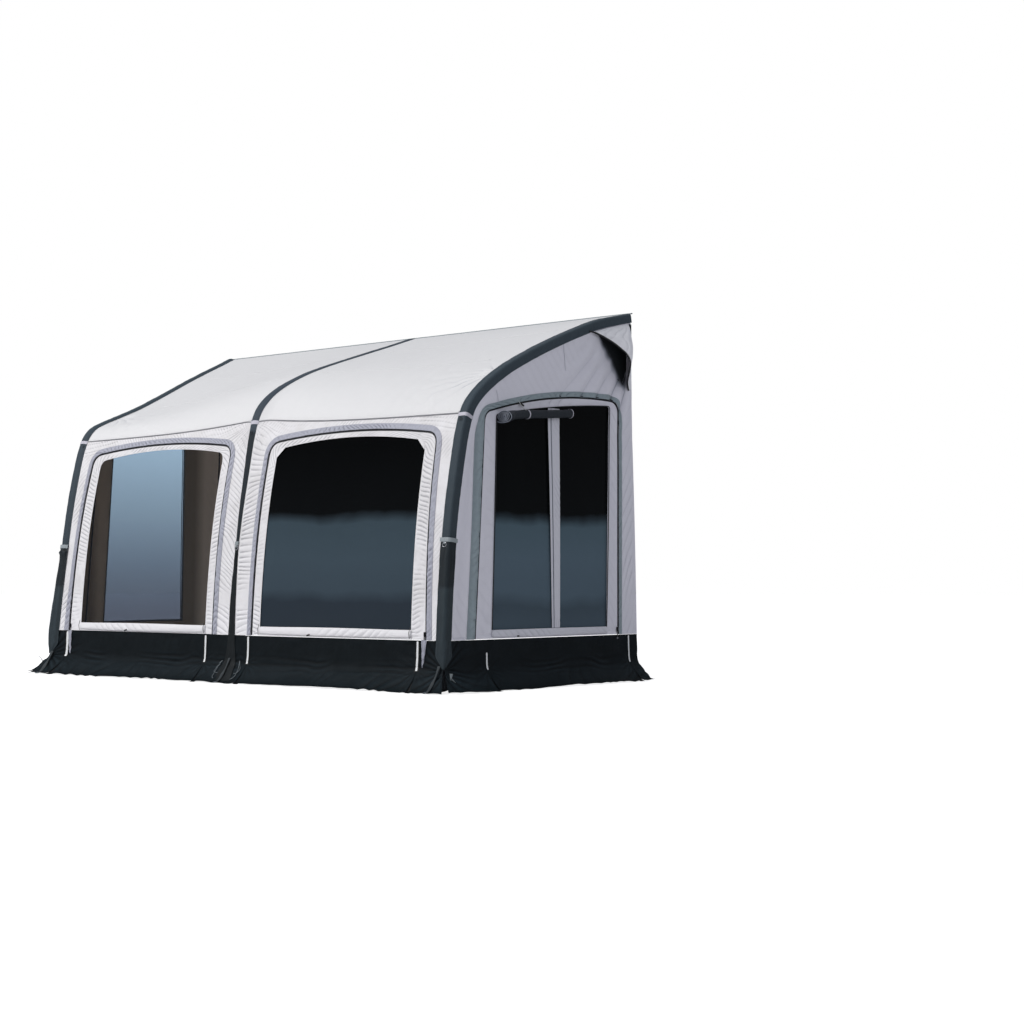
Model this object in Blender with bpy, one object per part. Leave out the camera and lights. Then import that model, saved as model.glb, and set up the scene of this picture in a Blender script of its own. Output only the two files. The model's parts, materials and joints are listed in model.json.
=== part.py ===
# Inflatable porch awning with three air beams, two front bays and two side walls.
# Metres, +Z up.  X runs along the front wall, the front faces -Y, the open rear
# edge (keder side) faces +Y.  Origin: bottom centre of the bounding box.

import bpy
import bmesh
import math
import numpy as np

# ---------------------------------------------------------------- driving sizes
YR = 0.99                 # y of the rear roof edge
H_REAR = 2.50             # height of the rear roof edge
XF = 1.8334               # half width of the front wall, at the corner legs
SPLAY = 0.0886            # side walls spread by this much per metre of depth
Z_SEAM = 0.315            # seam between light fabric and skirt
Z_EAVE = 1.716            # seam between front wall and roof
Z_TAPE = 0.925            # cross tape on the legs
T = 0.004                 # thickness given to fabric walls
R_BEAM = 0.050            # air beam radius
BAND_TOP = 0.055          # side band: part lying on roof or front wall
BAND_SIDE = 0.060         # side band: part lying on the side wall
BAND_HALF = 0.040         # half width of the centre band
ZIP_GAP = 0.010           # gap in the fabric that a zip closes
COVER_W = 0.040           # width of the rain strip beside a zip
FLAP = 0.130              # reach of the ground flap
SLITS = (-1.71, -0.25, 0.16, 1.63)   # slits in the front ground flap
SIDE_SLITS = (-0.46, 0.935)
Y_ORIGIN = -0.0293        # moves the whole object so that its origin is mid depth

# outer line of the fabric over a beam, from rear roof edge to skirt seam:
# (distance in front of the rear edge, height)
PROFILE = ((0.0, H_REAR), (0.50, 2.325), (1.00, 2.140), (1.30, 2.003),
           (1.47, 1.887), (1.575, 1.772), (1.635, 1.630), (1.690, 1.410),
           (1.740, 1.150), (1.775, 0.900), (1.803, 0.600), (1.820, 0.310))

for ob in list(bpy.data.objects):
    bpy.data.objects.remove(ob, do_unlink=True)

COLLECTION = bpy.context.scene.collection


# ------------------------------------------------------------------ curve tools
def spline(points, steps=12):
    """Centripetal curve through points, as a dense polyline."""
    p = [np.array(q, float) for q in points]
    p = [2 * p[0] - p[1]] + p + [2 * p[-1] - p[-2]]
    out = []
    for i in range(1, len(p) - 2):
        t = [0.0]
        for a, b in ((p[i - 1], p[i]), (p[i], p[i + 1]), (p[i + 1], p[i + 2])):
            t.append(t[-1] + math.sqrt(np.linalg.norm(b - a)))
        for k in range(steps):
            u = t[1] + (t[2] - t[1]) * k / steps
            a1 = (t[1] - u) / (t[1] - t[0]) * p[i - 1] + (u - t[0]) / (t[1] - t[0]) * p[i]
            a2 = (t[2] - u) / (t[2] - t[1]) * p[i] + (u - t[1]) / (t[2] - t[1]) * p[i + 1]
            a3 = (t[3] - u) / (t[3] - t[2]) * p[i + 1] + (u - t[2]) / (t[3] - t[2]) * p[i + 2]
            b1 = (t[2] - u) / (t[2] - t[0]) * a1 + (u - t[0]) / (t[2] - t[0]) * a2
            b2 = (t[3] - u) / (t[3] - t[1]) * a2 + (u - t[1]) / (t[3] - t[1]) * a3
            out.append((t[2] - u) / (t[2] - t[1]) * b1 + (u - t[1]) / (t[2] - t[1]) * b2)
    out.append(p[-2])
    return np.array(out)


CURVE = spline([(YR - a, z) for a, z in PROFILE])
ARC = np.concatenate([[0.0], np.cumsum(np.linalg.norm(np.diff(CURVE, axis=0), axis=1))])
S_END = ARC[-1]


def prof(s):
    """Point and outward normal of the profile at arc length s from the rear edge."""
    y = np.interp(s, ARC, CURVE[:, 0])
    z = np.interp(s, ARC, CURVE[:, 1])
    if s < 0:
        t0 = (CURVE[1] - CURVE[0]) / np.linalg.norm(CURVE[1] - CURVE[0])
        y, z = CURVE[0] + t0 * s
    if s > S_END:
        t0 = (CURVE[-1] - CURVE[-2]) / np.linalg.norm(CURVE[-1] - CURVE[-2])
        y, z = CURVE[-1] + t0 * (s - S_END)
    e = 0.02
    c = min(max(s, e), S_END - e)
    a = np.array([np.interp(c - e, ARC, CURVE[:, 0]), np.interp(c - e, ARC, CURVE[:, 1])])
    b = np.array([np.interp(c + e, ARC, CURVE[:, 0]), np.interp(c + e, ARC, CURVE[:, 1])])
    d = (b - a) / np.linalg.norm(b - a)
    n = np.array([d[1], -d[0]])          # outward: forward and up
    return np.array([y, z]), n


def s_at_z(z):
    return float(np.interp(-z, -CURVE[:, 1], ARC))


# arc lengths at which every long piece has an edge, closer together in the bend
STATIONS = [0.0, 0.25, 0.5, 0.75, 1.0, 1.2, 1.32, 1.42, 1.5, 1.57, 1.64, 1.71, 1.78, 1.86,
            1.95, 2.08, 2.25, 2.45, 2.65, 2.9, 3.1]


def stations(s0, s1):
    return [s0] + [s for s in STATIONS if s0 + 0.02 < s < s1 - 0.02] + [s1]


S_EAVE = s_at_z(Z_EAVE)
S_TAPE = s_at_z(Z_TAPE)
S_SEAM = s_at_z(Z_SEAM)


def y_leg(z):
    return float(np.interp(-min(z, 1.65), -CURVE[:, 1], CURVE[:, 0]))


def x_side(y, z):
    return XF + SPLAY * (y - y_leg(z))


SIDE_N = np.array([1.0, -SPLAY]) / math.hypot(1.0, SPLAY)


def on_roof(x, s, d=0.0):
    p, n = prof(s)
    return (x, p[0] + n[0] * d, p[1] + n[1] * d)


def on_front(x, z, d=0.0):
    return on_roof(x, s_at_z(z), d)


def on_side(sign, y, z, d=0.0):
    return (sign * (x_side(y, z) + SIDE_N[0] * d), y + SIDE_N[1] * d, z)


# The three beams are not bent alike: the left one runs straighter over the roof,
# the centre one stands proud at its bend. Offsets along the profile's normal, in
# metres, against the distance in front of the rear edge.
SHIFT_LEFT = ((0, 0), (.11, -.015), (.24, -.026), (.37, -.038), (.53, -.053), (.676, -.071),
              (.863, -.092), (1.047, -.105), (1.193, -.105), (1.338, -.088), (1.44, -.062),
              (1.52, -.030), (1.575, 0), (9, 0))
SHIFT_RIGHT = ((0, 0), (.053, .010), (.299, .038), (.458, .038), (.64, .034), (.842, .025),
               (1.039, .014), (1.206, .005), (1.359, -.004), (1.497, -.004), (1.575, 0), (9, 0))
SHIFT_CENTRE = ((0, 0), (.30, .006), (.635, .018), (.896, .028), (1.109, .038), (1.315, .036),
                (1.415, .030), (1.516, .015), (1.575, 0), (9, 0))
SHIFT_BEND = ((0, 0), (1.20, 0), (1.315, .006), (1.415, .020), (1.516, .042), (1.577, .050),
              (1.60, .036), (1.63, .014), (1.65, 0), (9, 0))
NEAR_S = np.linspace(0, S_END, 500)
NEAR_PN = [prof(k) for k in NEAR_S]
NEAR_P = np.array([k[0] for k in NEAR_PN])
NEAR_N = np.array([k[1] for k in NEAR_PN])


def foot_shift(x, y, z):
    """How far out the cloth round the left leg stands, below the cross tape."""
    if x > -1.70 or z > Z_TAPE or y > -0.63:
        return 0.0
    h = min(1.0, (Z_TAPE - z) / (Z_TAPE - Z_SEAM)) ** 1.25
    g = min(1.0, max(0.0, (-0.63 - y) / 0.10))
    k = 0.038 * min(1.0, (-x - 1.70) / 0.075) + 0.037 * min(1.0, max(0.0, (-x - 1.775) / 0.070))
    return k * h * g * g * (3 - 2 * g)


def beam_shift(x, y, z, whole, foot):
    """Where a point near the roof goes to follow the bends of its beams.

    The foot of the left leg stands further out than the others: foot_shift."""
    if z < 1.30:
        return (x - foot_shift(x, y, z), y, z) if foot else (x, y, z)
    k = int(np.argmin((NEAR_P[:, 0] - y) ** 2 + (NEAR_P[:, 1] - z) ** 2))
    n = NEAR_N[k]
    depth = -((y - NEAR_P[k, 0]) * n[0] + (z - NEAR_P[k, 1]) * n[1])
    a = YR - NEAR_P[k, 0]

    def at(table):
        return float(np.interp(a, [q[0] for q in table], [q[1] for q in table]))

    t = min(1.0, abs(x) / 1.83)
    w = t * t * (3 - 2 * t)
    v = at(SHIFT_CENTRE) * (1 - w) + at(SHIFT_LEFT if x < 0 else SHIFT_RIGHT) * w
    v += at(SHIFT_BEND) * math.exp(-(x / 0.075) ** 2)
    if whole:
        v -= 0.006 * min(1.0, abs(v) / 0.01)
    elif depth > 0.066:
        v *= max(0.0, 1 - (depth - 0.066) / 0.126)
    return x, y + n[0] * v, z + n[1] * v


# ---------------------------------------------------------------- mesh builders
def material(name, colour, rough=0.7, metal=0.0, alpha=1.0):
    m = bpy.data.materials.get(name)
    if m is None:
        m = bpy.data.materials.new(name)
        m.use_nodes = True
        b = m.node_tree.nodes["Principled BSDF"]
        b.inputs["Base Color"].default_value = (*colour, 1.0)
        b.inputs["Roughness"].default_value = rough
        b.inputs["Metallic"].default_value = metal
        b.inputs["Alpha"].default_value = alpha
    return m


def add_object(name, bm, mat, origin=(0.0, 0.0, 0.0), smooth=False):
    bmesh.ops.remove_doubles(bm, verts=bm.verts, dist=1e-6)
    for v in bm.verts:
        v.co = beam_shift(v.co.x, v.co.y, v.co.z, name.startswith("air_beam"),
                          not name.startswith(("air_beam", "side_", "zip_")))
    bmesh.ops.triangulate(bm, faces=bm.faces)
    bmesh.ops.recalc_face_normals(bm, faces=bm.faces)
    if bm.calc_volume(signed=True) < 0:
        bmesh.ops.reverse_faces(bm, faces=bm.faces)
    bmesh.ops.translate(bm, verts=bm.verts, vec=[-c for c in origin])
    origin = (origin[0], origin[1] + Y_ORIGIN, origin[2])
    me = bpy.data.meshes.new(name)
    bm.to_mesh(me)
    bm.free()
    if smooth:
        me.shade_smooth()
        me.set_sharp_from_angle(angle=math.radians(35))
    ob = bpy.data.objects.new(name, me)
    ob.location = origin
    me.materials.append(mat)
    COLLECTION.objects.link(ob)
    return ob


def grid_solid(name, top, bottom, mat, mask=None, wrap=False, origin=(0, 0, 0), smooth=False):
    """Closed solid between two grids of points; mask[i][j] False leaves a cell out."""
    ni, nj = len(top), len(top[0])
    bm = bmesh.new()
    cache = {}

    def v(layer, i, j):
        i = i % ni if wrap else i
        key = (layer, i, j)
        if key not in cache:
            cache[key] = bm.verts.new((top if layer else bottom)[i][j])
        return cache[key]

    ci, cj = (ni if wrap else ni - 1), nj - 1

    def there(i, j):
        if wrap:
            i %= ni
        if not (0 <= i < ci and 0 <= j < cj):
            return False
        return True if mask is None else bool(mask[i][j])

    for i in range(ci):
        for j in range(cj):
            if not there(i, j):
                continue
            bm.faces.new((v(1, i, j), v(1, i + 1, j), v(1, i + 1, j + 1), v(1, i, j + 1)))
            bm.faces.new((v(0, i, j), v(0, i, j + 1), v(0, i + 1, j + 1), v(0, i + 1, j)))
            if not there(i, j - 1):
                bm.faces.new((v(1, i, j), v(0, i, j), v(0, i + 1, j), v(1, i + 1, j)))
            if not there(i, j + 1):
                bm.faces.new((v(1, i + 1, j + 1), v(0, i + 1, j + 1), v(0, i, j + 1), v(1, i, j + 1)))
            if not there(i - 1, j):
                bm.faces.new((v(1, i, j + 1), v(0, i, j + 1), v(0, i, j), v(1, i, j)))
            if not there(i + 1, j):
                bm.faces.new((v(1, i + 1, j), v(0, i + 1, j), v(0, i + 1, j + 1), v(1, i + 1, j + 1)))
    return add_object(name, bm, mat, origin, smooth)


def swept(name, rings, mat, closed=False, origin=(0, 0, 0), smooth=False):
    """Solid through a row of rings with equal point counts, with end caps."""
    bm = bmesh.new()
    rows = [[bm.verts.new(p) for p in ring] for ring in rings]
    n = len(rows[0])
    count = len(rows) if closed else len(rows) - 1
    for i in range(count):
        a, b = rows[i], rows[(i + 1) % len(rows)]
        for k in range(n):
            bm.faces.new((a[k], a[(k + 1) % n], b[(k + 1) % n], b[k]))
    if not closed:
        bm.faces.new(rows[0][::-1])
        bm.faces.new(rows[-1])
    return add_object(name, bm, mat, origin, smooth)


def tube_rings(path, radius, sides, flat=1.0):
    """Rings round a path of 3-D points, kept upright against twisting."""
    path = [np.array(p, float) for p in path]
    rings = []
    ref = np.array([1.0, 0.0, 0.0])
    for i, p in enumerate(path):
        a = path[max(i - 1, 0)]
        b = path[min(i + 1, len(path) - 1)]
        t = (b - a) / np.linalg.norm(b - a)
        u = ref - t * ref.dot(t)
        if np.linalg.norm(u) < 1e-3:
            u = np.array([0.0, 0.0, 1.0]) - t * t[2]
        u /= np.linalg.norm(u)
        w = np.cross(t, u)
        rings.append([tuple(p + radius * (math.cos(q) * u + flat * math.sin(q) * w))
                      for q in (2 * math.pi * k / sides for k in range(sides))])
    return rings


def arch(xa_b, xa_t, xb_b, xb_t, zb, za, zc, bulge, r, bottom=0, nleg=6, ncor=5, narch=9):
    """Outline of an arched panel: up one leg, over the arch, down the other.
    za and zc are the heights where the arch leaves the two corners of radius r.
    bottom > 0 adds that many points along the lower edge and closes the loop."""
    pts = []
    for k in range(nleg):
        u = k / nleg
        pts.append((xa_b + (xa_t - xa_b) * u, zb + (za - r - zb) * u))
    for k in range(ncor):
        q = math.pi / 2 * k / ncor
        pts.append((xa_t + r - r * math.cos(q), za - r + r * math.sin(q)))
    x0, x1 = xa_t + r, xb_t - r
    for k in range(narch + 1):
        u = k / narch
        pts.append((x0 + (x1 - x0) * u, za + (zc - za) * u + bulge * 4 * u * (1 - u)))
    for k in range(1, ncor + 1):
        q = math.pi / 2 * k / ncor
        pts.append((xb_t - r + r * math.sin(q), zc - r + r * math.cos(q)))
    for k in range(1, nleg + 1):
        u = k / nleg
        pts.append((xb_t + (xb_b - xb_t) * u, zc - r + (zb - zc + r) * u))
    for k in range(1, bottom + 1):
        u = k / (bottom + 1)
        pts.append((xb_b + (xa_b - xb_b) * u, zb))
    return pts


def shifted(outline, w):
    """Open outline moved sideways by w (positive is outward), ends kept level."""
    p = [np.array(q, float) for q in outline]
    out = []
    for i, q in enumerate(p):
        a = p[max(i - 1, 0)]
        b = p[min(i + 1, len(p) - 1)]
        t = (b - a) / np.linalg.norm(b - a)
        n = np.array([-t[1], t[0]])
        m = q + n * w
        if i in (0, len(p) - 1):
            m[1] = q[1]
        out.append(tuple(m))
    return out


# -------------------------------------------------------------------- materials
ROOF = material("roof_fabric", (0.78, 0.78, 0.80), 0.55)
WALL = material("wall_fabric", (0.74, 0.73, 0.76), 0.6)
BAND = material("band_fabric", (0.045, 0.065, 0.08), 0.6)
SKIRT = material("skirt_fabric", (0.015, 0.022, 0.027), 0.45)
FILM = material("window_film", (0.10, 0.14, 0.18), 0.08, 0.0, 0.55)
TRIM = material("zip_cover_fabric", (0.38, 0.39, 0.48), 0.6)
ZIP = material("zip_black", (0.008, 0.009, 0.015), 0.4)
METAL = material("ring_steel", (0.5, 0.5, 0.52), 0.3, 1.0)
AIR = material("air_beam_sleeve", (0.10, 0.11, 0.12), 0.7)
MESH = material("vent_mesh", (0.02, 0.025, 0.03), 0.8)
WEB = material("webbing", (0.30, 0.33, 0.34), 0.7)

SIDES = (("left", -1), ("right", 1))

# -------------------------------------------------------------------- air beams
def beam_path(xfun):
    depth = T + 0.003 + R_BEAM
    path = []
    for s in stations(0.03, S_END):
        p, n = prof(s)
        y, z = p - n * depth
        path.append((xfun(y, z), y, z))
    d = np.array(path[-1]) - np.array(path[-2])
    drop = (path[-1][2] - 0.008) / -d[2]
    foot = np.array(path[-1]) + d * drop
    path.append(tuple(foot))
    return path


swept("air_beam_centre", tube_rings(beam_path(lambda y, z: 0.0), R_BEAM, 10), AIR, smooth=True)
for label, sign in SIDES:
    swept("air_beam_" + label,
          tube_rings(beam_path(lambda y, z, k=sign: k * (x_side(y, z) - T - 0.004 - R_BEAM)),
                     R_BEAM, 10), AIR, smooth=True)


# ------------------------------------------------- bands over the beams and legs
def side_band(name, sign, s0, s1, thick, mat):
    """L-shaped strip: one flange on roof or front wall, one on the side wall."""
    rings = []
    for s in stations(s0, s1):
        p, n = prof(s)
        ring = []
        for dx, d in ((-BAND_TOP, thick), (thick, thick), (thick, -BAND_SIDE),
                      (-T, -BAND_SIDE), (-T, -T), (-BAND_TOP, -T)):
            q = p + n * d
            ring.append((sign * (x_side(q[0], q[1]) + dx), q[0], q[1]))
        rings.append(ring)
    swept(name, rings, mat)


def centre_band(name, s0, s1, thick, mat, half=BAND_HALF):
    rings = []
    for s in stations(s0, s1):
        rings.append([on_roof(x, s, d) for x, d in
                      ((-half, thick), (half, thick), (half, -T), (-half, -T))])
    swept(name, rings, mat)


for label, sign in SIDES:
    side_band("beam_band_" + label, sign, 0.002, S_TAPE - 0.0006, 0.001, BAND)
    side_band("leg_cover_" + label, sign, S_TAPE + 0.0006, S_SEAM - 0.003, 0.004, SKIRT)
centre_band("beam_band_centre", 0.002, S_TAPE - 0.0006, 0.001, BAND)
centre_band("leg_cover_centre", S_TAPE + 0.0006, S_SEAM - 0.003, 0.004, SKIRT)

# ------------------------------------------------------------------ roof panels
for label, sign in SIDES:
    top, bottom = [], []
    for s in stations(0.002, S_EAVE - 0.0006):
        p, n = prof(s)
        x1 = x_side(p[0], p[1]) - BAND_TOP - 0.001
        x0 = BAND_HALF + 0.001
        cuts = (x0, 0.16, 0.30, 0.95, x1)
        top.append([on_roof(sign * x, s, 0.0) for x in cuts])
        bottom.append([on_roof(sign * x, s, -T) for x in cuts])
    grid_solid("roof_panel_" + label, top, bottom, ROOF)

# keder: flat hem with a bead along its rear edge, which slides into a rail
rings = []
for x in (-x_side(YR, H_REAR), -0.9, 0.0, 0.9, x_side(YR, H_REAR)):
    ring = []
    for a, d in ((0.0, -0.003), (0.0, -0.001), (-0.020, -0.001), (-0.023, 0.0016),
                 (-0.028, 0.0016), (-0.031, -0.002), (-0.028, -0.0056), (-0.023, -0.0056),
                 (-0.020, -0.003)):
        ring.append(on_roof(x, a, d))
    rings.append(ring)
swept("keder_strip", rings, WEB)

# --------------------------------------------------------- front bays and zips
FRONT_ZIP = dict(xa_b=0.185, xa_t=0.185, xb_b=1.700, xb_t=1.648, zb=Z_SEAM + 0.003,
                 za=1.607, zc=1.603, bulge=0.040, r=0.080)
FRONT_WIN = dict(xa_b=0.262, xa_t=0.262, xb_b=1.572, xb_t=1.556, zb=0.376,
                 za=1.560, zc=1.556, bulge=0.045, r=0.055)


def front_pts(outline, sign, d):
    return [on_front(sign * x, z, d) for x, z in outline]


def strip_rows(outer, inner, place, d_top, d_bottom, cuts=1):
    """Grid rows between two matched outlines."""
    top, bottom = [], []
    for a, b in zip(outer, inner):
        row = [(a[0] + (b[0] - a[0]) * u / cuts, a[1] + (b[1] - a[1]) * u / cuts)
               for u in range(cuts + 1)]
        top.append([place(q[0], q[1], d_top) for q in row])
        bottom.append([place(q[0], q[1], d_bottom) for q in row])
    return top, bottom


def front_place(sign):
    return lambda x, z, d: on_front(sign * x, z, d)


def side_place(sign):
    return lambda y, z, d: on_side(sign, y, z, d)


HALF_GAP = ZIP_GAP / 2
for label, sign in SIDES:
    place = front_place(sign)
    line = arch(**FRONT_ZIP)
    n = len(line)
    # fixed surround: from bands and eave to the zip
    x0 = BAND_HALF + 0.001
    edge = []
    zip_out = shifted(line, HALF_GAP)
    for i, (x, z) in enumerate(line):
        if i < 6:
            q = (x0, zip_out[i][1])
        elif i < 11:
            u = (i - 6) / 5
            q = (x0, line[6][1] + (Z_EAVE - 0.0006 - line[6][1]) * u)
        elif i < 11 + 10:
            u = (i - 11) / 9
            p, nn = prof(S_EAVE)
            q = (x0 + (x_side(p[0], p[1]) - BAND_TOP - 0.001 - x0) * u, Z_EAVE - 0.0006)
        elif i < n - 6:
            u = (i - 20) / 5
            z1 = Z_EAVE - 0.0006 + (line[n - 7][1] - Z_EAVE) * u
            q = (XF - BAND_TOP - 0.001, z1)
        else:
            q = (XF - BAND_TOP - 0.001, zip_out[i][1])
        edge.append(q)
    grid_solid("front_surround_" + label, *strip_rows(edge, zip_out, place, 0.0, -T, 3), WALL)
    # rain strip lying on the surround beside the zip
    grid_solid("zip_cover_front_" + label,
               *strip_rows(shifted(line, HALF_GAP + 0.001 + COVER_W), shifted(line, HALF_GAP + 0.001),
                           place, 0.0055, 0.003), TRIM)
    # zip chain between surround and panel
    grid_solid("zip_chain_front_" + label,
               *strip_rows(shifted(line, 0.0025), shifted(line, -0.0025), place, 0.0015, -0.003), ZIP)
    # opening panel: a ring of fabric round the window, hinged at its lower edge
    axis_y = on_front(0, Z_SEAM + 0.003, 0.001)
    hinge = (sign * 0.94, axis_y[1], axis_y[2])
    outer = shifted(arch(**FRONT_ZIP), -HALF_GAP)
    outer += [(outer[-1][0] + (outer[0][0] - outer[-1][0]) * k / 8, FRONT_ZIP["zb"]) for k in range(1, 8)]
    inner = arch(**FRONT_WIN, bottom=7)
    grid_solid("front_panel_" + label, *strip_rows(outer, inner, place, 0.0, -T), WALL,
               wrap=True, origin=hinge)
    # film behind the ring, one flat sheet slightly larger than the window
    cols = np.linspace(0.0, 1.0, 7)
    big = dict(FRONT_WIN)
    big.update(xa_b=0.247, xa_t=0.247, xb_b=1.587, xb_t=1.571, zb=0.361, za=1.572, zc=1.568)
    lft = arch(**big)
    half = [lft[i] for i in range(0, 11)]
    top, bottom = [], []
    left_edge = lft[:11]
    right_edge = lft[20:][::-1]
    crest = lft[11:20]
    for a, b in zip(left_edge, right_edge):
        zs = (a[1] + b[1]) / 2
        row = [(a[0] + (b[0] - a[0]) * u, a[1] + (b[1] - a[1]) * u) for u in cols]
        top.append([place(q[0], q[1], -T - 0.003) for q in row])
        bottom.append([place(q[0], q[1], -T - 0.005) for q in row])
    a, b = lft[11], lft[20]
    row = []
    for u in cols:
        row.append((a[0] + (b[0] - a[0]) * u, a[1] + (b[1] - a[1]) * u + big["bulge"] * 4 * u * (1 - u)))
    top.append([place(q[0], q[1], -T - 0.003) for q in row])
    bottom.append([place(q[0], q[1], -T - 0.005) for q in row])
    grid_solid("front_window_" + label, top, bottom, FILM, origin=hinge)
    # padded sill strip under the window
    xs = np.linspace(FRONT_WIN["xa_b"] - 0.006, FRONT_WIN["xb_b"] + 0.006, 5)
    rings = [[on_front(sign * x, z, d) for z, d in
              ((0.330, 0.0006), (0.330, 0.008), (0.346, 0.014), (0.362, 0.013), (0.377, 0.006), (0.377, 0.0006))]
             for x in xs]
    swept("front_sill_" + label, rings, WALL, origin=hinge)
    # slider on the outer zip leg, at its lower end
    xs0 = 1.700 - HALF_GAP - 0.0105
    rings = []
    for z in (Z_SEAM + 0.020, Z_SEAM + 0.028, Z_SEAM + 0.046, Z_SEAM + 0.052):
        w = 0.0065 if Z_SEAM + 0.022 < z < Z_SEAM + 0.050 else 0.004
        rings.append([on_front(sign * (xs0 + dx), z, d) for dx, d in
                      ((-w, 0.004), (w, 0.004), (w, 0.010), (-w, 0.010))])
    swept("zip_slider_front_" + label, rings, METAL, origin=on_front(sign * xs0, Z_SEAM + 0.036, 0.004))

# ------------------------------------------------------------ side walls, doors
SIDE_ZIP = dict(xa_b=-0.562, xa_t=-0.458, xb_b=0.828, xb_t=0.862, zb=Z_SEAM + 0.003,
                za=1.745, zc=1.890, bulge=0.046, r=0.075)
SIDE_WIN = dict(xa_b=-0.408, xa_t=-0.346, xb_b=0.705, xb_t=0.764, zb=0.372,
                za=1.722, zc=1.850, bulge=0.018, r=0.020)


SIDE_WIN_LEFT = dict(SIDE_WIN, xa_b=-0.375, xa_t=-0.305, xb_b=0.449, xb_t=0.445, za=1.727, zc=1.813)
VENT = ((0.640, 2.285), (0.780, 2.110), (0.900, 2.020), (0.950, 2.120),
        (0.945, 2.320), (0.800, 2.320))


def plate(name, outline, place, d_top, d_bottom, mat):
    """Flat plate with the given outline, between two depths of a wall."""
    bm = bmesh.new()
    lo = [bm.verts.new(place(a, b, d_bottom)) for a, b in outline]
    hi = [bm.verts.new(place(a, b, d_top)) for a, b in outline]
    n = len(outline)
    for k in range(n):
        bm.faces.new((lo[k], lo[(k + 1) % n], hi[(k + 1) % n], hi[k]))
    bm.faces.new(lo[::-1])
    bm.faces.new(hi)
    return add_object(name, bm, mat)


def under_band(s):
    """Point on the side wall just inside the band's lower edge."""
    p, n = prof(s)
    q = p - n * (BAND_SIDE + 0.009)
    return (q[0], q[1])


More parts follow.
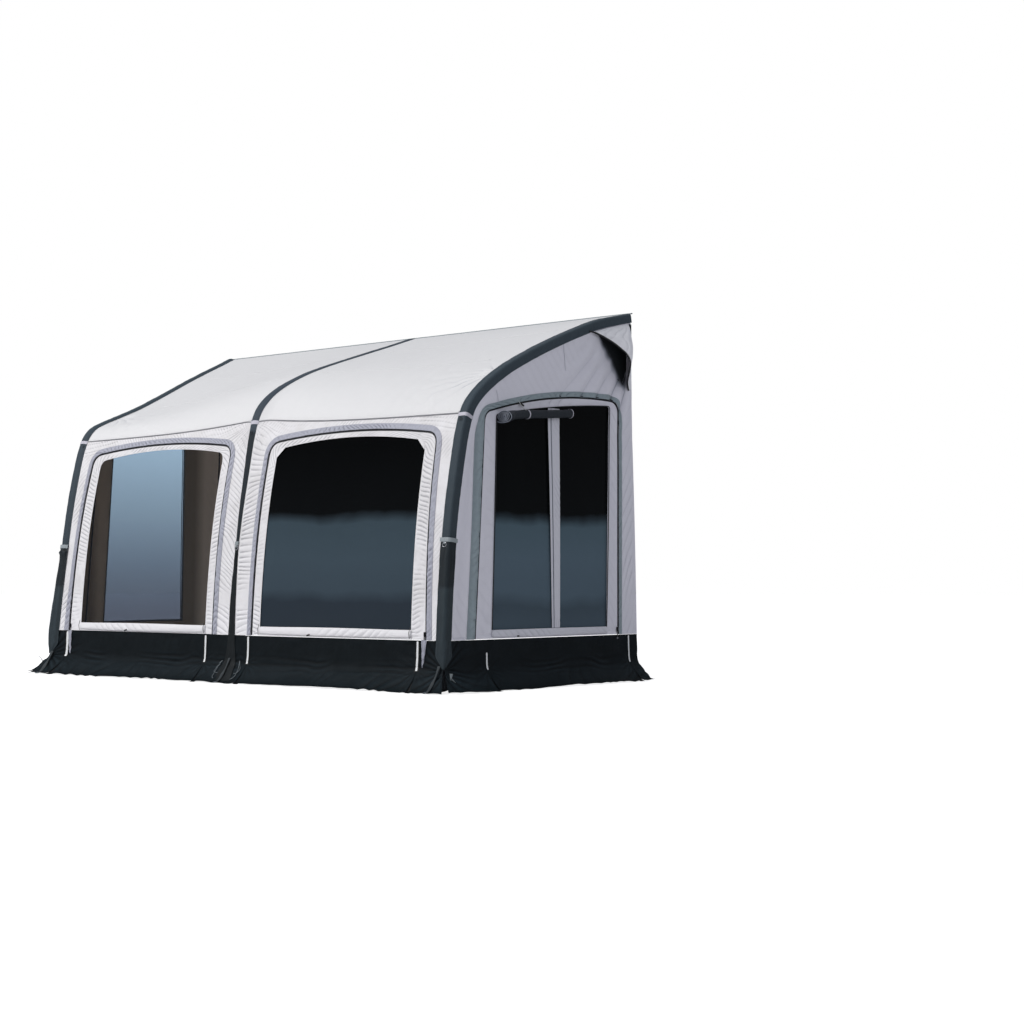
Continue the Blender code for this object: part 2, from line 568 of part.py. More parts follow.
for label, sign in SIDES:
    place = side_place(sign)
    line = arch(**SIDE_ZIP)
    n = len(line)
    zip_out = shifted(line, HALF_GAP)
    edge = []
    s_leg, s_bend = s_at_z(1.60), 1.56
    for i, (y, z) in enumerate(line):
        if i < 6:
            s = s_at_z(zip_out[i][1]) + (s_leg - s_at_z(line[6][1])) * i / 6
            q = under_band(s)
            q = (q[0], zip_out[i][1]) if i == 0 else q
        elif i < 11:
            q = under_band(s_leg + (s_bend - s_leg) * (i - 6) / 5)
        elif i < 21:
            q = under_band(s_bend + (0.16 - s_bend) * (i - 11) / 10)
        elif i < n - 6:
            u = (i - 21) / 4
            top_corner = under_band(0.05)
            q = (1.000, top_corner[1] - 0.012 - 0.35 * u) if i > 21 else (0.996, top_corner[1] - 0.006)
        else:
            u = (i - (n - 7)) / 6
            z0 = under_band(0.05)[1] - 0.36
            q = (1.000 + 0.030 * u, z0 + (zip_out[-1][1] - z0) * u)
        edge.append(q)
    wall = grid_solid("side_surround_" + label, *strip_rows(edge, zip_out, place, 0.0, -T), WALL)
    # vent opening under the hood, cut through the surround
    cutter = plate("vent_cutter_" + label, VENT, place, 0.03, -0.03, MESH)
    cutter.hide_render = True
    cutter.display_type = "WIRE"
    cut = wall.modifiers.new("vent", "BOOLEAN")
    cut.operation = "DIFFERENCE"
    cut.object = cutter
    # mesh that closes the vent from inside
    cy, cz = np.mean(np.array(VENT), axis=0)
    wide = [(cy + (y - cy) * 1.10, cz + (z - cz) * 1.10) for y, z in VENT]
    plate("vent_mesh_" + label, wide, place, -T - 0.0006, -T - 0.0022, MESH)
    # hood over the vent: cup with a stiff curved rim, open below and in front
    rim = spline([(0.560, 2.300, 0.006), (0.634, 2.290, 0.022), (0.765, 2.256, 0.055),
                  (0.838, 2.210, 0.085), (0.866, 2.155, 0.100), (0.872, 2.092, 0.088),
                  (0.902, 2.025, 0.045), (0.962, 1.975, 0.006)], 2)
    root = []
    m_rim = len(rim)
    for k in range(m_rim):
        u = k / (m_rim - 1)
        if u < 0.62:
            q = under_band(0.455 - 0.415 * u / 0.62)
            root.append((min(q[0], 0.990), q[1] - 0.004))
        else:
            w = (u - 0.62) / 0.38
            z0 = under_band(0.04)[1] - 0.010
            root.append((0.990, z0 + (1.985 - z0) * w))
    top, bottom = [], []
    for (yr, zr, dr), (yt, zt) in zip(rim, root):
        rowt, rowb = [], []
        for u in (0.0, 0.35, 0.7, 1.0):
            y, z = yt + (yr - yt) * u, zt + (zr - zt) * u
            d = 0.0046 + (max(dr, 0.0052) - 0.0046) * math.sin(u * math.pi / 2)
            rowt.append(place(y, z, d))
            rowb.append(place(y, z, d - 0.0040))
        top.append(rowt)
        bottom.append(rowb)
    grid_solid("vent_hood_" + label, top, bottom, WALL)
    # rain strip and zip chain
    grid_solid("zip_cover_side_" + label,
               *strip_rows(shifted(line, HALF_GAP + 0.001 + COVER_W * 0.9), shifted(line, HALF_GAP + 0.001),
                           place, 0.0055, 0.003), TRIM)
    grid_solid("zip_chain_side_" + label,
               *strip_rows(shifted(line, 0.0025), shifted(line, -0.0025), place, 0.0015, -0.003), ZIP)
    # opening side panel, hinged along its front zip leg
    hinge = on_side(sign, SIDE_ZIP["xa_b"], SIDE_ZIP["zb"], 0.001)
    outer = shifted(line, -HALF_GAP)
    outer += [(outer[-1][0] + (outer[0][0] - outer[-1][0]) * k / 8, SIDE_ZIP["zb"]) for k in range(1, 8)]
    win = SIDE_WIN if sign > 0 else SIDE_WIN_LEFT
    inner = arch(**win, bottom=7)
    grid_solid("side_panel_" + label, *strip_rows(outer, inner, place, 0.0, -T), WALL,
               wrap=True, origin=hinge)
    # film behind the ring
    big = dict(win)
    big.update(xa_b=win["xa_b"] - 0.015, xa_t=win["xa_t"] - 0.015, xb_b=win["xb_b"] + 0.015,
               xb_t=win["xb_t"] + 0.015, zb=0.358, za=win["za"] + 0.013, zc=win["zc"] + 0.013)
    lft = arch(**big)
    top, bottom = [], []
    for k in range(0, 7):
        a = lft[k if k < 6 else 11]
        b = lft[len(lft) - 1 - k if k < 6 else 20]
        row = []
        for u in np.linspace(0, 1, 6):
            zz = a[1] + (b[1] - a[1]) * u
            if k == 6:
                zz += big["bulge"] * 4 * u * (1 - u)
            row.append((a[0] + (b[0] - a[0]) * u, zz))
        top.append([place(q[0], q[1], -T - 0.003) for q in row])
        bottom.append([place(q[0], q[1], -T - 0.005) for q in row])
    grid_solid("side_window_" + label, top, bottom, FILM, origin=hinge)
    # vertical divider between the two panes, on the right only
    top, bottom = [], []
    for z in (0.374, 0.8, 1.3, 1.795):
        u = (z - 0.374) / (1.795 - 0.374)
        ya, yb = 0.155 - 0.017 * u, 0.231 + 0.018 * u
        ztop = z
        top.append([place(ya, ztop, -0.0002), place(yb, ztop, -0.0002)])
        bottom.append([place(ya, ztop, -T), place(yb, ztop, -T)])
    if sign > 0:
        grid_solid("side_divider_" + label, top, bottom, WALL, origin=hinge)
    # padded sill strip
    rings = [[place(y, z, d) for z, d in
              ((0.328, 0.0006), (0.328, 0.007), (0.345, 0.012), (0.360, 0.011), (0.373, 0.005), (0.373, 0.0006))]
             for y in np.linspace(win["xa_b"] - 0.004, win["xb_b"] + 0.005, 4)]
    swept("side_sill_" + label, rings, WALL, origin=hinge)
    # blind rolled up at the head of the front pane
    ya, za, yb, zb = (-0.335, 1.716, 0.330, 1.768) if sign > 0 else (-0.290, 1.719, 0.420, 1.774)
    a, b = place(ya, za, 0.032), place(yb, zb, 0.032)
    path = [tuple(np.array(a) + (np.array(b) - np.array(a)) * u) for u in np.linspace(0, 1, 5)]
    rings = []
    t = (np.array(b) - np.array(a)) / np.linalg.norm(np.array(b) - np.array(a))
    nrm = np.array([sign * SIDE_N[0], SIDE_N[1], 0.0])
    up = np.cross(t, nrm) * (-sign)
    for p in path:
        rings.append([tuple(np.array(p) + 0.030 * (math.cos(q) * nrm + math.sin(q) * up))
                      for q in (2 * math.pi * k / 10 for k in range(10))])
    swept("blind_roll_" + label, rings, BAND, origin=hinge, smooth=True)
    # slider on the rear zip leg
    rings = []
    for z in (Z_SEAM + 0.020, Z_SEAM + 0.028, Z_SEAM + 0.046, Z_SEAM + 0.052):
        w = 0.0065 if Z_SEAM + 0.022 < z < Z_SEAM + 0.050 else 0.004
        yc = SIDE_ZIP["xb_b"] - HALF_GAP - 0.0105
        rings.append([place(yc + dy, z, d) for dy, d in
                      ((-w, 0.004), (w, 0.004), (w, 0.010), (-w, 0.010))])
    swept("zip_slider_side_" + label, rings, METAL,
          origin=place(SIDE_ZIP["xb_b"] - HALF_GAP - 0.0105, Z_SEAM + 0.036, 0.004))

# ------------------------------------------------------- skirts and ground flaps
# sections: (distance outward, height) of outer and inner face
SKIRT_OUT = ((0.000, Z_SEAM - 0.003), (0.006, 0.1410))
SKIRT_IN = ((-0.004, Z_SEAM - 0.003), (0.0015, 0.1395))
FLAP_OUT = ((0.006, 0.1400), (0.020, 0.1195), (0.070, 0.048), (0.102, 0.004), (FLAP, 0.004))
FLAP_IN = ((0.0015, 0.1385), (0.0155, 0.1175), (0.066, 0.045), (0.100, 0.0), (FLAP, 0.0))
Y_FOOT = y_leg(Z_SEAM)


def section_grid(cuts, slits, place, outer, inner):
    """Grids along a wall; slits leave gaps from the second cell of the section on."""
    xs, keep = [], []
    for a, b in zip(cuts[:-1], cuts[1:]):
        xs.append(a)
        keep.append(not any(a - 1e-6 <= c - 0.005 and b + 1e-6 >= c + 0.005 and b - a < 0.02 for c in slits))
    xs.append(cuts[-1])
    top = [[place(x, a, z) for a, z in outer] for x in xs]
    bottom = [[place(x, a, z) for a, z in inner] for x in xs]
    mask = [[True] + [k] * (len(outer) - 2) for k in keep]
    return top, bottom, mask


def front_skirt_place(x, a, z):
    # the flap spreads sideways at the two ends
    f = max(0.0, (a - 0.006) / FLAP)
    grow = 0.100 * f * max(0.0, (abs(x) - 1.60) / (XF - 1.60)) if abs(x) > 1.60 else 0.0
    return (math.copysign(abs(x) + grow, x), Y_FOOT - a, z)


top, bottom, mask = section_grid([-XF, -0.9, 0.0, 0.9, XF], (), front_skirt_place, SKIRT_OUT, SKIRT_IN)
grid_solid("skirt_front", top, bottom, SKIRT)
cuts = [-XF, -1.76]
for c in SLITS:
    cuts += [c - 0.005, c + 0.005]
cuts += [1.76, XF]
top, bottom, mask = section_grid(sorted(cuts + [-1.0, 0.9]), SLITS, front_skirt_place, FLAP_OUT, FLAP_IN)
grid_solid("ground_flap_front", top, bottom, SKIRT, mask=mask)

for label, sign in SIDES:
    def side_skirt_place(y, a, z, k=sign):
        x = XF + SPLAY * (y - Y_FOOT)
        n = SIDE_N
        return (k * (x + n[0] * a), y + n[1] * a, z)
    top, bottom, mask = section_grid([Y_FOOT + 0.010, -0.65, SIDE_SLITS[0] - 0.005, 0.1, 1.030], (), side_skirt_place, SKIRT_OUT, SKIRT_IN)
    grid_solid("skirt_side_" + label, top, bottom, SKIRT)
    cuts = [Y_FOOT + 0.010, -0.65]
    for c in SIDE_SLITS:
        cuts += [c - 0.005, c + 0.005]
    cuts += [0.25, 1.030]
    top, bottom, mask = section_grid(sorted(cuts), SIDE_SLITS, side_skirt_place, FLAP_OUT, FLAP_IN)
    grid_solid("ground_flap_" + label, top, bottom, SKIRT, mask=mask)

# ------------------------------------------------------ rings and peg straps
def ring_at(name, x, z, d, tilt_sign=0):
    """Small round ring hanging below the cross tape, free to swing."""
    c = np.array(on_front(x, z, d))
    pin = np.array(on_front(x, z + 0.016, d))
    down = (c - pin) / np.linalg.norm(c - pin)
    side = np.array([1.0, 0.0, 0.0])
    out = np.cross(side, down)
    rings = []
    for k in range(14):
        q = 2 * math.pi * k / 14
        radial = math.cos(q) * side + math.sin(q) * down
        centre = c + 0.014 * radial
        rings.append([tuple(centre + 0.0022 * (math.cos(w) * radial + math.sin(w) * out))
                      for w in (2 * math.pi * j / 6 for j in range(6))])
    swept(name, rings, METAL, closed=True, origin=tuple(pin), smooth=True)


ring_at("leg_ring_centre", 0.0, Z_TAPE - 0.030, 0.0085)
ring_at("leg_ring_left", -XF + 0.025, Z_TAPE - 0.030, 0.0085)
ring_at("leg_ring_right", XF - 0.025, Z_TAPE - 0.030, 0.0085)


def strap(name, x, y0, z0, y1, half=0.012):
    """Webbing strap that runs from the skirt down and out to a peg."""
    rings = []
    for u in np.linspace(0, 1, 5):
        y = y0 + (y1 - y0) * u
        z = z0 * (1 - u) ** 1.6 + 0.007
        rings.append([(x - half, y, z), (x + half, y, z), (x + half, y, z + 0.002), (x - half, y, z + 0.002)])
    swept(name, rings, WEB)


strap("peg_strap_left", -XF + 0.02, Y_FOOT - 0.020, 0.150, Y_FOOT - FLAP - 0.012)
strap("peg_strap_centre", 0.0, Y_FOOT - 0.020, 0.150, Y_FOOT - FLAP - 0.012)
strap("peg_strap_right", XF - 0.02, Y_FOOT - 0.020, 0.150, Y_FOOT - FLAP - 0.012)
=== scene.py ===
import bpy
import json
import math
import numpy as np
from mathutils import Vector
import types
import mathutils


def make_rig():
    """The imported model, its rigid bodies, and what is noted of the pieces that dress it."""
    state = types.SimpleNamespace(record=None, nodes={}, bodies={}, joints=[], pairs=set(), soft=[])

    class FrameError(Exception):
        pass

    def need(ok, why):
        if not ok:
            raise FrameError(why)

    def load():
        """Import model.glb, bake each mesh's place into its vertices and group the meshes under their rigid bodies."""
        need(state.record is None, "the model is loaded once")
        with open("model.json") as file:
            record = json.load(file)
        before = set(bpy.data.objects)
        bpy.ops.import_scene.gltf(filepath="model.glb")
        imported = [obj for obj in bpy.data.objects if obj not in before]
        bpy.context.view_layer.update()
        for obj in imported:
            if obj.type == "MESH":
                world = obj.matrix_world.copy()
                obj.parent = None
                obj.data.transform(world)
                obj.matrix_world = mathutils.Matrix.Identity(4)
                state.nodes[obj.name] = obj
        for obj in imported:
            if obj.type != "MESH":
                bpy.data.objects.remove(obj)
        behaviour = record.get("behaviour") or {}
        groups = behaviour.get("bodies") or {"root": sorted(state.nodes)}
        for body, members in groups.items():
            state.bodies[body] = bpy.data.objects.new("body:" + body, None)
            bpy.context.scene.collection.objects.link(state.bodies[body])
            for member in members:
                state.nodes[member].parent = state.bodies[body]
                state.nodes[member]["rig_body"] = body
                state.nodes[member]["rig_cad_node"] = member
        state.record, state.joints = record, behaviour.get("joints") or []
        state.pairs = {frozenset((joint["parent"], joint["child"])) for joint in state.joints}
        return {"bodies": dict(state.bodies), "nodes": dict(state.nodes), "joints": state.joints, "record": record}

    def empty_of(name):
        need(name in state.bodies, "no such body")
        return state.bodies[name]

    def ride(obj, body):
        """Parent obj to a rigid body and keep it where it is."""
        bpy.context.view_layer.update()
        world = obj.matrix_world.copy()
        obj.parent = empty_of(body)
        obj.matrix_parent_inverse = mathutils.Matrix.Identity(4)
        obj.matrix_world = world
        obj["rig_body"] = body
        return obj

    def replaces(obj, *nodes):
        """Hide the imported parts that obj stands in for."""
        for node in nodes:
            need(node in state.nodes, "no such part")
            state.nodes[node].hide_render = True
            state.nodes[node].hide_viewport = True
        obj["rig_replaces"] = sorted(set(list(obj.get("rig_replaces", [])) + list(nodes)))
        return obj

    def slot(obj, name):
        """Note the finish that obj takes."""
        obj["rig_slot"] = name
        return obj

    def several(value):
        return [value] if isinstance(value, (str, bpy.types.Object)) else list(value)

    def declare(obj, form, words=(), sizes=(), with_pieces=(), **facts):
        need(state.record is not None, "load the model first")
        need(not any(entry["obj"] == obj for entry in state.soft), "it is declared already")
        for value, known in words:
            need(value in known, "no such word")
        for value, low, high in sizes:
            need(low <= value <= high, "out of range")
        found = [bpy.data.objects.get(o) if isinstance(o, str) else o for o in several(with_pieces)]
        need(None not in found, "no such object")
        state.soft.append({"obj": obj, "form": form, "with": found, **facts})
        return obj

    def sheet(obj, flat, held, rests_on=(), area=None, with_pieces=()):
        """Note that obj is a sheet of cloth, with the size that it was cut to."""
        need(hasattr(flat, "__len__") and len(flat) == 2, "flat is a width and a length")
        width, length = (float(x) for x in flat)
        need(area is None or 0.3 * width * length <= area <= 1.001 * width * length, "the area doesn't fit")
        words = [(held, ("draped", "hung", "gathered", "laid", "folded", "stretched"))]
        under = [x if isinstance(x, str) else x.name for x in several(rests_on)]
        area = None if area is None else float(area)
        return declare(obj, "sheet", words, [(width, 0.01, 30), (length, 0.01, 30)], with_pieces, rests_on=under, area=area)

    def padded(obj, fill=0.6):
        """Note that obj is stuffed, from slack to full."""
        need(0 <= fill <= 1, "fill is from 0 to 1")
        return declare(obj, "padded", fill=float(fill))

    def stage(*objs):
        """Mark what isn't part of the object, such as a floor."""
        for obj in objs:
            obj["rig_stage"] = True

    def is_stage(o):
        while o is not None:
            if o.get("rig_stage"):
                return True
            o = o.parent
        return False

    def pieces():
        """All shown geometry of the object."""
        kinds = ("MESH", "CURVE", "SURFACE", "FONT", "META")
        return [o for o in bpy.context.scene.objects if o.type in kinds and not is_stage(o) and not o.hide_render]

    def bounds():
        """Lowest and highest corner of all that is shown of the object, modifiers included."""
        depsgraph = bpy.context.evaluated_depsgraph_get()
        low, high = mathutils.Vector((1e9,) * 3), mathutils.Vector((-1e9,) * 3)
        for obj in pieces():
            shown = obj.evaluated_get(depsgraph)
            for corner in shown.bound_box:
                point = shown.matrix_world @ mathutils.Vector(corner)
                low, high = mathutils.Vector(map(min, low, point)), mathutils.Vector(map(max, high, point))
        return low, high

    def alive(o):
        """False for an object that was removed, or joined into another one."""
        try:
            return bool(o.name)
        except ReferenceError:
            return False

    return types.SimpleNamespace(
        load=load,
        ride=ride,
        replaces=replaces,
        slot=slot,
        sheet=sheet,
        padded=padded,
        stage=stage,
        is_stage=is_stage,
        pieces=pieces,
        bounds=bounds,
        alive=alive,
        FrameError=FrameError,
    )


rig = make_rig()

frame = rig.load()
CAD_LO, CAD_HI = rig.bounds()
scene = bpy.context.scene
scene.view_settings.view_transform = "Standard"
scene.view_settings.look = "None"

# =============================================================== shape constants
YR = 0.99
H_REAR = 2.50
XF = 1.8334
SPLAY = 0.0886
Z_SEAM = 0.315
Z_TAPE = 0.925
BAND_TOP = 0.055
BAND_SIDE = 0.060
FLAP = 0.130
Y0 = -0.0293
R_BEAM = 0.050
HALF_GAP = 0.005
SIDES = (("left", -1), ("right", 1))

PROFILE = ((0.0, H_REAR), (0.50, 2.325), (1.00, 2.140), (1.30, 2.003),
           (1.47, 1.887), (1.575, 1.772), (1.635, 1.630), (1.690, 1.410),
           (1.740, 1.150), (1.775, 0.900), (1.803, 0.600), (1.820, 0.310))


def spline(points, steps=12):
    """Centripetal curve through points, as a dense polyline."""
    p = [np.array(q, float) for q in points]
    p = [2 * p[0] - p[1]] + p + [2 * p[-1] - p[-2]]
    out = []
    for i in range(1, len(p) - 2):
        t = [0.0]
        for a, b in ((p[i - 1], p[i]), (p[i], p[i + 1]), (p[i + 1], p[i + 2])):
            t.append(t[-1] + math.sqrt(np.linalg.norm(b - a)))
        for k in range(steps):
            u = t[1] + (t[2] - t[1]) * k / steps
            a1 = (t[1] - u) / (t[1] - t[0]) * p[i - 1] + (u - t[0]) / (t[1] - t[0]) * p[i]
            a2 = (t[2] - u) / (t[2] - t[1]) * p[i] + (u - t[1]) / (t[2] - t[1]) * p[i + 1]
            a3 = (t[3] - u) / (t[3] - t[2]) * p[i + 1] + (u - t[2]) / (t[3] - t[2]) * p[i + 2]
            b1 = (t[2] - u) / (t[2] - t[0]) * a1 + (u - t[0]) / (t[2] - t[0]) * a2
            b2 = (t[3] - u) / (t[3] - t[1]) * a2 + (u - t[1]) / (t[3] - t[1]) * a3
            out.append((t[2] - u) / (t[2] - t[1]) * b1 + (u - t[1]) / (t[2] - t[1]) * b2)
    out.append(p[-2])
    return np.array(out)


CURVE = spline([(YR - a, z) for a, z in PROFILE], 12)
ARC = np.concatenate([[0.0], np.cumsum(np.linalg.norm(np.diff(CURVE, axis=0), axis=1))])
S_END = float(ARC[-1])
_S = np.linspace(0, S_END, 2001)
_E = 0.02
_c = np.clip(_S, _E, S_END - _E)
_a = np.stack([np.interp(_c - _E, ARC, CURVE[:, 0]), np.interp(_c - _E, ARC, CURVE[:, 1])], -1)
_b = np.stack([np.interp(_c + _E, ARC, CURVE[:, 0]), np.interp(_c + _E, ARC, CURVE[:, 1])], -1)
_T = (_b - _a) / np.linalg.norm(_b - _a, axis=-1, keepdims=True)
_N = np.stack([_T[:, 1], -_T[:, 0]], -1)
_PY, _PZ = np.interp(_S, ARC, CURVE[:, 0]), np.interp(_S, ARC, CURVE[:, 1])


def prof(s):
    """Point (y, z) and outward normal of the profile at arc length s."""
    s = np.asarray(s, float)
    y, z = np.interp(s, _S, _PY), np.interp(s, _S, _PZ)
    n = np.stack([np.interp(s, _S, _N[:, 0]), np.interp(s, _S, _N[:, 1])], -1)
    n /= np.linalg.norm(n, axis=-1, keepdims=True)
    t = np.stack([-n[..., 1], n[..., 0]], -1)
    over = np.where(s < 0, s, np.where(s > S_END, s - S_END, 0.0))
    return np.stack([y, z], -1) + t * over[..., None], n


def s_at_z(z):
    return np.interp(-np.asarray(z, float), -CURVE[:, 1], ARC)


def y_leg(z):
    return np.interp(-np.minimum(z, 1.65), -CURVE[:, 1], CURVE[:, 0])


def x_side(y, z):
    return XF + SPLAY * (y - y_leg(z))


SIDE_N = np.array([1.0, -SPLAY]) / math.hypot(1.0, SPLAY)
S_TAPE = float(s_at_z(Z_TAPE))
S_SEAM = float(s_at_z(Z_SEAM))
Y_FOOT = float(y_leg(Z_SEAM))


def on_roof(x, s, d=0.0):
    p, n = prof(s)
    x, d = np.broadcast_arrays(np.asarray(x, float) + 0 * p[..., 0], np.asarray(d, float) + 0 * p[..., 0])
    return np.stack([x, p[..., 0] + n[..., 0] * d, p[..., 1] + n[..., 1] * d], -1)


def on_front(x, z, d=0.0):
    return on_roof(x, s_at_z(z) + 0 * np.asarray(x, float), d)


def on_side(sign, y, z, d=0.0):
    y, z, d = np.broadcast_arrays(np.asarray(y, float), np.asarray(z, float), np.asarray(d, float))
    return np.stack([sign * (x_side(y, z) + SIDE_N[0] * d), y + SIDE_N[1] * d, z + 0 * d], -1)


def eave_z(x):
    """Height of the seam between roof and front wall; it climbs beside the centre beam."""
    x = np.abs(x)
    return 1.706 + 0.062 * np.exp(-(x / 0.55) ** 1.15) - 0.030 * np.exp(-(x / 0.075) ** 2)


# The three beams are not bent alike: offsets along the profile's normal, in metres,
# against the distance in front of the rear edge.
SHIFT_LEFT = ((0, 0), (.11, -.015), (.24, -.026), (.37, -.038), (.53, -.053), (.676, -.071),
              (.863, -.092), (1.047, -.105), (1.193, -.105), (1.338, -.088), (1.44, -.062),
              (1.52, -.030), (1.575, 0), (9, 0))
SHIFT_RIGHT = ((0, 0), (.053, .010), (.299, .038), (.458, .038), (.64, .034), (.842, .025),
               (1.039, .014), (1.206, .005), (1.359, -.004), (1.497, -.004), (1.575, 0), (9, 0))
SHIFT_CENTRE = ((0, 0), (.30, .006), (.635, .018), (.896, .028), (1.109, .038), (1.315, .036),
                (1.415, .030), (1.516, .015), (1.575, 0), (9, 0))
SHIFT_BEND = ((0, 0), (1.20, 0), (1.315, .006), (1.415, .020), (1.516, .042), (1.577, .050),
              (1.60, .036), (1.63, .014), (1.65, 0), (9, 0))
_NS = np.linspace(0, 2.35, 190)
_NP, _NN = None, None


def smooth_table(a, table):
    """Table values over a, rounded over 6 cm so that cloth shows no kinks."""
    q, v = [k[0] for k in table], [k[1] for k in table]
    return sum(np.interp(a + e, q, v) for e in (-.06, -.03, 0, .03, .06)) / 5


def beam_shift(V, whole=False):
    """Moves points near the roof so that they follow the bends of its beams."""
    global _NP, _NN
    if _NP is None:
        _NP, _NN = prof(_NS)
    V = np.array(V, float)
    hit = np.nonzero(V[:, 2] > 1.30)[0]
    for k in range(0, len(hit), 20000):
        ix = hit[k:k + 20000]
        q = V[ix, 1:]
        j = np.argmin((q[:, :1] - _NP[None, :, 0]) ** 2 + (q[:, 1:] - _NP[None, :, 1]) ** 2, 1)
        pt, nn = _NP[j], _NN[j]
        tt = np.stack([-nn[:, 1], nn[:, 0]], 1)
        s = _NS[j] + ((q - pt) * tt).sum(1)
        pt, nn = prof(np.clip(s, 0, S_END))
        depth = -((q - pt) * nn).sum(1)
        a = YR - pt[:, 0]
        x = V[ix, 0]
        w = np.clip(np.abs(x) / 1.83, 0, 1)
        w = w * w * (3 - 2 * w)
        v = smooth_table(a, SHIFT_CENTRE) * (1 - w) + np.where(x < 0, smooth_table(a, SHIFT_LEFT), smooth_table(a, SHIFT_RIGHT)) * w
        v = v + smooth_table(a, SHIFT_BEND) * np.exp(-(x / 0.075) ** 2)
        if whole:
            v = v - 0.006 * np.clip(np.abs(v) / 0.01, 0, 1)
        else:
            v = v * np.where(depth > 0.066, np.clip(1 - (depth - 0.066) / 0.126, 0, 1), 1.0)
        V[ix, 1:] += nn * v[:, None]
    return V


# ==================================================================== noise tools
def _hash(ix, iy, seed):
    h = (ix.astype(np.int64) * 374761393 + iy.astype(np.int64) * 668265263 + seed * 974634777) & 0xFFFFFFFF
    h = ((h ^ (h >> 13)) * 1274126177) & 0xFFFFFFFF
    h = ((h ^ (h >> 16)) * 2246822519) & 0xFFFFFFFF
    return (h ^ (h >> 15)) / 4294967295.0


def noise(x, y, seed=0):
    """Smooth value noise between -1 and 1."""
    x, y = np.broadcast_arrays(np.asarray(x, float), np.asarray(y, float))
    ix, iy = np.floor(x), np.floor(y)
    fx, fy = x - ix, y - iy
    ux = fx * fx * fx * (fx * (fx * 6 - 15) + 10)
    uy = fy * fy * fy * (fy * (fy * 6 - 15) + 10)
    ix, iy = ix.astype(np.int64), iy.astype(np.int64)
    a, b = _hash(ix, iy, seed), _hash(ix + 1, iy, seed)
    c, d = _hash(ix, iy + 1, seed), _hash(ix + 1, iy + 1, seed)
    return 2 * ((a + (b - a) * ux) * (1 - uy) + (c + (d - c) * ux) * uy) - 1


def fbm(x, y, seed=0, octaves=3):
    out, amp, tot = 0.0, 1.0, 0.0
    for k in range(octaves):
        out = out + amp * noise(x * 2 ** k, y * 2 ** k, seed + 17 * k)
        tot += amp
        amp *= 0.5
    return out / tot


def step(a, b, x):
    t = np.clip((x - a) / (b - a), 0, 1)
    return t * t * (3 - 2 * t)


def bump(a, b, x):
    """0 outside a..b, 1 in the middle, smooth."""
    t = np.clip((x - a) / (b - a), 0, 1)
    return np.sin(np.pi * t) ** 2


def ridge(phase, p=0.8):
    """Rounded ridges with narrow valleys, mean near zero."""
    return np.abs(np.sin(np.pi * phase)) ** p - 0.64


def pleats(u, w, lam, slant, amp, decay, seed, reach=None, p=0.8):
    """Puckers that start at an edge (w = 0) and fade with the distance w from it."""
    ph = (u + slant * w) / lam + 0.55 * noise(u / (lam * 4.0), w / 0.16, seed) + 0.25 * noise(u / (lam * 1.7), w / 0.07, seed + 1)
    mod = np.clip(0.62 + 0.5 * noise(u / (lam * 2.6), w / 0.09, seed + 2), 0.05, 1.2)
    fade = np.exp(-np.maximum(w, 0) / decay)
    if reach is not None:
        fade = fade * (1 - step(reach * 0.6, reach, w))
    return amp * fade * mod * ridge(ph, p)


def fan(x, z, cx, cz, a0, a1, n, amp, r0, r1, seed, p=0.9):
    """Tension folds that radiate from a point between the angles a0 and a1 (degrees)."""
    dx, dz = x - cx, z - cz
    r = np.hypot(dx, dz)
    th = np.degrees(np.arctan2(dz, dx))
    th = np.where(th < a0 - 90, th + 360, th)
    th = np.where(th > a0 + 270, th - 360, th)
    t = (th - a0) / (a1 - a0)
    win = step(0.0, 0.12, t) * (1 - step(0.88, 1.0, t))
    env = step(0, r0, r) * np.exp(-np.maximum(r - r0, 0) / r1)
    ph = n * t + 0.5 * noise(t * n / 2.5, r * 5, seed) + 0.2 * noise(t * n, r * 14, seed + 3)
    mod = np.clip(0.6 + 0.55 * noise(t * n / 1.7 + 9, r * 4, seed + 5), 0.05, 1.2)
    return amp * win * env * mod * ridge(ph, p)


def lin(r, g, b):
    """sRGB 0..255 to linear."""
    return tuple((c / 255 / 12.92) if c / 255 <= 0.04045 else ((c / 255 + 0.055) / 1.055) ** 2.4 for c in (r, g, b))


# =================================================================== mesh tools
MADE = {}


def foot_shift(V):
    """The cloth round the left leg stands further out below the cross tape."""
    V = np.array(V, float)
    x, y, z = V[:, 0], V[:, 1], V[:, 2]
    h = np.clip((Z_TAPE - z) / (Z_TAPE - Z_SEAM), 0, 1) ** 1.25
    g = np.clip((-0.63 - y) / 0.10, 0, 1)
    k = 0.038 * np.clip((-x - 1.70) / 0.075, 0, 1) + 0.037 * np.clip((-x - 1.775) / 0.070, 0, 1)
    V[:, 0] -= k * h * g * g * (3 - 2 * g)
    return V


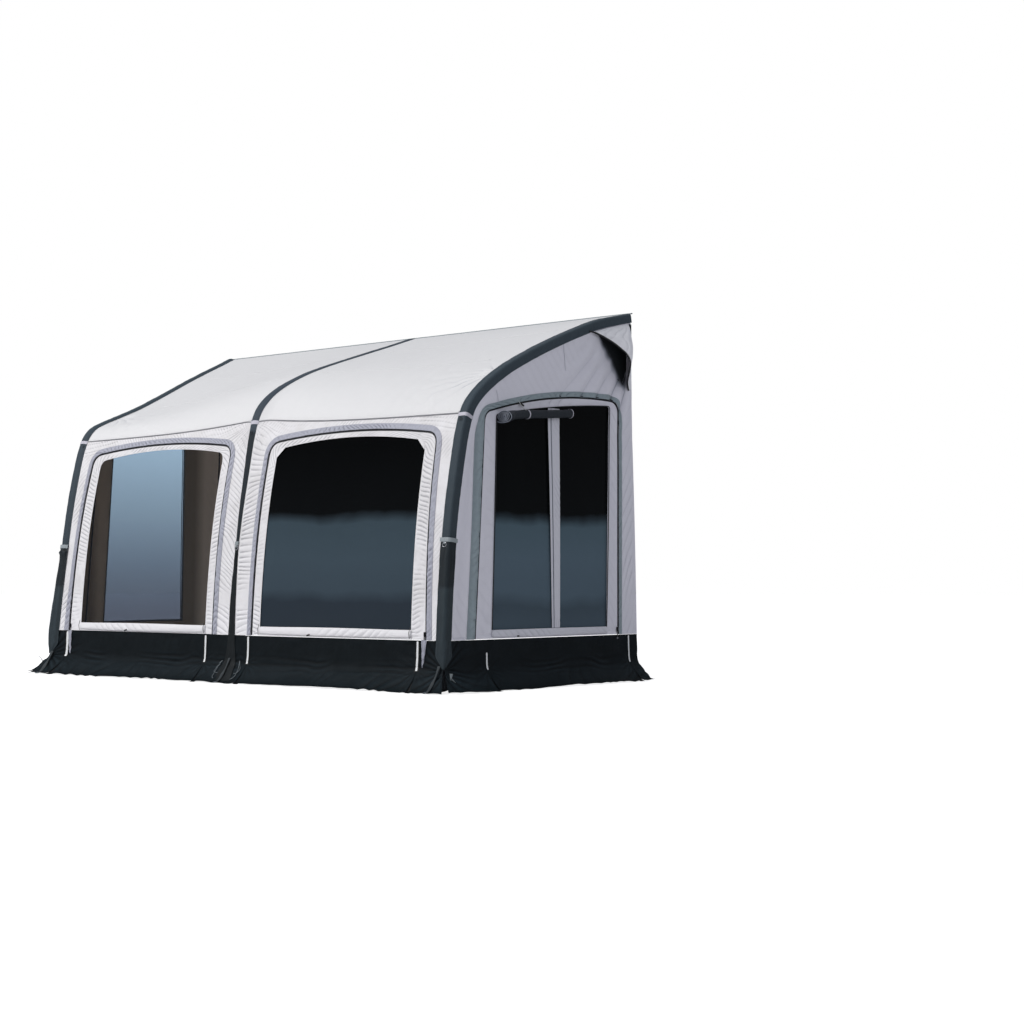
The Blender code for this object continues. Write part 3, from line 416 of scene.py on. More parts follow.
def new_mesh(name, V, quads, mats, tris=None, qmat=None, quv=None, sharp=None, flat=False, raw=False, fold=None):
    """Object from arrays; V is in the frame before the shift along y."""
    V = np.array(V, float) if raw else beam_shift(V, name.startswith("beam_s"))
    if not raw and not name.startswith("beam_s"):
        V = foot_shift(V)
    V[:, 1] += Y0
    quads = np.asarray(quads, np.int64).reshape(-1, 4)
    tris = np.zeros((0, 3), np.int64) if tris is None else np.asarray(tris, np.int64).reshape(-1, 3)
    me = bpy.data.meshes.new(name)
    me.vertices.add(len(V))
    me.vertices.foreach_set("co", V.astype(np.float32).ravel())
    nl = 4 * len(quads) + 3 * len(tris)
    me.loops.add(nl)
    me.loops.foreach_set("vertex_index", np.concatenate([quads.ravel(), tris.ravel()]).astype(np.int32))
    me.polygons.add(len(quads) + len(tris))
    starts = np.concatenate([np.arange(len(quads)) * 4, 4 * len(quads) + np.arange(len(tris)) * 3])
    me.polygons.foreach_set("loop_start", starts.astype(np.int32))
    mats = mats if isinstance(mats, (list, tuple)) else [mats]
    for m in mats:
        me.materials.append(m)
    if qmat is not None:
        idx = np.concatenate([np.asarray(qmat, np.int32), np.zeros(len(tris), np.int32)])
        me.polygons.foreach_set("material_index", idx)
    me.update(calc_edges=True)
    me.validate()
    if quv is not None:
        layer = me.uv_layers.new(name="Cloth")
        uv = np.zeros((nl, 2), np.float32)
        q = np.asarray(quv, np.float32).reshape(-1, 2)
        uv[:len(q)] = q
        layer.data.foreach_set("uv", uv.ravel())
    # painted shade: the fold attribute tells the cloth materials where to paint shade in hollows and a highlight on
    # crests
    if fold is not None:
        at = me.attributes.new("fold", "FLOAT", "POINT")
        at.data.foreach_set("value", np.asarray(fold, np.float32))
    if not flat:
        me.shade_smooth()
        if sharp:
            me.set_sharp_from_angle(angle=math.radians(sharp))
    ob = bpy.data.objects.new(name, me)
    scene.collection.objects.link(ob)
    MADE[name] = ob
    return ob


def grid_normals(P, out, wrap=False):
    if wrap:
        Q = np.concatenate([P[-1:], P, P[:1]], 0)
        di = np.gradient(Q, axis=0)[1:-1]
    else:
        di = np.gradient(P, axis=0)
    dj = np.gradient(P, axis=1)
    n = np.cross(di, dj)
    ln = np.linalg.norm(n, axis=-1, keepdims=True)
    n = np.where(ln > 1e-12, n / np.maximum(ln, 1e-12), 0)
    sg = np.sign(np.sum(n * out, -1, keepdims=True))
    sg[sg == 0] = 1
    return n * sg


def cavity(P, N, wrap, k=2, full=0.0030):
    """How far each point lies below its neighbours, from -1 on a crest to 1 in a fold."""
    c = np.zeros(P.shape[:2])
    if wrap:
        c += np.sum((0.5 * (np.roll(P, k, 0) + np.roll(P, -k, 0)) - P) * N, -1)
    elif P.shape[0] > 2 * k:
        c[k:-k] += np.sum((0.5 * (P[2 * k:] + P[:-2 * k]) - P[k:-k]) * N[k:-k], -1)
    if P.shape[1] > 2 * k + 3:
        c[:, k:-k] += np.sum((0.5 * (P[:, 2 * k:] + P[:, :-2 * k]) - P[:, k:-k]) * N[:, k:-k], -1)
    return np.clip(c / full, -1.0, 1.2)


def shell(name, P, out, th, mats, mask=None, wrap=False, uv=None, sharp=50, normals=None, shade=None, foldk=2):
    """Thin closed cloth: P is the grid of its outer face, out a hint for the outward side."""
    P = np.asarray(P, float)
    ni, nj = P.shape[:2]
    out = np.broadcast_to(np.asarray(out, float), P.shape)
    N = grid_normals(P, out, wrap) if normals is None else normals
    Q = P - N * th
    # painted shade and highlight: how deep each point lies in a hollow, plus any extra painted shade passed in, is
    # stored for the materials
    crease_shade = cavity(P, N, wrap, foldk)
    if shade is not None:
        crease_shade = crease_shade + shade
    crease_shade = np.concatenate([crease_shade.ravel(), -crease_shade.ravel() * 0.5])
    ci, cj = (ni if wrap else ni - 1), nj - 1
    mask = np.ones((ci, cj), bool) if mask is None else np.asarray(mask, bool)
    I, J = np.nonzero(mask)
    I2 = (I + 1) % ni
    a, b, c, d = I * nj + J, I2 * nj + J, I2 * nj + J + 1, I * nj + J + 1
    M = ni * nj
    ua, ub, uc, ud = a, (I + 1) * nj + J, (I + 1) * nj + J + 1, d
    if wrap:
        near = lambda k: np.concatenate([k[1:], k[:1]], 0)
        up, dn = np.roll(mask, -1, 0), np.roll(mask, 1, 0)
    else:
        up = np.concatenate([mask[1:], np.zeros((1, cj), bool)], 0)
        dn = np.concatenate([np.zeros((1, cj), bool), mask[:-1]], 0)
    rt = np.concatenate([mask[:, 1:], np.zeros((ci, 1), bool)], 1)
    lf = np.concatenate([np.zeros((ci, 1), bool), mask[:, :-1]], 1)
    F = [np.stack([a, b, c, d], 1), np.stack([a + M, d + M, c + M, b + M], 1)]
    U = [np.stack([ua, ub, uc, ud], 1), np.stack([ua, ud, uc, ub], 1)]
    mi = [np.zeros(len(a)), np.ones(len(a))]
    for sel, p, q, up_, uq_ in ((~lf[I, J], a, b, ua, ub), (~up[I, J], b, c, ub, uc),
                                (~rt[I, J], c, d, uc, ud), (~dn[I, J], d, a, ud, ua)):
        p, q, x, y = p[sel], q[sel], up_[sel], uq_[sel]
        F.append(np.stack([q, p, p + M, q + M], 1))
        U.append(np.stack([y, x, x, y], 1))
        mi.append(np.zeros(len(p)))
    F, U, mi = np.concatenate(F), np.concatenate(U), np.concatenate(mi)
    V = np.concatenate([P.reshape(-1, 3), Q.reshape(-1, 3)])
    k = len(a) // 2
    sel = slice(max(k - 50, 0), k + 50)
    fn = np.cross(V[b[sel]] - V[a[sel]], V[d[sel]] - V[a[sel]])
    if np.sum(fn * N.reshape(-1, 3)[a[sel]]) < 0:
        F, U = F[:, ::-1], U[:, ::-1]
    used = np.unique(F)
    remap = np.zeros(len(V), np.int64)
    remap[used] = np.arange(len(used))
    quv = None
    if uv is not None:
        quv = np.asarray(uv, float).reshape(-1, 2)[U.ravel()]
    if not isinstance(mats, (list, tuple)):
        mi = None
    return new_mesh(name, V[used], remap[F], mats, qmat=mi, quv=quv, sharp=sharp, fold=crease_shade[used])


def frames(path, up=(0, 0, 1)):
    """Tangent and two side vectors along a path, without twist."""
    path = np.asarray(path, float)
    t = np.gradient(path, axis=0)
    t /= np.maximum(np.linalg.norm(t, axis=1, keepdims=True), 1e-12)
    u = np.asarray(up, float)
    us = []
    for k in t:
        w = u - k * (u @ k)
        if np.linalg.norm(w) < 1e-4:
            w = np.array([1.0, 0.3, 0.2]) - k * (np.array([1.0, 0.3, 0.2]) @ k)
        w /= np.linalg.norm(w)
        us.append(w)
        u = w
    us = np.array(us)
    return t, us, np.cross(t, us)


def tube(name, path, r, mat, sides=12, flat=1.0, closed=False, dome=0.6, up=(0, 0, 1), sharp=None):
    """Round or oval tube along a path, with domed ends."""
    path = np.asarray(path, float)
    r = np.broadcast_to(np.asarray(r, float), (len(path),)).copy()
    if closed:
        ext = np.concatenate([path[-1:], path, path[:1]])
        t = np.gradient(ext, axis=0)[1:-1]
        t /= np.linalg.norm(t, axis=1, keepdims=True)
        _, u, _ = frames(path, up)
        u = np.tile(np.asarray(up, float), (len(path), 1))
        u = u - t * np.sum(u * t, 1, keepdims=True)
        u /= np.maximum(np.linalg.norm(u, axis=1, keepdims=True), 1e-9)
        w = np.cross(t, u)
    else:
        t, u, w = frames(path, up)
        if dome:
            q = np.radians([80, 60, 35])
            pre = [path[0] - t[0] * r[0] * dome * math.sin(k) for k in q]
            post = [path[-1] + t[-1] * r[-1] * dome * math.sin(k) for k in q[::-1]]
            path = np.concatenate([pre, path, post])
            r = np.concatenate([r[0] * np.cos(q), r, r[-1] * np.cos(q[::-1])])
            u = np.concatenate([np.repeat(u[:1], 3, 0), u, np.repeat(u[-1:], 3, 0)])
            w = np.concatenate([np.repeat(w[:1], 3, 0), w, np.repeat(w[-1:], 3, 0)])
    q = 2 * np.pi * np.arange(sides) / sides
    R = path[:, None] + r[:, None, None] * (np.cos(q)[None, :, None] * u[:, None] + flat * np.sin(q)[None, :, None] * w[:, None])
    n = len(path)
    I, J = np.meshgrid(np.arange(n if closed else n - 1), np.arange(sides), indexing="ij")
    I, J = I.ravel(), J.ravel()
    I2, J2 = (I + 1) % n, (J + 1) % sides
    F = np.stack([I * sides + J, I * sides + J2, I2 * sides + J2, I2 * sides + J], 1)
    L = np.concatenate([[0], np.cumsum(np.linalg.norm(np.diff(path, axis=0), axis=1))])
    L = np.append(L, L[-1] + 0.001)
    circ = 2 * np.pi * float(np.mean(r)) / sides
    uv = np.stack([np.stack([J * circ, L[I]], 1), np.stack([(J + 1) * circ, L[I]], 1),
                   np.stack([(J + 1) * circ, L[I + 1]], 1), np.stack([J * circ, L[I + 1]], 1)], 1)
    V = R.reshape(-1, 3)
    tris = None
    if not closed:
        V = np.concatenate([V, path[:1], path[-1:]])
        c0, c1 = n * sides, n * sides + 1
        k = np.arange(sides)
        tris = np.concatenate([np.stack([np.full(sides, c0), (k + 1) % sides, k], 1),
                               np.stack([np.full(sides, c1), (n - 1) * sides + k, (n - 1) * sides + (k + 1) % sides], 1)])
    A = V[F[:, 1]] - V[F[:, 0]]
    B = V[F[:, 3]] - V[F[:, 0]]
    outw = V[F[:, 0]] - path[I]
    if np.sum(np.cross(A, B) * outw) < 0:
        F, uv = F[:, ::-1], uv[:, ::-1]
        tris = None if tris is None else tris[:, ::-1]
    return new_mesh(name, V, F, mat, tris=tris, quv=uv.reshape(-1, 2), sharp=sharp)


def join(name, objs):
    """One piece from several meshes."""
    V, Q, T, QM, UV, mats, off = [], [], [], [], [], [], 0
    for o in objs:
        me = o.data
        co = np.zeros(len(me.vertices) * 3, np.float32)
        me.vertices.foreach_get("co", co)
        co = co.reshape(-1, 3).astype(float)
        co[:, 1] -= Y0
        V.append(co)
        base = []
        for m in me.materials:
            if m not in mats:
                mats.append(m)
            base.append(mats.index(m))
        tot = np.zeros(len(me.polygons), np.int32)
        me.polygons.foreach_get("loop_total", tot)
        st = np.zeros(len(me.polygons), np.int32)
        me.polygons.foreach_get("loop_start", st)
        mi = np.zeros(len(me.polygons), np.int32)
        me.polygons.foreach_get("material_index", mi)
        vi = np.zeros(len(me.loops), np.int32)
        me.loops.foreach_get("vertex_index", vi)
        uv = np.zeros(len(me.loops) * 2, np.float32)
        if me.uv_layers:
            me.uv_layers[0].data.foreach_get("uv", uv)
        uv = uv.reshape(-1, 2)
        q = tot == 4
        li = st[q][:, None] + np.arange(4)
        Q.append(vi[li] + off)
        UV.append(uv[li].reshape(-1, 2))
        QM.append(np.array(base)[mi[q]] if len(base) else mi[q])
        li = st[tot == 3][:, None] + np.arange(3)
        T.append(vi[li] + off)
        off += len(co)
        bpy.data.objects.remove(o)
        bpy.data.meshes.remove(me)
    for k in [k for k, o in MADE.items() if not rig.alive(o)]:
        del MADE[k]
    return new_mesh(name, np.concatenate(V), np.concatenate(Q), mats, tris=np.concatenate(T),
                    qmat=np.concatenate(QM), quv=np.concatenate(UV), sharp=50, raw=True)


# ===================================================================== materials
def nodes_of(name):
    m = bpy.data.materials.new(name)
    m.use_nodes = True
    nt = m.node_tree
    nt.nodes.clear()
    out = nt.nodes.new("ShaderNodeOutputMaterial")
    return m, nt, out


def link(nt, a, b):
    nt.links.new(a, b)


def node(nt, kind, **kw):
    n = nt.nodes.new(kind)
    for k, v in kw.items():
        setattr(n, k, v)
    return n


def mul(c, k):
    return tuple(min(1.0, x * k) for x in c)


def rgba(c):
    return (c[0], c[1], c[2], 1.0)


def mix_rgb(nt, fac, a, b, mode="MIX"):
    m = node(nt, "ShaderNodeMix", data_type="RGBA", blend_type=mode)
    for sock, val in ((m.inputs[0], fac), (m.inputs[6], a), (m.inputs[7], b)):
        if hasattr(val, "is_linked") or hasattr(val, "links"):
            link(nt, val, sock)
        else:
            sock.default_value = val if not isinstance(val, tuple) else rgba(val)
    return m.outputs[2]


def ramp(nt, fac, stops):
    r = node(nt, "ShaderNodeValToRGB")
    el = r.color_ramp.elements
    while len(el) > 1:
        el.remove(el[0])
    for k, (pos, col) in enumerate(stops):
        e = el[0] if k == 0 else el.new(pos)
        e.position = pos
        e.color = rgba(col) if len(col) == 3 else col
    link(nt, fac, r.inputs[0])
    return r.outputs[0]


def object_noise(nt, scale, detail=4, rough=0.55, stretch=(1, 1, 1), kind="FBM", dist=0.0):
    tc = node(nt, "ShaderNodeTexCoord")
    mp = node(nt, "ShaderNodeMapping")
    mp.inputs["Scale"].default_value = stretch
    link(nt, tc.outputs["Object"], mp.inputs[0])
    n = node(nt, "ShaderNodeTexNoise")
    n.noise_type = kind
    n.inputs["Scale"].default_value = scale
    n.inputs["Detail"].default_value = detail
    n.inputs["Roughness"].default_value = rough
    n.inputs["Distortion"].default_value = dist
    link(nt, mp.outputs[0], n.inputs["Vector"])
    return n.outputs[0]


def weave_height(nt, lam):
    """Plain weave of thread spacing lam, on the cloth's own flat measure."""
    uvn = node(nt, "ShaderNodeUVMap", uv_map="Cloth")
    out = []
    for axis in ("X", "Y"):
        w = node(nt, "ShaderNodeTexWave", wave_type="BANDS", bands_direction=axis, wave_profile="SIN")
        w.inputs["Scale"].default_value = 0.314159 / lam
        w.inputs["Distortion"].default_value = 0.0
        link(nt, uvn.outputs[0], w.inputs["Vector"])
        out.append(w.outputs[1])
    ch = node(nt, "ShaderNodeTexChecker")
    ch.inputs["Scale"].default_value = 1.0 / lam
    link(nt, uvn.outputs[0], ch.inputs["Vector"])
    m = node(nt, "ShaderNodeMix", data_type="FLOAT")
    link(nt, ch.outputs[1], m.inputs[0])
    link(nt, out[0], m.inputs[2])
    link(nt, out[1], m.inputs[3])
    return m.outputs[0]


def bump_node(nt, height, strength, distance, normal=None):
    b = node(nt, "ShaderNodeBump")
    b.inputs["Strength"].default_value = strength
    b.inputs["Distance"].default_value = distance
    link(nt, height, b.inputs["Height"])
    if normal is not None:
        link(nt, normal, b.inputs["Normal"])
    return b.outputs[0]


def fabric(name, colour, rough=0.75, vary=0.06, weave=0.0020, weave_depth=0.35, crumple=0.25,
           crumple_scale=16.0, sheen=0.0, spec=0.3, shade=None, dust=None, streak=None, coat=0.0,
           rough_vary=0.08, folds=0.20, crest=0.05, yramp=None):
    """Woven coated cloth: colour mottling, weave, small creases, optional dust that fades in over a range of height, an
    optional ramp along one axis that multiplies the colour (painted shade on some cloths), and painted shade in hollows
    with a painted highlight on crests, read from the fold attribute, down to near black for painted shadow.
    """
    m, nt, out = nodes_of(name)
    p = node(nt, "ShaderNodeBsdfPrincipled")
    link(nt, p.outputs[0], out.inputs[0])
    big = object_noise(nt, 2.3, 5, 0.6)
    small = object_noise(nt, 34.0, 3, 0.6)
    shade = shade or mul(colour, 1 - 2.2 * vary)
    c = ramp(nt, big, [(0.30, mul(colour, 1 - vary)), (0.55, colour), (0.75, mul(colour, 1 + vary))])
    c2 = ramp(nt, small, [(0.35, mul(colour, 1 - vary)), (0.6, mul(colour, 1 + 0.5 * vary))])
    c = mix_rgb(nt, 0.4, c, c2)
    wv = weave_height(nt, weave)
    thread = ramp(nt, wv, [(0.0, (0.82, 0.82, 0.82)), (0.6, (1, 1, 1))])
    c = mix_rgb(nt, 0.30, c, thread, "MULTIPLY")
    if streak:
        s = object_noise(nt, 1.0, 4, 0.6, stretch=streak[1])
        sc = ramp(nt, s, [(0.45, (1, 1, 1)), (0.72, streak[0])])
        c = mix_rgb(nt, 0.6, c, sc, "MULTIPLY")
    if dust:
        tc = node(nt, "ShaderNodeTexCoord")
        sep = node(nt, "ShaderNodeSeparateXYZ")
        link(nt, tc.outputs["Object"], sep.inputs[0])
        mr = node(nt, "ShaderNodeMapRange")
        mr.inputs["From Min"].default_value = dust[2]
        mr.inputs["From Max"].default_value = dust[1]
        link(nt, sep.outputs[2], mr.inputs[0])
        dn = object_noise(nt, 7.0, 6, 0.65)
        mm = node(nt, "ShaderNodeMath", operation="MULTIPLY")
        link(nt, mr.outputs[0], mm.inputs[0])
        link(nt, dn, mm.inputs[1])
        fac = ramp(nt, mm.outputs[0], [(0.18, (0, 0, 0)), (0.75, (dust[3],) * 3)])
        c = mix_rgb(nt, fac, c, dust[0])
    # painted shade: the colour is multiplied by a ramp along one axis of the piece
    if yramp:
        tc = node(nt, "ShaderNodeTexCoord")
        sep = node(nt, "ShaderNodeSeparateXYZ")
        link(nt, tc.outputs["Object"], sep.inputs[0])
        mr = node(nt, "ShaderNodeMapRange")
        mr.inputs["From Min"].default_value = yramp[0]
        mr.inputs["From Max"].default_value = yramp[1]
        link(nt, sep.outputs[yramp[3] if len(yramp) > 3 else 1], mr.inputs[0])
        c = mix_rgb(nt, 1.0, c, ramp(nt, mr.outputs[0], yramp[2]), "MULTIPLY")
    # painted shade in hollows and painted highlight on crests from the fold attribute; values above 1 give painted
    # shadow down to near black
    if folds:
        at = node(nt, "ShaderNodeAttribute", attribute_name="fold")
        mr = node(nt, "ShaderNodeMapRange")
        mr.inputs["From Min"].default_value = -1.0
        mr.inputs["From Max"].default_value = 3.0
        link(nt, at.outputs["Fac"], mr.inputs[0])
        k_, c_ = 1 - folds, 1 - crest
        painted_crease_shade = ramp(nt, mr.outputs[0], [(0.0, (1.0, 1.0, 1.0)), (0.25, (c_, c_, c_)), (0.5, (c_ * k_ * 0.985, c_ * k_ * 0.985, c_ * k_)),
                                         (0.62, (c_ * k_ * 0.60, c_ * k_ * 0.62, c_ * k_ * 0.66)), (0.76, (0.25, 0.265, 0.285)), (0.90, (0.055, 0.060, 0.068)), (1.0, (0.010, 0.012, 0.014))])
        c = mix_rgb(nt, 1.0, c, painted_crease_shade, "MULTIPLY")
    link(nt, c, p.inputs["Base Color"])
    rr = object_noise(nt, 9.0, 4, 0.6)
    mr = node(nt, "ShaderNodeMapRange")
    mr.inputs["To Min"].default_value = rough - rough_vary
    mr.inputs["To Max"].default_value = min(1.0, rough + rough_vary)
    link(nt, rr, mr.inputs[0])
    link(nt, mr.outputs[0], p.inputs["Roughness"])
    p.inputs["Specular IOR Level"].default_value = spec
    if sheen:
        p.inputs["Sheen Weight"].default_value = sheen
        p.inputs["Sheen Roughness"].default_value = 0.4
    if coat:
        p.inputs["Coat Weight"].default_value = coat
        p.inputs["Coat Roughness"].default_value = 0.28
    crease = object_noise(nt, crumple_scale, 5, 0.55, kind="RIDGED_MULTIFRACTAL" if crumple < 0 else "FBM", dist=0.6)
    nrm = bump_node(nt, crease, abs(crumple), 0.010)
    nrm = bump_node(nt, wv, weave_depth, 0.0006, nrm)
    link(nt, nrm, p.inputs["Normal"])
    return m


def plain(name, colour, rough=0.4, metal=0.0, spec=0.5, noise_scale=60.0, vary=0.12, depth=0.15):
    """Moulded plastic or metal with fine grain and colour variation."""
    m, nt, out = nodes_of(name)
    p = node(nt, "ShaderNodeBsdfPrincipled")
    link(nt, p.outputs[0], out.inputs[0])
    n = object_noise(nt, noise_scale, 5, 0.6)
    c = ramp(nt, n, [(0.3, mul(colour, 1 - vary)), (0.7, mul(colour, 1 + vary))])
    link(nt, c, p.inputs["Base Color"])
    mr = node(nt, "ShaderNodeMapRange")
    mr.inputs["To Min"].default_value = max(0.05, rough - 0.1)
    mr.inputs["To Max"].default_value = min(1.0, rough + 0.1)
    link(nt, n, mr.inputs[0])
    link(nt, mr.outputs[0], p.inputs["Roughness"])
    p.inputs["Metallic"].default_value = metal
    p.inputs["Specular IOR Level"].default_value = spec
    link(nt, bump_node(nt, n, depth, 0.0008), p.inputs["Normal"])
    return m


def film(name, top, bottom, alpha, z0, z1, rough=0.10, spec=0.35, ripple=0.12):
    """Clear film with a painted colour that changes with height, standing in for the shade and light that show through
    it, with faint ripples and smears.
    """
    m, nt, out = nodes_of(name)
    p = node(nt, "ShaderNodeBsdfPrincipled")
    link(nt, p.outputs[0], out.inputs[0])
    tc = node(nt, "ShaderNodeTexCoord")
    sep = node(nt, "ShaderNodeSeparateXYZ")
    link(nt, tc.outputs["Object"], sep.inputs[0])
    mr = node(nt, "ShaderNodeMapRange")
    mr.inputs["From Min"].default_value = z0
    mr.inputs["From Max"].default_value = z1
    link(nt, sep.outputs[2], mr.inputs[0])
    wob = object_noise(nt, 2.0, 3, 0.5)
    add = node(nt, "ShaderNodeMath", operation="MULTIPLY_ADD")
    link(nt, wob, add.inputs[0])
    add.inputs[1].default_value = 0.10
    link(nt, mr.outputs[0], add.inputs[2])
    stops = []
    if top is None:
        stops = bottom
    for k in range(0 if top is None else 5):
        u = k / 4
        stops.append((0.05 + 0.9 * u, tuple(bottom[i] + (top[i] - bottom[i]) * (u ** 1.2) for i in range(3))))
    c = ramp(nt, add.outputs[0], stops)
    link(nt, c, p.inputs["Base Color"])
    smear = object_noise(nt, 5.0, 6, 0.7, stretch=(1, 1, 0.25))
    r2 = node(nt, "ShaderNodeMapRange")
    r2.inputs["To Min"].default_value = rough * 0.7
    r2.inputs["To Max"].default_value = rough * 1.7
    link(nt, smear, r2.inputs[0])
    link(nt, r2.outputs[0], p.inputs["Roughness"])
    p.inputs["Alpha"].default_value = alpha
    p.inputs["Specular IOR Level"].default_value = spec
    rip = object_noise(nt, 3.2, 3, 0.5, stretch=(1, 1, 2.4), dist=0.4)
    link(nt, bump_node(nt, rip, ripple, 0.03), p.inputs["Normal"])
    return m


M_ROOF = fabric("roof_cloth", lin(223, 223, 225), 0.62, 0.016, crumple=0.08, crumple_scale=6, spec=0.35, folds=0.05, crest=0.02)
# painted shade: the side walls take a darker, bluer copy of the front wall's cloth
M_SIDE = fabric("side_wall_cloth", lin(226, 225, 236), 0.66, 0.024, crumple=0.20, crumple_scale=10, spec=0.32, folds=0.16, crest=0.05)
# painted light: the hood takes a lighter copy of the side wall's cloth
M_HOOD = fabric("hood_cloth", lin(240, 240, 246), 0.62, 0.03, crumple=0.25, crumple_scale=12, spec=0.32, folds=0.16, crest=0.04)
# painted shade: the inner face of the side walls is darkened at the front strip and in a band behind the door
M_INNER_SIDE = fabric("inner_coating_side", lin(176, 162, 148), 0.8, 0.05, crumple=0.12,
                      yramp=(-0.85, 1.05, [(0.0, (0.35, 0.33, 0.32)), (0.16, (0.40, 0.38, 0.36)), (0.20, (0.8, 0.78, 0.74)), (0.30, (0.8, 0.78, 0.74)),
                                           (0.66, (0.42, 0.41, 0.38)), (0.74, (0.42, 0.41, 0.38)), (0.80, (1.0, 1.0, 1.0)), (1.0, (1.0, 1.0, 1.0))]))
M_WALL = fabric("wall_cloth", lin(235, 234, 238), 0.66, 0.026, crumple=0.20, crumple_scale=15, spec=0.32, folds=0.27, crest=0.03,
                dust=(lin(150, 145, 138), 0.62, 0.30, 0.30))
M_INNER = fabric("inner_coating", lin(176, 162, 150), 0.8, 0.05, crumple=0.12)
# painted shade: the side bands are darkened down their upright legs, from the bend to the cross tape
M_BAND = fabric("band_cloth", lin(58, 70, 79), 0.62, 0.07, weave=0.0026, weave_depth=0.45, crumple=0.14, crumple_scale=22, spec=0.25,
                yramp=(0.90, 1.90, [(0.0, (0.80, 0.80, 0.80)), (0.45, (0.88, 0.88, 0.88)), (0.82, (0.92, 0.92, 0.92)), (0.90, (1, 1, 1))], 2))
M_LEG_C = fabric("leg_cover_centre_cloth", lin(20, 27, 31), 0.6, 0.08, folds=0.3, crest=0.3, weave=0.0022, crumple=0.30, crumple_scale=20, spec=0.2)
M_LEG = fabric("leg_cover_cloth", lin(52, 64, 71), 0.6, 0.08, folds=0.4, crest=0.3,
               yramp=(0.30, 0.95, [(0.0, (0.85, 0.86, 0.87)), (0.50, (0.90, 0.90, 0.90)), (0.535, (0.40, 0.42, 0.44)), (1.0, (0.42, 0.43, 0.45))], 2), weave=0.0022, crumple=0.30, crumple_scale=20, spec=0.25)
# painted shade: the centre band is darkened below the eave, where it lies recessed between the bulging walls
M_BAND_C = fabric("band_cloth_dark", lin(62, 72, 82), 0.62, 0.07, weave=0.0026, weave_depth=0.45, crumple=0.14, crumple_scale=22, spec=0.22,
                  yramp=(0.90, 1.90, [(0.0, (0.26, 0.28, 0.28)), (0.77, (0.30, 0.32, 0.32)), (0.80, (0.95, 0.95, 0.95)), (1.0, (1, 1, 1))], 2))
# painted shade: the upright part of the skirt is darkened to about half, the flap turned out onto the ground stays
# lighter
M_SKIRT = fabric("skirt_cloth", lin(20, 32, 38), 0.60, 0.10, folds=0.35, crest=0.38, weave=0.0024, crumple=0.35, crumple_scale=9, spec=0.10,
                 yramp=(0.0, 0.35, [(0.0, (1.0, 1.0, 1.0)), (0.28, (0.90, 0.90, 0.90)), (0.45, (0.52, 0.53, 0.54)), (1.0, (0.46, 0.48, 0.49))], 2),
                 dust=(lin(52, 62, 70), 0.06, 0.00, 0.35))
M_COVER_F = fabric("rain_strip_cloth", lin(172, 174, 188), 0.5, 0.06, folds=0.30, crest=0.12, crumple=0.35, crumple_scale=26, spec=0.4, sheen=0.1)
# painted shade: the side rain strips take a darker copy of the rain strip cloth
M_COVER_S = fabric("rain_strip_grey", lin(150, 164, 172), 0.5, 0.07, folds=0.32, crest=0.15, crumple=0.35, crumple_scale=24, spec=0.4, sheen=0.1)
M_ZIP = fabric("zip_tape_black", lin(10, 12, 22), 0.55, 0.10, weave=0.0012, crumple=0.1, spec=0.35)
M_COIL = plain("zip_coil", lin(12, 13, 24), 0.35, 0.0, 0.5)
M_PIPING = plain("black_piping", lin(12, 14, 20), 0.42, 0.0, 0.45)
M_STEEL = plain("ring_steel_new", lin(168, 170, 176), 0.32, 1.0, 0.5)
M_DARKMETAL = plain("slider_enamel", lin(26, 27, 32), 0.35, 0.6, 0.5)
M_BEAM = fabric("beam_sleeve_cloth", lin(70, 74, 80), 0.72, 0.06, weave=0.0024, crumple=0.2, crumple_scale=18)
M_NET = fabric("vent_net", lin(20, 25, 30), 0.85, 0.1, weave=0.0030, weave_depth=0.8, crumple=0.05)
M_LINER = fabric("hood_liner", lin(26, 32, 40), 0.8, 0.08, crumple=0.2)
M_WEB = fabric("webbing_grey", lin(150, 158, 162), 0.7, 0.08, weave=0.0030, weave_depth=0.7, crumple=0.1)
M_TAPE = fabric("tape_light", lin(196, 194, 206), 0.55, 0.06, weave=0.0020, weave_depth=0.6, crumple=0.15)
M_TAPE2 = fabric("tape_grey", lin(150, 158, 163), 0.6, 0.06, weave=0.0020, weave_depth=0.6, crumple=0.15)
M_BLIND = fabric("blind_dark", lin(30, 36, 44), 0.6, 0.1, crumple=0.3, crumple_scale=20)
M_BLIND_IN = fabric("blind_back", lin(118, 124, 134), 0.6, 0.06, crumple=0.2)
M_BLIND_EDGE = fabric("blind_edge", lin(150, 156, 168), 0.6, 0.12, crumple=0.2)
M_REFLECT = fabric("reflective_strip", lin(236, 238, 240), 0.35, 0.02, weave=0.0016, crumple=0.1, spec=0.6)
M_SEAM = fabric("seam_tape", lin(176, 176, 182), 0.6, 0.04, weave=0.0014, crumple=0.1)
M_EAVE = fabric("eave_piping", lin(150, 148, 156), 0.6, 0.05, weave=0.0012, crumple=0.1)
M_EAVE_DARK = fabric("eave_piping_grey", lin(132, 132, 140), 0.6, 0.05, weave=0.0012, crumple=0.1)
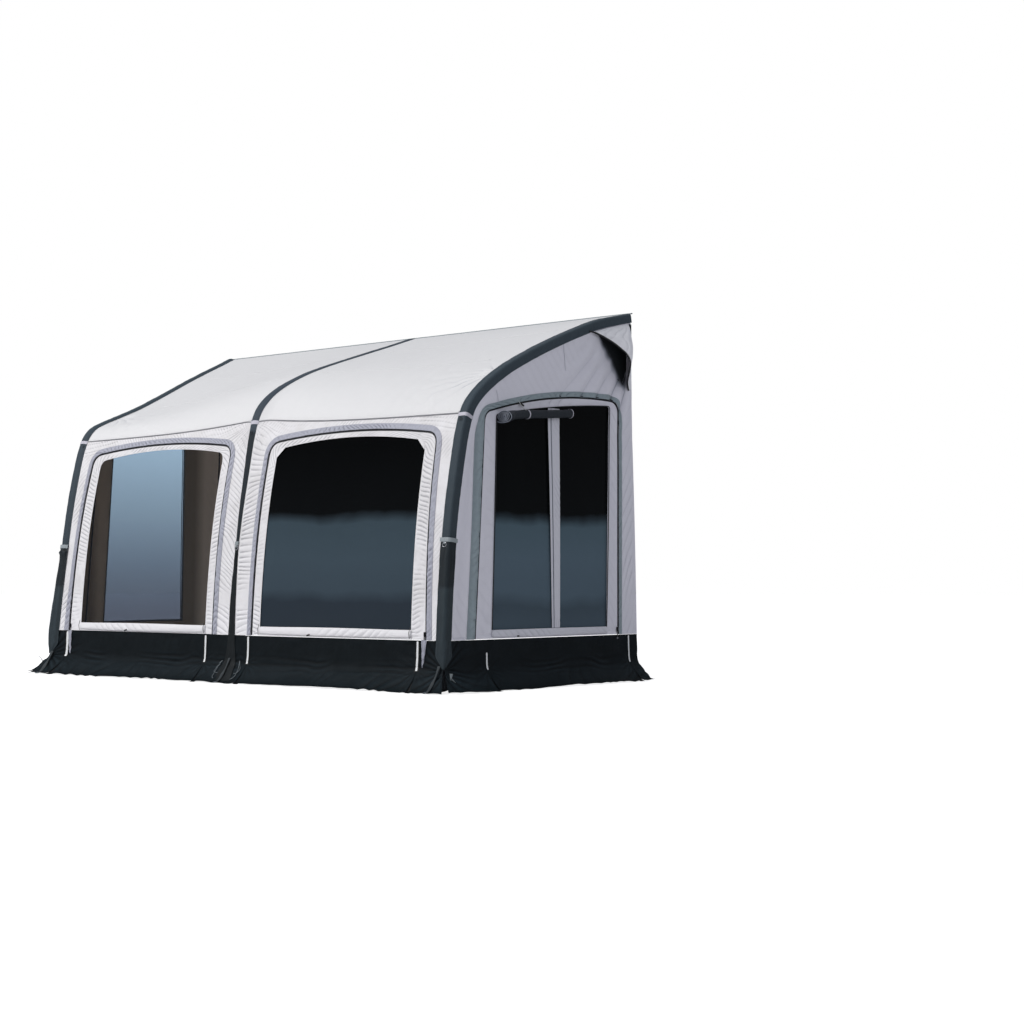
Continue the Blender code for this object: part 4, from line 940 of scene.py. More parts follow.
# painted shade: a darker, bluer copy of the wall cloth for the sill, divider and seams on the side walls
M_SIDE_TRIM = fabric("side_trim_cloth", lin(214, 214, 224), 0.66, 0.03, crumple=0.18, crumple_scale=18, spec=0.3)
M_COIL_GREY = plain("zip_coil_grey", lin(92, 98, 112), 0.4, 0.0, 0.5)
M_BIND = fabric("strip_binding", lin(8, 11, 14), 0.5, 0.08, weave=0.0016, crumple=0.1, spec=0.3)
M_WEB_DARK = fabric("peg_webbing", lin(58, 64, 68), 0.6, 0.2, weave=0.0026, weave_depth=0.8, crumple=0.15)
M_CORD_GREY = fabric("peg_cord", lin(120, 128, 134), 0.6, 0.1, weave=0.0012, weave_depth=0.9, crumple=0.1)
M_CORD = fabric("cord_light", lin(205, 208, 206), 0.7, 0.08, weave=0.0012, weave_depth=0.9, crumple=0.1)
M_TOGGLE = plain("toggle_black", lin(18, 19, 22), 0.45)
# painted view and shade: the nearly opaque right and side films are painted lit blue-grey low down and near black from
# about 1.2 m up, for the shaded inside under the roof; the side stops are painted lighter for its weaker light, and the
# clear left film is painted slightly darker towards the top
FILM_VIEW_SHADE_STOPS = [(0.0, lin(46, 54, 62)), (0.19, lin(44, 52, 61)), (0.25, lin(58, 70, 80)), (0.40, lin(60, 73, 83)), (0.59, lin(56, 69, 78)),
              (0.625, lin(34, 42, 48)), (0.65, lin(8, 10, 12)), (1.0, lin(2, 3, 4))]
FILM_VIEW_SHADE_STOPS_SIDE = [(0.0, lin(78, 92, 104)), (0.14, lin(70, 83, 94)), (0.20, lin(84, 100, 113)), (0.36, lin(86, 103, 116)), (0.50, lin(80, 98, 109)),
                   (0.535, lin(44, 54, 61)), (0.56, lin(9, 12, 14)), (1.0, lin(2, 3, 4))]
M_FILM_R = film("film_dark", None, FILM_VIEW_SHADE_STOPS, 0.972, 0.37, 1.62, spec=0.04)
M_FILM_L = film("film_clear", lin(18, 22, 28), lin(30, 36, 44), 0.15, 0.40, 1.6, rough=0.06, spec=0.12)
M_FILM_S = film("film_side", None, FILM_VIEW_SHADE_STOPS_SIDE, 0.975, 0.37, 1.82, spec=0.04)


def painted_sky_film(name, stops, z0, z1):
    """Clear film that lets the light behind it through, with a painted sky gradient in what it passes: lighter and
    bluer at the top, darker lower down.
    """
    m, nt, out = nodes_of(name)
    tr = node(nt, "ShaderNodeBsdfTransparent")
    gl = node(nt, "ShaderNodeBsdfGlossy")
    gl.inputs["Roughness"].default_value = 0.12
    mx = node(nt, "ShaderNodeMixShader")
    mx.inputs[0].default_value = 0.05
    link(nt, tr.outputs[0], mx.inputs[1])
    link(nt, gl.outputs[0], mx.inputs[2])
    link(nt, mx.outputs[0], out.inputs[0])
    tc = node(nt, "ShaderNodeTexCoord")
    sep = node(nt, "ShaderNodeSeparateXYZ")
    link(nt, tc.outputs["Object"], sep.inputs[0])
    mr = node(nt, "ShaderNodeMapRange")
    mr.inputs["From Min"].default_value = z0
    mr.inputs["From Max"].default_value = z1
    link(nt, sep.outputs[2], mr.inputs[0])
    link(nt, ramp(nt, mr.outputs[0], stops), tr.inputs["Color"])
    rip = object_noise(nt, 3.0, 3, 0.5)
    link(nt, bump_node(nt, rip, 0.1, 0.02), gl.inputs["Normal"])
    return m


# painted light: the see-through colour is a painted sky gradient, lighter towards the top
M_FILM_FAR = painted_sky_film("film_daylight", [(0.0, (0.32, 0.35, 0.41)), (0.30, (0.40, 0.47, 0.55)),
                                           (0.62, (0.53, 0.63, 0.72)), (1.0, (0.66, 0.79, 0.90))], 0.42, 1.72)


# ================================================================ panel outlines
def arch(xa_b, xa_t, xb_b, xb_t, zb, za, zc, bulge, r, bottom=0, nleg=6, ncor=5, narch=9):
    """Outline of an arched panel: up one leg, over the arch, down the other."""
    pts = []
    for k in range(nleg):
        u = k / nleg
        pts.append((xa_b + (xa_t - xa_b) * u, zb + (za - r - zb) * u))
    for k in range(ncor):
        q = math.pi / 2 * k / ncor
        pts.append((xa_t + r - r * math.cos(q), za - r + r * math.sin(q)))
    x0, x1 = xa_t + r, xb_t - r
    for k in range(narch + 1):
        u = k / narch
        pts.append((x0 + (x1 - x0) * u, za + (zc - za) * u + bulge * 4 * u * (1 - u)))
    for k in range(1, ncor + 1):
        q = math.pi / 2 * k / ncor
        pts.append((xb_t - r + r * math.sin(q), zc - r + r * math.cos(q)))
    for k in range(1, nleg + 1):
        u = k / nleg
        pts.append((xb_t + (xb_b - xb_t) * u, zc - r + (zb - zc + r) * u))
    return np.array(pts)


FRONT_ZIP = dict(xa_b=0.185, xa_t=0.185, xb_b=1.700, xb_t=1.648, zb=Z_SEAM + 0.003,
                 za=1.607, zc=1.603, bulge=0.040, r=0.080)
FRONT_WIN = dict(xa_b=0.262, xa_t=0.262, xb_b=1.572, xb_t=1.556, zb=0.376,
                 za=1.560, zc=1.556, bulge=0.045, r=0.055)
SIDE_ZIP = dict(xa_b=-0.562, xa_t=-0.458, xb_b=0.828, xb_t=0.862, zb=Z_SEAM + 0.003,
                za=1.745, zc=1.890, bulge=0.046, r=0.075)
SIDE_WIN = dict(xa_b=-0.408, xa_t=-0.346, xb_b=0.705, xb_t=0.764, zb=0.372,
                za=1.722, zc=1.850, bulge=0.018, r=0.020)
SIDE_WIN_LEFT = dict(SIDE_WIN, xa_b=-0.375, xa_t=-0.305, xb_b=0.449, xb_t=0.445, za=1.727, zc=1.813)
VENT = ((0.640, 2.285), (0.780, 2.110), (0.900, 2.020), (0.950, 2.120),
        (0.945, 2.320), (0.800, 2.320))


def dense(kw, grow=0.0, nleg=190, ncor=22, narch=200, smooth=24):
    """Fine smoothed outline, optionally grown outward."""
    p = arch(nleg=nleg, ncor=ncor, narch=narch, **kw)
    for _ in range(smooth):
        p[1:-1] = 0.5 * p[1:-1] + 0.25 * (p[:-2] + p[2:])
    return shifted(p, grow) if grow else p


def shifted(p, w):
    """Open outline moved sideways by w (positive is outward), ends kept level."""
    t = np.gradient(p, axis=0)
    t /= np.linalg.norm(t, axis=1, keepdims=True)
    q = p + np.stack([-t[:, 1], t[:, 0]], 1) * np.broadcast_to(np.asarray(w, float), (len(p),))[:, None]
    q[0, 1], q[-1, 1] = p[0, 1], p[-1, 1]
    return q


def arclen(p):
    return np.concatenate([[0.0], np.cumsum(np.linalg.norm(np.diff(p, axis=0), axis=1))])


def resample(p, n):
    L = arclen(p)
    t = np.linspace(0, L[-1], n)
    return np.stack([np.interp(t, L, p[:, k]) for k in range(p.shape[1])], 1)


def near(poly, X, Z, closed=False):
    """Distance to an outline, nearest point and arc length there."""
    P = np.asarray(poly, float)
    if closed:
        P = np.concatenate([P, P[:1]])
    A, B = P[:-1], P[1:]
    D = B - A
    L2 = np.maximum((D ** 2).sum(1), 1e-18)
    L = arclen(P)
    x, z = X.ravel(), Z.ravel()
    dist = np.empty(len(x))
    u = np.empty(len(x))
    q = np.empty((len(x), 2))
    for k in range(0, len(x), 20000):
        xs, zs = x[k:k + 20000, None], z[k:k + 20000, None]
        t = np.clip(((xs - A[:, 0]) * D[:, 0] + (zs - A[:, 1]) * D[:, 1]) / L2, 0, 1)
        px, pz = A[:, 0] + t * D[:, 0], A[:, 1] + t * D[:, 1]
        d2 = (xs - px) ** 2 + (zs - pz) ** 2
        j = np.argmin(d2, 1)
        r = np.arange(len(j))
        dist[k:k + 20000] = np.sqrt(d2[r, j])
        u[k:k + 20000] = L[j] + t[r, j] * np.sqrt(L2[j])
        q[k:k + 20000, 0], q[k:k + 20000, 1] = px[r, j], pz[r, j]
    return dist.reshape(X.shape), u.reshape(X.shape), q.reshape(X.shape + (2,))


def inside(poly, X, Z):
    P = np.asarray(poly, float)
    res = np.zeros(X.shape, bool)
    n = len(P)
    for i in range(n):
        x1, z1 = P[i]
        x2, z2 = P[(i + 1) % n]
        if z1 == z2:
            continue
        c = ((z1 > Z) != (z2 > Z)) & (X < (x2 - x1) * (Z - z1) / (z2 - z1) + x1)
        res ^= c
    return res


def snap(X, Z, poly, cell, fixed=None):
    """Moves grid points that lie close to a closed outline onto it."""
    dist, _, q = near(poly, X, Z, closed=True)
    hit = dist < 0.62 * cell
    if fixed is not None:
        hit &= ~fixed
    X2, Z2 = X.copy(), Z.copy()
    X2[hit], Z2[hit] = q[..., 0][hit], q[..., 1][hit]
    return X2, Z2


def centres(A):
    return 0.25 * (A[:-1, :-1] + A[1:, :-1] + A[1:, 1:] + A[:-1, 1:])


def closed_down(p, z):
    """Outline closed well below its feet."""
    return np.concatenate([p, [[p[-1, 0], z]], [[p[0, 0], z]]])


FZ = dense(FRONT_ZIP)
FW = dense(FRONT_WIN)
SZ = dense(SIDE_ZIP)
SWS = {1: dense(SIDE_WIN, smooth=8), -1: dense(SIDE_WIN_LEFT, smooth=8)}
FZ_LEN, SZ_LEN = arclen(FZ)[-1], arclen(SZ)[-1]
FZ_C = FZ[::4]
SZ_C = SZ[::4]


# ============================================================= shared reliefs
HW_Z = np.array([0.27, 0.40, 0.49, 0.69, 0.77, 0.90, 1.15, 1.43, 1.62, 1.70, 1.78, 1.86])
HW_V = np.array([.0345, .0275, .026, .0205, .0175, .0140, .0195, .025, .028, .031, .036, .040])


def centre_half(z):
    return np.interp(z, HW_Z, HW_V)


def rf(x, z):
    """Slow relief of the front wall, shared by all its layers."""
    bay = bump(0.03, 1.79, np.abs(x))
    v = np.sqrt(bump(0.28, 1.74, z))
    return -0.006 * bay * v + 0.0022 * noise(x * 1.5, z * 1.2, 5) * bay * v


def rs(y, z):
    """Slow relief of a side wall."""
    a = np.clip((y - y_leg(np.minimum(z, 2.4))) / 1.0, 0, 1)
    v = bump(0.28, 2.5, z) ** 0.5
    return (-0.007 * v + 0.0025 * noise(y * 1.6, z * 1.3, 8) * v) * step(0.02, 0.35, a) * (1 - step(0.80, 1.0, y))


def front_cloth(x, z, dist=None, u=None):
    """Outward offset of the front wall cloth: tension folds at legs, arches and eave."""
    ax, sgn = np.abs(x), np.sign(x)
    if dist is None:
        dist, u, _ = near(FZ_C, ax, z)
    d = rf(x, z)
    eave = eave_z(x) - z
    hw = centre_half(z)
    calm = step(0.0, 0.012, eave) * step(0.0, 0.012, z - Z_SEAM) * step(0, 0.007, dist)
    calm = calm * step(0.002, 0.016, ax - hw) * step(0.000, 0.012, XF - BAND_TOP - ax)
    # folds that run out of the eave seam, fanning from the centre band
    th = np.degrees(np.arctan2(eave + 0.02, ax + 0.03))
    r = np.hypot(eave + 0.02, ax + 0.03)
    lat = np.where(x < 0, 1.0, 0.55)
    ph = th / np.where(x < 0, 5.2, 7.5) + 0.5 * noise(th / 9, r * 6, 33)
    d = d + calm * lat * 0.0085 * ridge(ph, 0.9) * np.clip(0.55 + 0.6 * noise(th / 8 + 4, r * 5, 35), 0.05, 1.2) \
        * step(0.05, 0.12, r) * np.exp(-np.maximum(r - 0.10, 0) / 0.26) * step(1.50, 1.60, z)
    # and towards the outer band, nearly level
    w = XF - 0.055 - ax
    ph = (eave + 0.10 * w) / 0.030 + 0.4 * noise(x * 5, z * 14, 36)
    d = d + calm * 0.0062 * ridge(ph, 0.9) * (1 - step(0.22, 0.42, w)) * step(1.585, 1.62, z) * np.clip(0.6 + 0.5 * noise(x * 4, z * 20, 37), 0.1, 1.2)
    d = d + calm * pleats(x, eave, 0.028, np.where(x > 0, 0.8, -0.9), 0.0042, 0.050, 31)
    # beside the centre leg: short folds across the strip, level on the right and steeper on the left
    w = ax - hw
    lean = np.where(x > 0, 0.25 + 0.50 * noise(0 * z + 3.0, z * 2.6, 42), 0.40 + 0.40 * noise(0 * z + 7.0, z * 2.4, 44))
    ph = (z - lean * (ax - 0.11)) / np.where(x > 0, 0.034, 0.036) + 0.75 * noise(x * 3, z * 6, 41) + 0.25 * noise(x * 8, z * 17, 40)
    mod = np.clip(0.55 + 0.75 * noise(x * 4, z * 9, 43), 0.0, 1.25) * (0.35 + 0.65 * step(0.0, 0.03, w)) * (1 - 0.6 * step(0.135, 0.170, ax))
    strip = 1 - step(0.150, 0.180, ax)
    d = d + calm * strip * 0.0105 * mod * ridge(ph, 0.85) * np.exp(-np.maximum(w, 0) / 0.20) * (1 - step(1.60, 1.70, z))
    # beside the outer legs: diagonal folds
    w = XF - 0.055 - ax
    ph = np.where(x > 0, (z - 1.05 * ax) / 0.0330, (z + 1.05 * ax) / 0.0430) + 0.7 * noise(x * 4, z * 5, 47) + 0.25 * noise(x * 9, z * 13, 48)
    mod = np.clip(0.45 + 0.75 * noise(x * 4, z * 6, 49), 0.0, 1.25) * np.where(x > 0, 0.25 + 0.75 * step(0.85, 1.15, z), 1.0) * (0.4 + 0.6 * step(0.0, 0.02, w))
    amp = np.where(x > 0, 0.0078, 0.0100)
    d = d + calm * (w < 0.16) * (1 - step(0.09, 0.15, w)) * amp * mod * ridge(ph, 0.9) * (1 - step(1.56, 1.66, z))
    # puckers along the zip seam
    d = d + calm * pleats(u, dist, 0.026, 0.5 * sgn, 0.0022, 0.014, 53)
    return d


def front_panel_cloth(x, z, w_out, w_in, u):
    """Offset of the ring of cloth round a front window."""
    d = rf(x, z)
    calm = step(0.004, 0.024, w_out) * step(0, 0.007, w_in)
    top = step(1.38, 1.50, z)
    leg = 1 - top
    d = d + calm * top * 0.0068 * ridge((u + 1.6 * w_out * np.sign(x)) / 0.042 + 0.45 * noise(u * 6, w_out * 12, 61), 0.9) \
        * np.clip(0.6 + 0.6 * noise(u * 8, w_out * 9, 62), 0.05, 1.25)
    d = d + calm * leg * 0.0084 * step(0.0, 0.022, w_in) \
        * ridge((z - (0.30 + 0.5 * noise(0 * z + 5.0, z * 2.2, 65)) * w_out * np.sign(x)) / 0.0285 + 0.6 * noise(u * 4, w_out * 6, 63) + 0.25 * noise(u * 13, w_out * 12, 66), 0.9) \
        * np.clip(0.50 + 0.75 * noise(u * 5, w_out * 7, 64), 0.0, 1.25)
    d = d + calm * 0.0014 * noise(x * 26, z * 26, 67)
    return d


def hood_polar(y, z):
    """Angle and distance from the point where the folds under the hood would meet."""
    dy, dz = y - 1.25, z - 2.75
    return np.degrees(np.arctan2(dz, dy)), np.hypot(dy, dz)


def side_cloth(y, z, dist=None, u=None):
    """Offset of the side wall cloth."""
    if dist is None:
        dist, u, _ = near(SZ_C, y, z)
    d = rs(y, z)
    calm = step(0, 0.010, dist) * step(0.0, 0.010, z - Z_SEAM)
    # long upright fold beside the leg and soft diagonal folds, stronger low down
    front = (y < -0.2) * (1 - step(-0.60, -0.42, y)) * (1 - step(1.55, 1.75, z))
    yl = y - np.interp(z, _PZ[::-1], _PY[::-1])
    d = d - calm * front * 0.0120 * bump(0.060, 0.22, yl)
    ph = (z + 1.6 * y) / 0.120 + 0.5 * noise(y * 4, z * 3, 71)
    mod = np.clip(0.4 + 0.6 * noise(y * 3.1, z * 5.2, 73), 0, 1.2)
    d = d + calm * front * (0.0006 + 0.0075 * (1 - step(0.38, 0.75, z))) * mod * ridge(ph, 1.2)
    # rear strip
    rear = step(0.86, 0.90, y)
    ph = (z - 1.8 * y) / 0.120 + 0.5 * noise(y * 6, z * 3, 75)
    d = d + calm * rear * 0.0045 * np.clip(0.5 + 0.6 * noise(y * 4, z * 4, 77), 0, 1.2) * ridge(ph, 1.1) * (1 - step(0.975, 1.00, y)) * (1 - step(2.0, 2.2, z))
    # tension folds that radiate down and forward from the tip of the hood
    cy, cz = 0.640, 2.345
    th, r = hood_polar(y, z)
    q = (th + 145.0) / 33.0
    ph = 5.0 * q + 0.12 * noise(q * 2, r * 3, 85)
    d = d + calm * 0.0230 * ridge(ph, 1.3) * step(-0.02, 0.12, q) * (1 - step(1.0, 1.25, q)) * step(0.77, 0.93, r) * (1 - 0.45 * step(1.00, 1.30, r)) * step(1.70, 1.80, z)
    # soft folds above the door, on the front part
    up = step(1.80, 1.92, z) * (y > -0.55) * (1 - step(0.30, 0.55, y))
    ph = (y + 0.75 * z) / 0.075 + 0.5 * noise(y * 5, z * 5, 79)
    d = d + calm * up * 0.0010 * np.clip(0.4 + 0.6 * noise(y * 5, z * 6, 81), 0, 1.2) * ridge(ph, 1.1)
    # puckers along the zip
    d = d + calm * pleats(u, dist, 0.040, 0.5, 0.0012, 0.020, 83)
    return d


def side_panel_cloth(y, z, w_out, w_in, u):
    d = rs(y, z)
    calm = step(0, 0.012, w_out) * step(0, 0.007, w_in)
    d = d + calm * (0.0012 + 0.0050 * step(1.72, 1.82, z)) * ridge((u + 0.9 * w_out) / 0.0950 + 0.5 * noise(u * 4, w_out * 8, 91), 1.0) \
        * np.clip(0.45 + 0.6 * noise(u * 4, w_out * 9, 92), 0.0, 1.25)
    d = d - calm * 0.0030 * bump(0.0, 1.0, w_out / np.maximum(w_out + w_in, 1e-6))
    d = d + calm * 0.0010 * noise(y * 16, z * 16, 95)
    return d


def roof_cloth(x, s, s_end):
    """Offset of the roof sheet: hangs a little between the beams, creased towards seams and bands."""
    ax = np.abs(x)
    edge = 1.90
    bay = np.clip(np.sin(np.pi * np.clip((ax - 0.03) / (edge - 0.03), 0, 1)), 0, 1) ** 0.8
    along = step(0.0, 0.5, s) * (0.35 + 0.65 * (1 - step(1.35, 1.82, s)))
    d = -0.016 * bay * along + 0.003 * fbm(x * 1.1, s * 1.6, 101) * bay * step(0, 0.1, s)
    w = s_end - s
    calm = step(0, 0.012, w) * step(0.0, 0.03, s) * step(0.042, 0.062, ax)
    calm = calm * step(0.0, 0.014, XF - BAND_TOP + SPLAY * (1.60 - s) - ax)
    # long soft folds that fall with the slope, and gathers above the front seam
    d = d + calm * 0.0020 * bay * ridge((x + 0.10 * s) / 0.16 + 0.8 * noise(x * 2, s * 1.4, 103), 1.5) * step(0.3, 1.0, s)
    d = d + calm * pleats(x, w, 0.036, np.where(x > 0, 0.5, -0.5), 0.0010, 0.05, 107)
    # near the bend over the outer beams
    for sg, k in ((1, 1.0), (-1, 0.8)):
        d = d + k * calm * fan(sg * x, -s, 1.84, -1.40, 125, 240, 6, 0.0170, 0.10, 0.26, 109, 1.3)
        d = d + k * calm * pleats(s, 1.80 - sg * x, 0.110, 0.7, 0.0014, 0.09, 113) * (sg * x > 1.2) * step(0.1, 0.4, s)
    # and beside the centre band
    d = d + calm * pleats(s, ax - 0.045, 0.120, 0.6, 0.0008, 0.12, 117) * (ax > 0.03) * step(0.1, 0.4, s)
    return d


# ====================================================================== roof
def x_cloth(s):
    """Half width of the roof sheet; it ends under the side bands."""
    p, n = prof(s)
    return x_side(p[..., 0], p[..., 1]) - BAND_TOP + 0.016


NX, NS = (430, 215)
ux = np.linspace(-1, 1, NX)
vs = np.linspace(0, 1, NS)
U, V = np.meshgrid(ux, vs, indexing="ij")
s_end = s_at_z(eave_z(U * 1.80))
S = 0.004 + V * (s_end - 0.004)
X = U * x_cloth(S)
s_end = s_at_z(eave_z(X))
S = 0.004 + V * (s_end - 0.004)
DR = roof_cloth(X, S, s_end)
P = on_roof(X, S, DR)
roof = shell("roof_canopy", P, (0, 0, 1), 0.0012, [M_ROOF, M_INNER], uv=np.stack([X, S], -1))
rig.replaces(roof, "roof_panel_left", "roof_panel_right")
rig.slot(roof, "roof_fabric")
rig.ride(roof, "root")
ROOF_W = 2 * float(x_cloth(np.array(0.9)))
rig.sheet(roof, (3.86, 1.83), "stretched", ["air_beam_left", "air_beam_centre", "air_beam_right"])


def roof_d(x, s):
    x, s = np.broadcast_arrays(np.asarray(x, float), np.asarray(s, float))
    return roof_cloth(x, s, s_at_z(eave_z(x)))


# ================================================================= front wall
cell = 0.0042
XC = XF - 0.040
half = np.concatenate([np.arange(0, 0.200, 0.0034), np.arange(0.200, 1.630, 0.0062), np.linspace(1.630, XC, 50)])
U = np.concatenate([-half[:0:-1], half]) / XC
nz = int(1.40 / 0.0040)
U, V = np.meshgrid(U, np.linspace(0, 1, nz), indexing="ij")
X = U * XC
Z = (Z_SEAM + 0.001) + V * (eave_z(X) - 0.0008 - Z_SEAM - 0.001)
rim = np.zeros(X.shape, bool)
rim[:, 0] = rim[:, -1] = rim[0] = rim[-1] = True
hole = closed_down(shifted(FZ, HALF_GAP)[::3], 0.20)
for sg in (1, -1):
    hx = hole * np.array([sg, 1.0])
    X, Z = snap(X, Z, hx, cell, rim)
ci = np.abs(centres(X)), centres(Z)
mask = ~inside(hole, ci[0], ci[1])
dist, uu, _ = near(FZ_C, np.abs(X), Z)
DF = front_cloth(X, Z, dist, uu)
P = on_front(X, Z, DF)
N_FRONT = (0, -1, 0.1)
wall = shell("front_wall", P, N_FRONT, 0.0012, [M_WALL, M_INNER], mask=mask, uv=np.stack([X, Z], -1))
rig.replaces(wall, "front_surround_left", "front_surround_right")
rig.slot(wall, "wall_fabric")
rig.ride(wall, "root")
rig.sheet(wall, (3.59, 1.42), "stretched", ["roof_canopy"], area=1.55)


def front_xyz(sign, q, d):
    """Points of outline q (|x|, z) on the left or right front bay."""
    return on_front(sign * q[..., 0], q[..., 1], d)


def ring_grid(outer, inner, nj, bottom):
    """Closed ring between two matched open outlines, with their lower edges filled in."""
    k = np.arange(1, bottom + 1)[:, None] / (bottom + 1)
    o = np.concatenate([outer, outer[-1] + (outer[0] - outer[-1]) * k])
    i = np.concatenate([inner, inner[-1] + (inner[0] - inner[-1]) * k])
    t = np.linspace(0, 1, nj)[None, :, None]
    return o[:, None] * (1 - t) + i[:, None] * t


RING_F = ring_grid(shifted(FZ, -HALF_GAP), FW, 18, 230)
RING_S = {k: ring_grid(shifted(SZ, -HALF_GAP), SWS[k], 18 if k > 0 else 26, 210) for k in (-1, 1)}


def ring_uv(G):
    mid = G[:, G.shape[1] // 2]
    L = arclen(np.concatenate([mid, mid[:1]]))
    W = np.concatenate([np.zeros((len(G), 1)), np.cumsum(np.linalg.norm(np.diff(G, axis=1), axis=2), axis=1)], 1)
    W = np.concatenate([W, W[:1]])
    return np.stack([np.repeat(L[:, None], G.shape[1], 1), W], -1), L


def cover_points(line, w0, w1, nj):
    w = np.linspace(w0, w1, nj)
    return np.stack([shifted(line, k) for k in w], 1), np.broadcast_to(w[None], (len(line), nj))


FILMS = {}
for label, sign in SIDES:
    body = "front_door_" + label
    seed = 300 + 10 * sign
    # ---- ring of cloth round the window
    G = RING_F
    uv, L = ring_uv(G)
    w_out = uv[:-1, :, 1]
    w_in = w_out[:, -1:] - w_out
    uu = np.broadcast_to(L[:-1, None], w_out.shape) + 3.1 * (sign > 0)
    d = front_panel_cloth(sign * G[..., 0], G[..., 1], w_out, w_in, uu)
    P = front_xyz(sign, G, d)
    ob = shell("front_panel_cloth_" + label, P, N_FRONT, 0.0012, [M_WALL, M_INNER], wrap=True, uv=uv)
    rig.replaces(ob, "front_panel_" + label)
    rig.slot(ob, "wall_fabric")
    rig.ride(ob, body)
    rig.sheet(ob, (0.089, 5.33), "stretched", ["front_wall"])
    # ---- window film
    step_f = 0.012
    xs = np.arange(0.247, 1.5895, step_f)
    zs = np.arange(0.360, 1.612, step_f)
    Xg, Zg = np.meshgrid(xs, zs, indexing="ij")
    outline = closed_down(shifted(FW, 0.013)[::3], 0.3615)
    outline[-2:, 1] = 0.3615
    outline[outline[:, 1] < 0.3615, 1] = 0.3615
    Xg, Zg = snap(Xg, Zg, outline, step_f)
    m = inside(outline, centres(Xg), centres(Zg))
    edge_d, _, _ = near(outline, Xg, Zg, closed=True)
    e = step(0, 0.12, edge_d)
    d = rf(sign * Xg, Zg) - 0.0062 + e * 0.0030 * noise(Xg * 3.0 + seed, Zg * 1.1, 121) \
        + e * 0.0010 * noise(Xg * 9 + 0.2 * Zg + seed, Zg * 2.0, 122)
    P = front_xyz(sign, np.stack([Xg, Zg], -1), d)
    ob = shell("front_film_" + label, P, N_FRONT, 0.0008, M_FILM_R if sign > 0 else M_FILM_L, mask=m,
               uv=np.stack([Xg, Zg], -1))
    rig.replaces(ob, "front_window_" + label)
    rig.slot(ob, "window_film")
    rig.ride(ob, body)
    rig.sheet(ob, (1.34, 1.25), "stretched", ["front_panel_cloth_" + label], area=1.62)
    # ---- zip: black tape with its coil
    line = resample(FZ, 760)
    dist0 = np.zeros(len(line))
    base = rf(sign * line[:, 0], line[:, 1])
    rows = []
    for w, dd in ((-0.0090, 0.0016), (-0.0030, 0.0016), (-0.0024, 0.0026), (0.0, 0.0034), (0.0020, 0.0026), (0.0026, 0.0012), (0.0050, -0.0006)):
        q = shifted(line, w)
        rows.append(front_xyz(sign, q, base + dd))
    P = np.stack(rows, 1)
    Lz = arclen(line)
    uvz = np.stack([np.repeat(Lz[:, None], 7, 1), np.broadcast_to(np.linspace(0, 0.012, 7)[None], (len(line), 7))], -1)
    ob = shell("zip_front_" + label, P, N_FRONT, 0.0010, M_ZIP, uv=uvz)
    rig.replaces(ob, "zip_chain_front_" + label)
    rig.slot(ob, "zip_tape")
    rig.ride(ob, "root")
    # ---- rain strip over the zip
    line = resample(FZ, 900)
    Q, W = cover_points(line, 0.0035, 0.0400, 11)
    Lc = arclen(line)[:, None]
    base = front_cloth(sign * Q[..., 0], Q[..., 1])
    free = 1 - step(0.0035, 0.030, W)
    mid = bump(0.0035, 0.040, W)
    lift = 0.0030 + free * 0.0030 + (0.35 * free + 0.9 * mid) * 0.0075 * ridge((Lc + 1.3 * sign * W) / 0.040 + 0.9 * noise(Lc * 6 + seed, W * 20, 131), 1.1) \
        * np.clip(0.5 + 0.7 * noise(Lc * 5 + seed, W * 12, 132), 0.0, 1.3) \
        + 0.0022 * noise(Lc * 30 + seed, W * 30, 133) * step(0.0, 0.01, 0.040 - W)
    P = front_xyz(sign, Q, base + np.maximum(lift, 0.0016))
    ob = shell("zip_flap_front_" + label, P, N_FRONT, 0.0011, M_COVER_F,
               uv=np.stack([np.broadcast_to(Lc, W.shape), W], -1))
    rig.replaces(ob, "zip_cover_front_" + label)
    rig.slot(ob, "zip_cover_fabric")
    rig.ride(ob, "root")
    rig.sheet(ob, (0.038, 4.06), "stretched", ["front_wall"])


# ================================================================== side walls
def y_front_edge(z):
    """Where the side wall cloth ends, under the side band."""
    s = np.linspace(0.02, S_END, 900)
    p, n = prof(s)
    q = p - n * 0.044
    return np.interp(-np.asarray(z, float), -q[:, 1], q[:, 0])


def y_rear_edge(z):
    return 0.996 + 0.034 * np.clip((2.40 - z) / 2.1, 0, 1)


OPEN_VENT = np.array([(0.655, 2.296), (0.735, 2.243), (0.800, 2.180), (0.850, 2.105), (0.905, 2.020), (0.950, 2.120), (0.945, 2.320), (0.800, 2.320)])
cell = 0.0062
nu, nv = 300, 340
U, V = np.meshgrid(np.linspace(0, 1, nu), np.linspace(0, 1, nv), indexing="ij")
Z = (Z_SEAM + 0.001) + V * (2.440 - Z_SEAM - 0.001)
Y = y_front_edge(Z) + U * (y_rear_edge(Z) - y_front_edge(Z))
rim = np.zeros(Y.shape, bool)
rim[:, 0] = rim[:, -1] = rim[0] = rim[-1] = True
hole = closed_down(shifted(SZ, HALF_GAP)[::3], 0.20)
Y, Z = snap(Y, Z, hole, cell, rim)
Y, Z = snap(Y, Z, OPEN_VENT, cell * 0.8, rim)
mask = ~inside(hole, centres(Y), centres(Z)) & ~inside(OPEN_VENT, centres(Y), centres(Z))
dist, uu, _ = near(SZ_C, Y, Z)
DS = side_cloth(Y, Z, dist, uu)
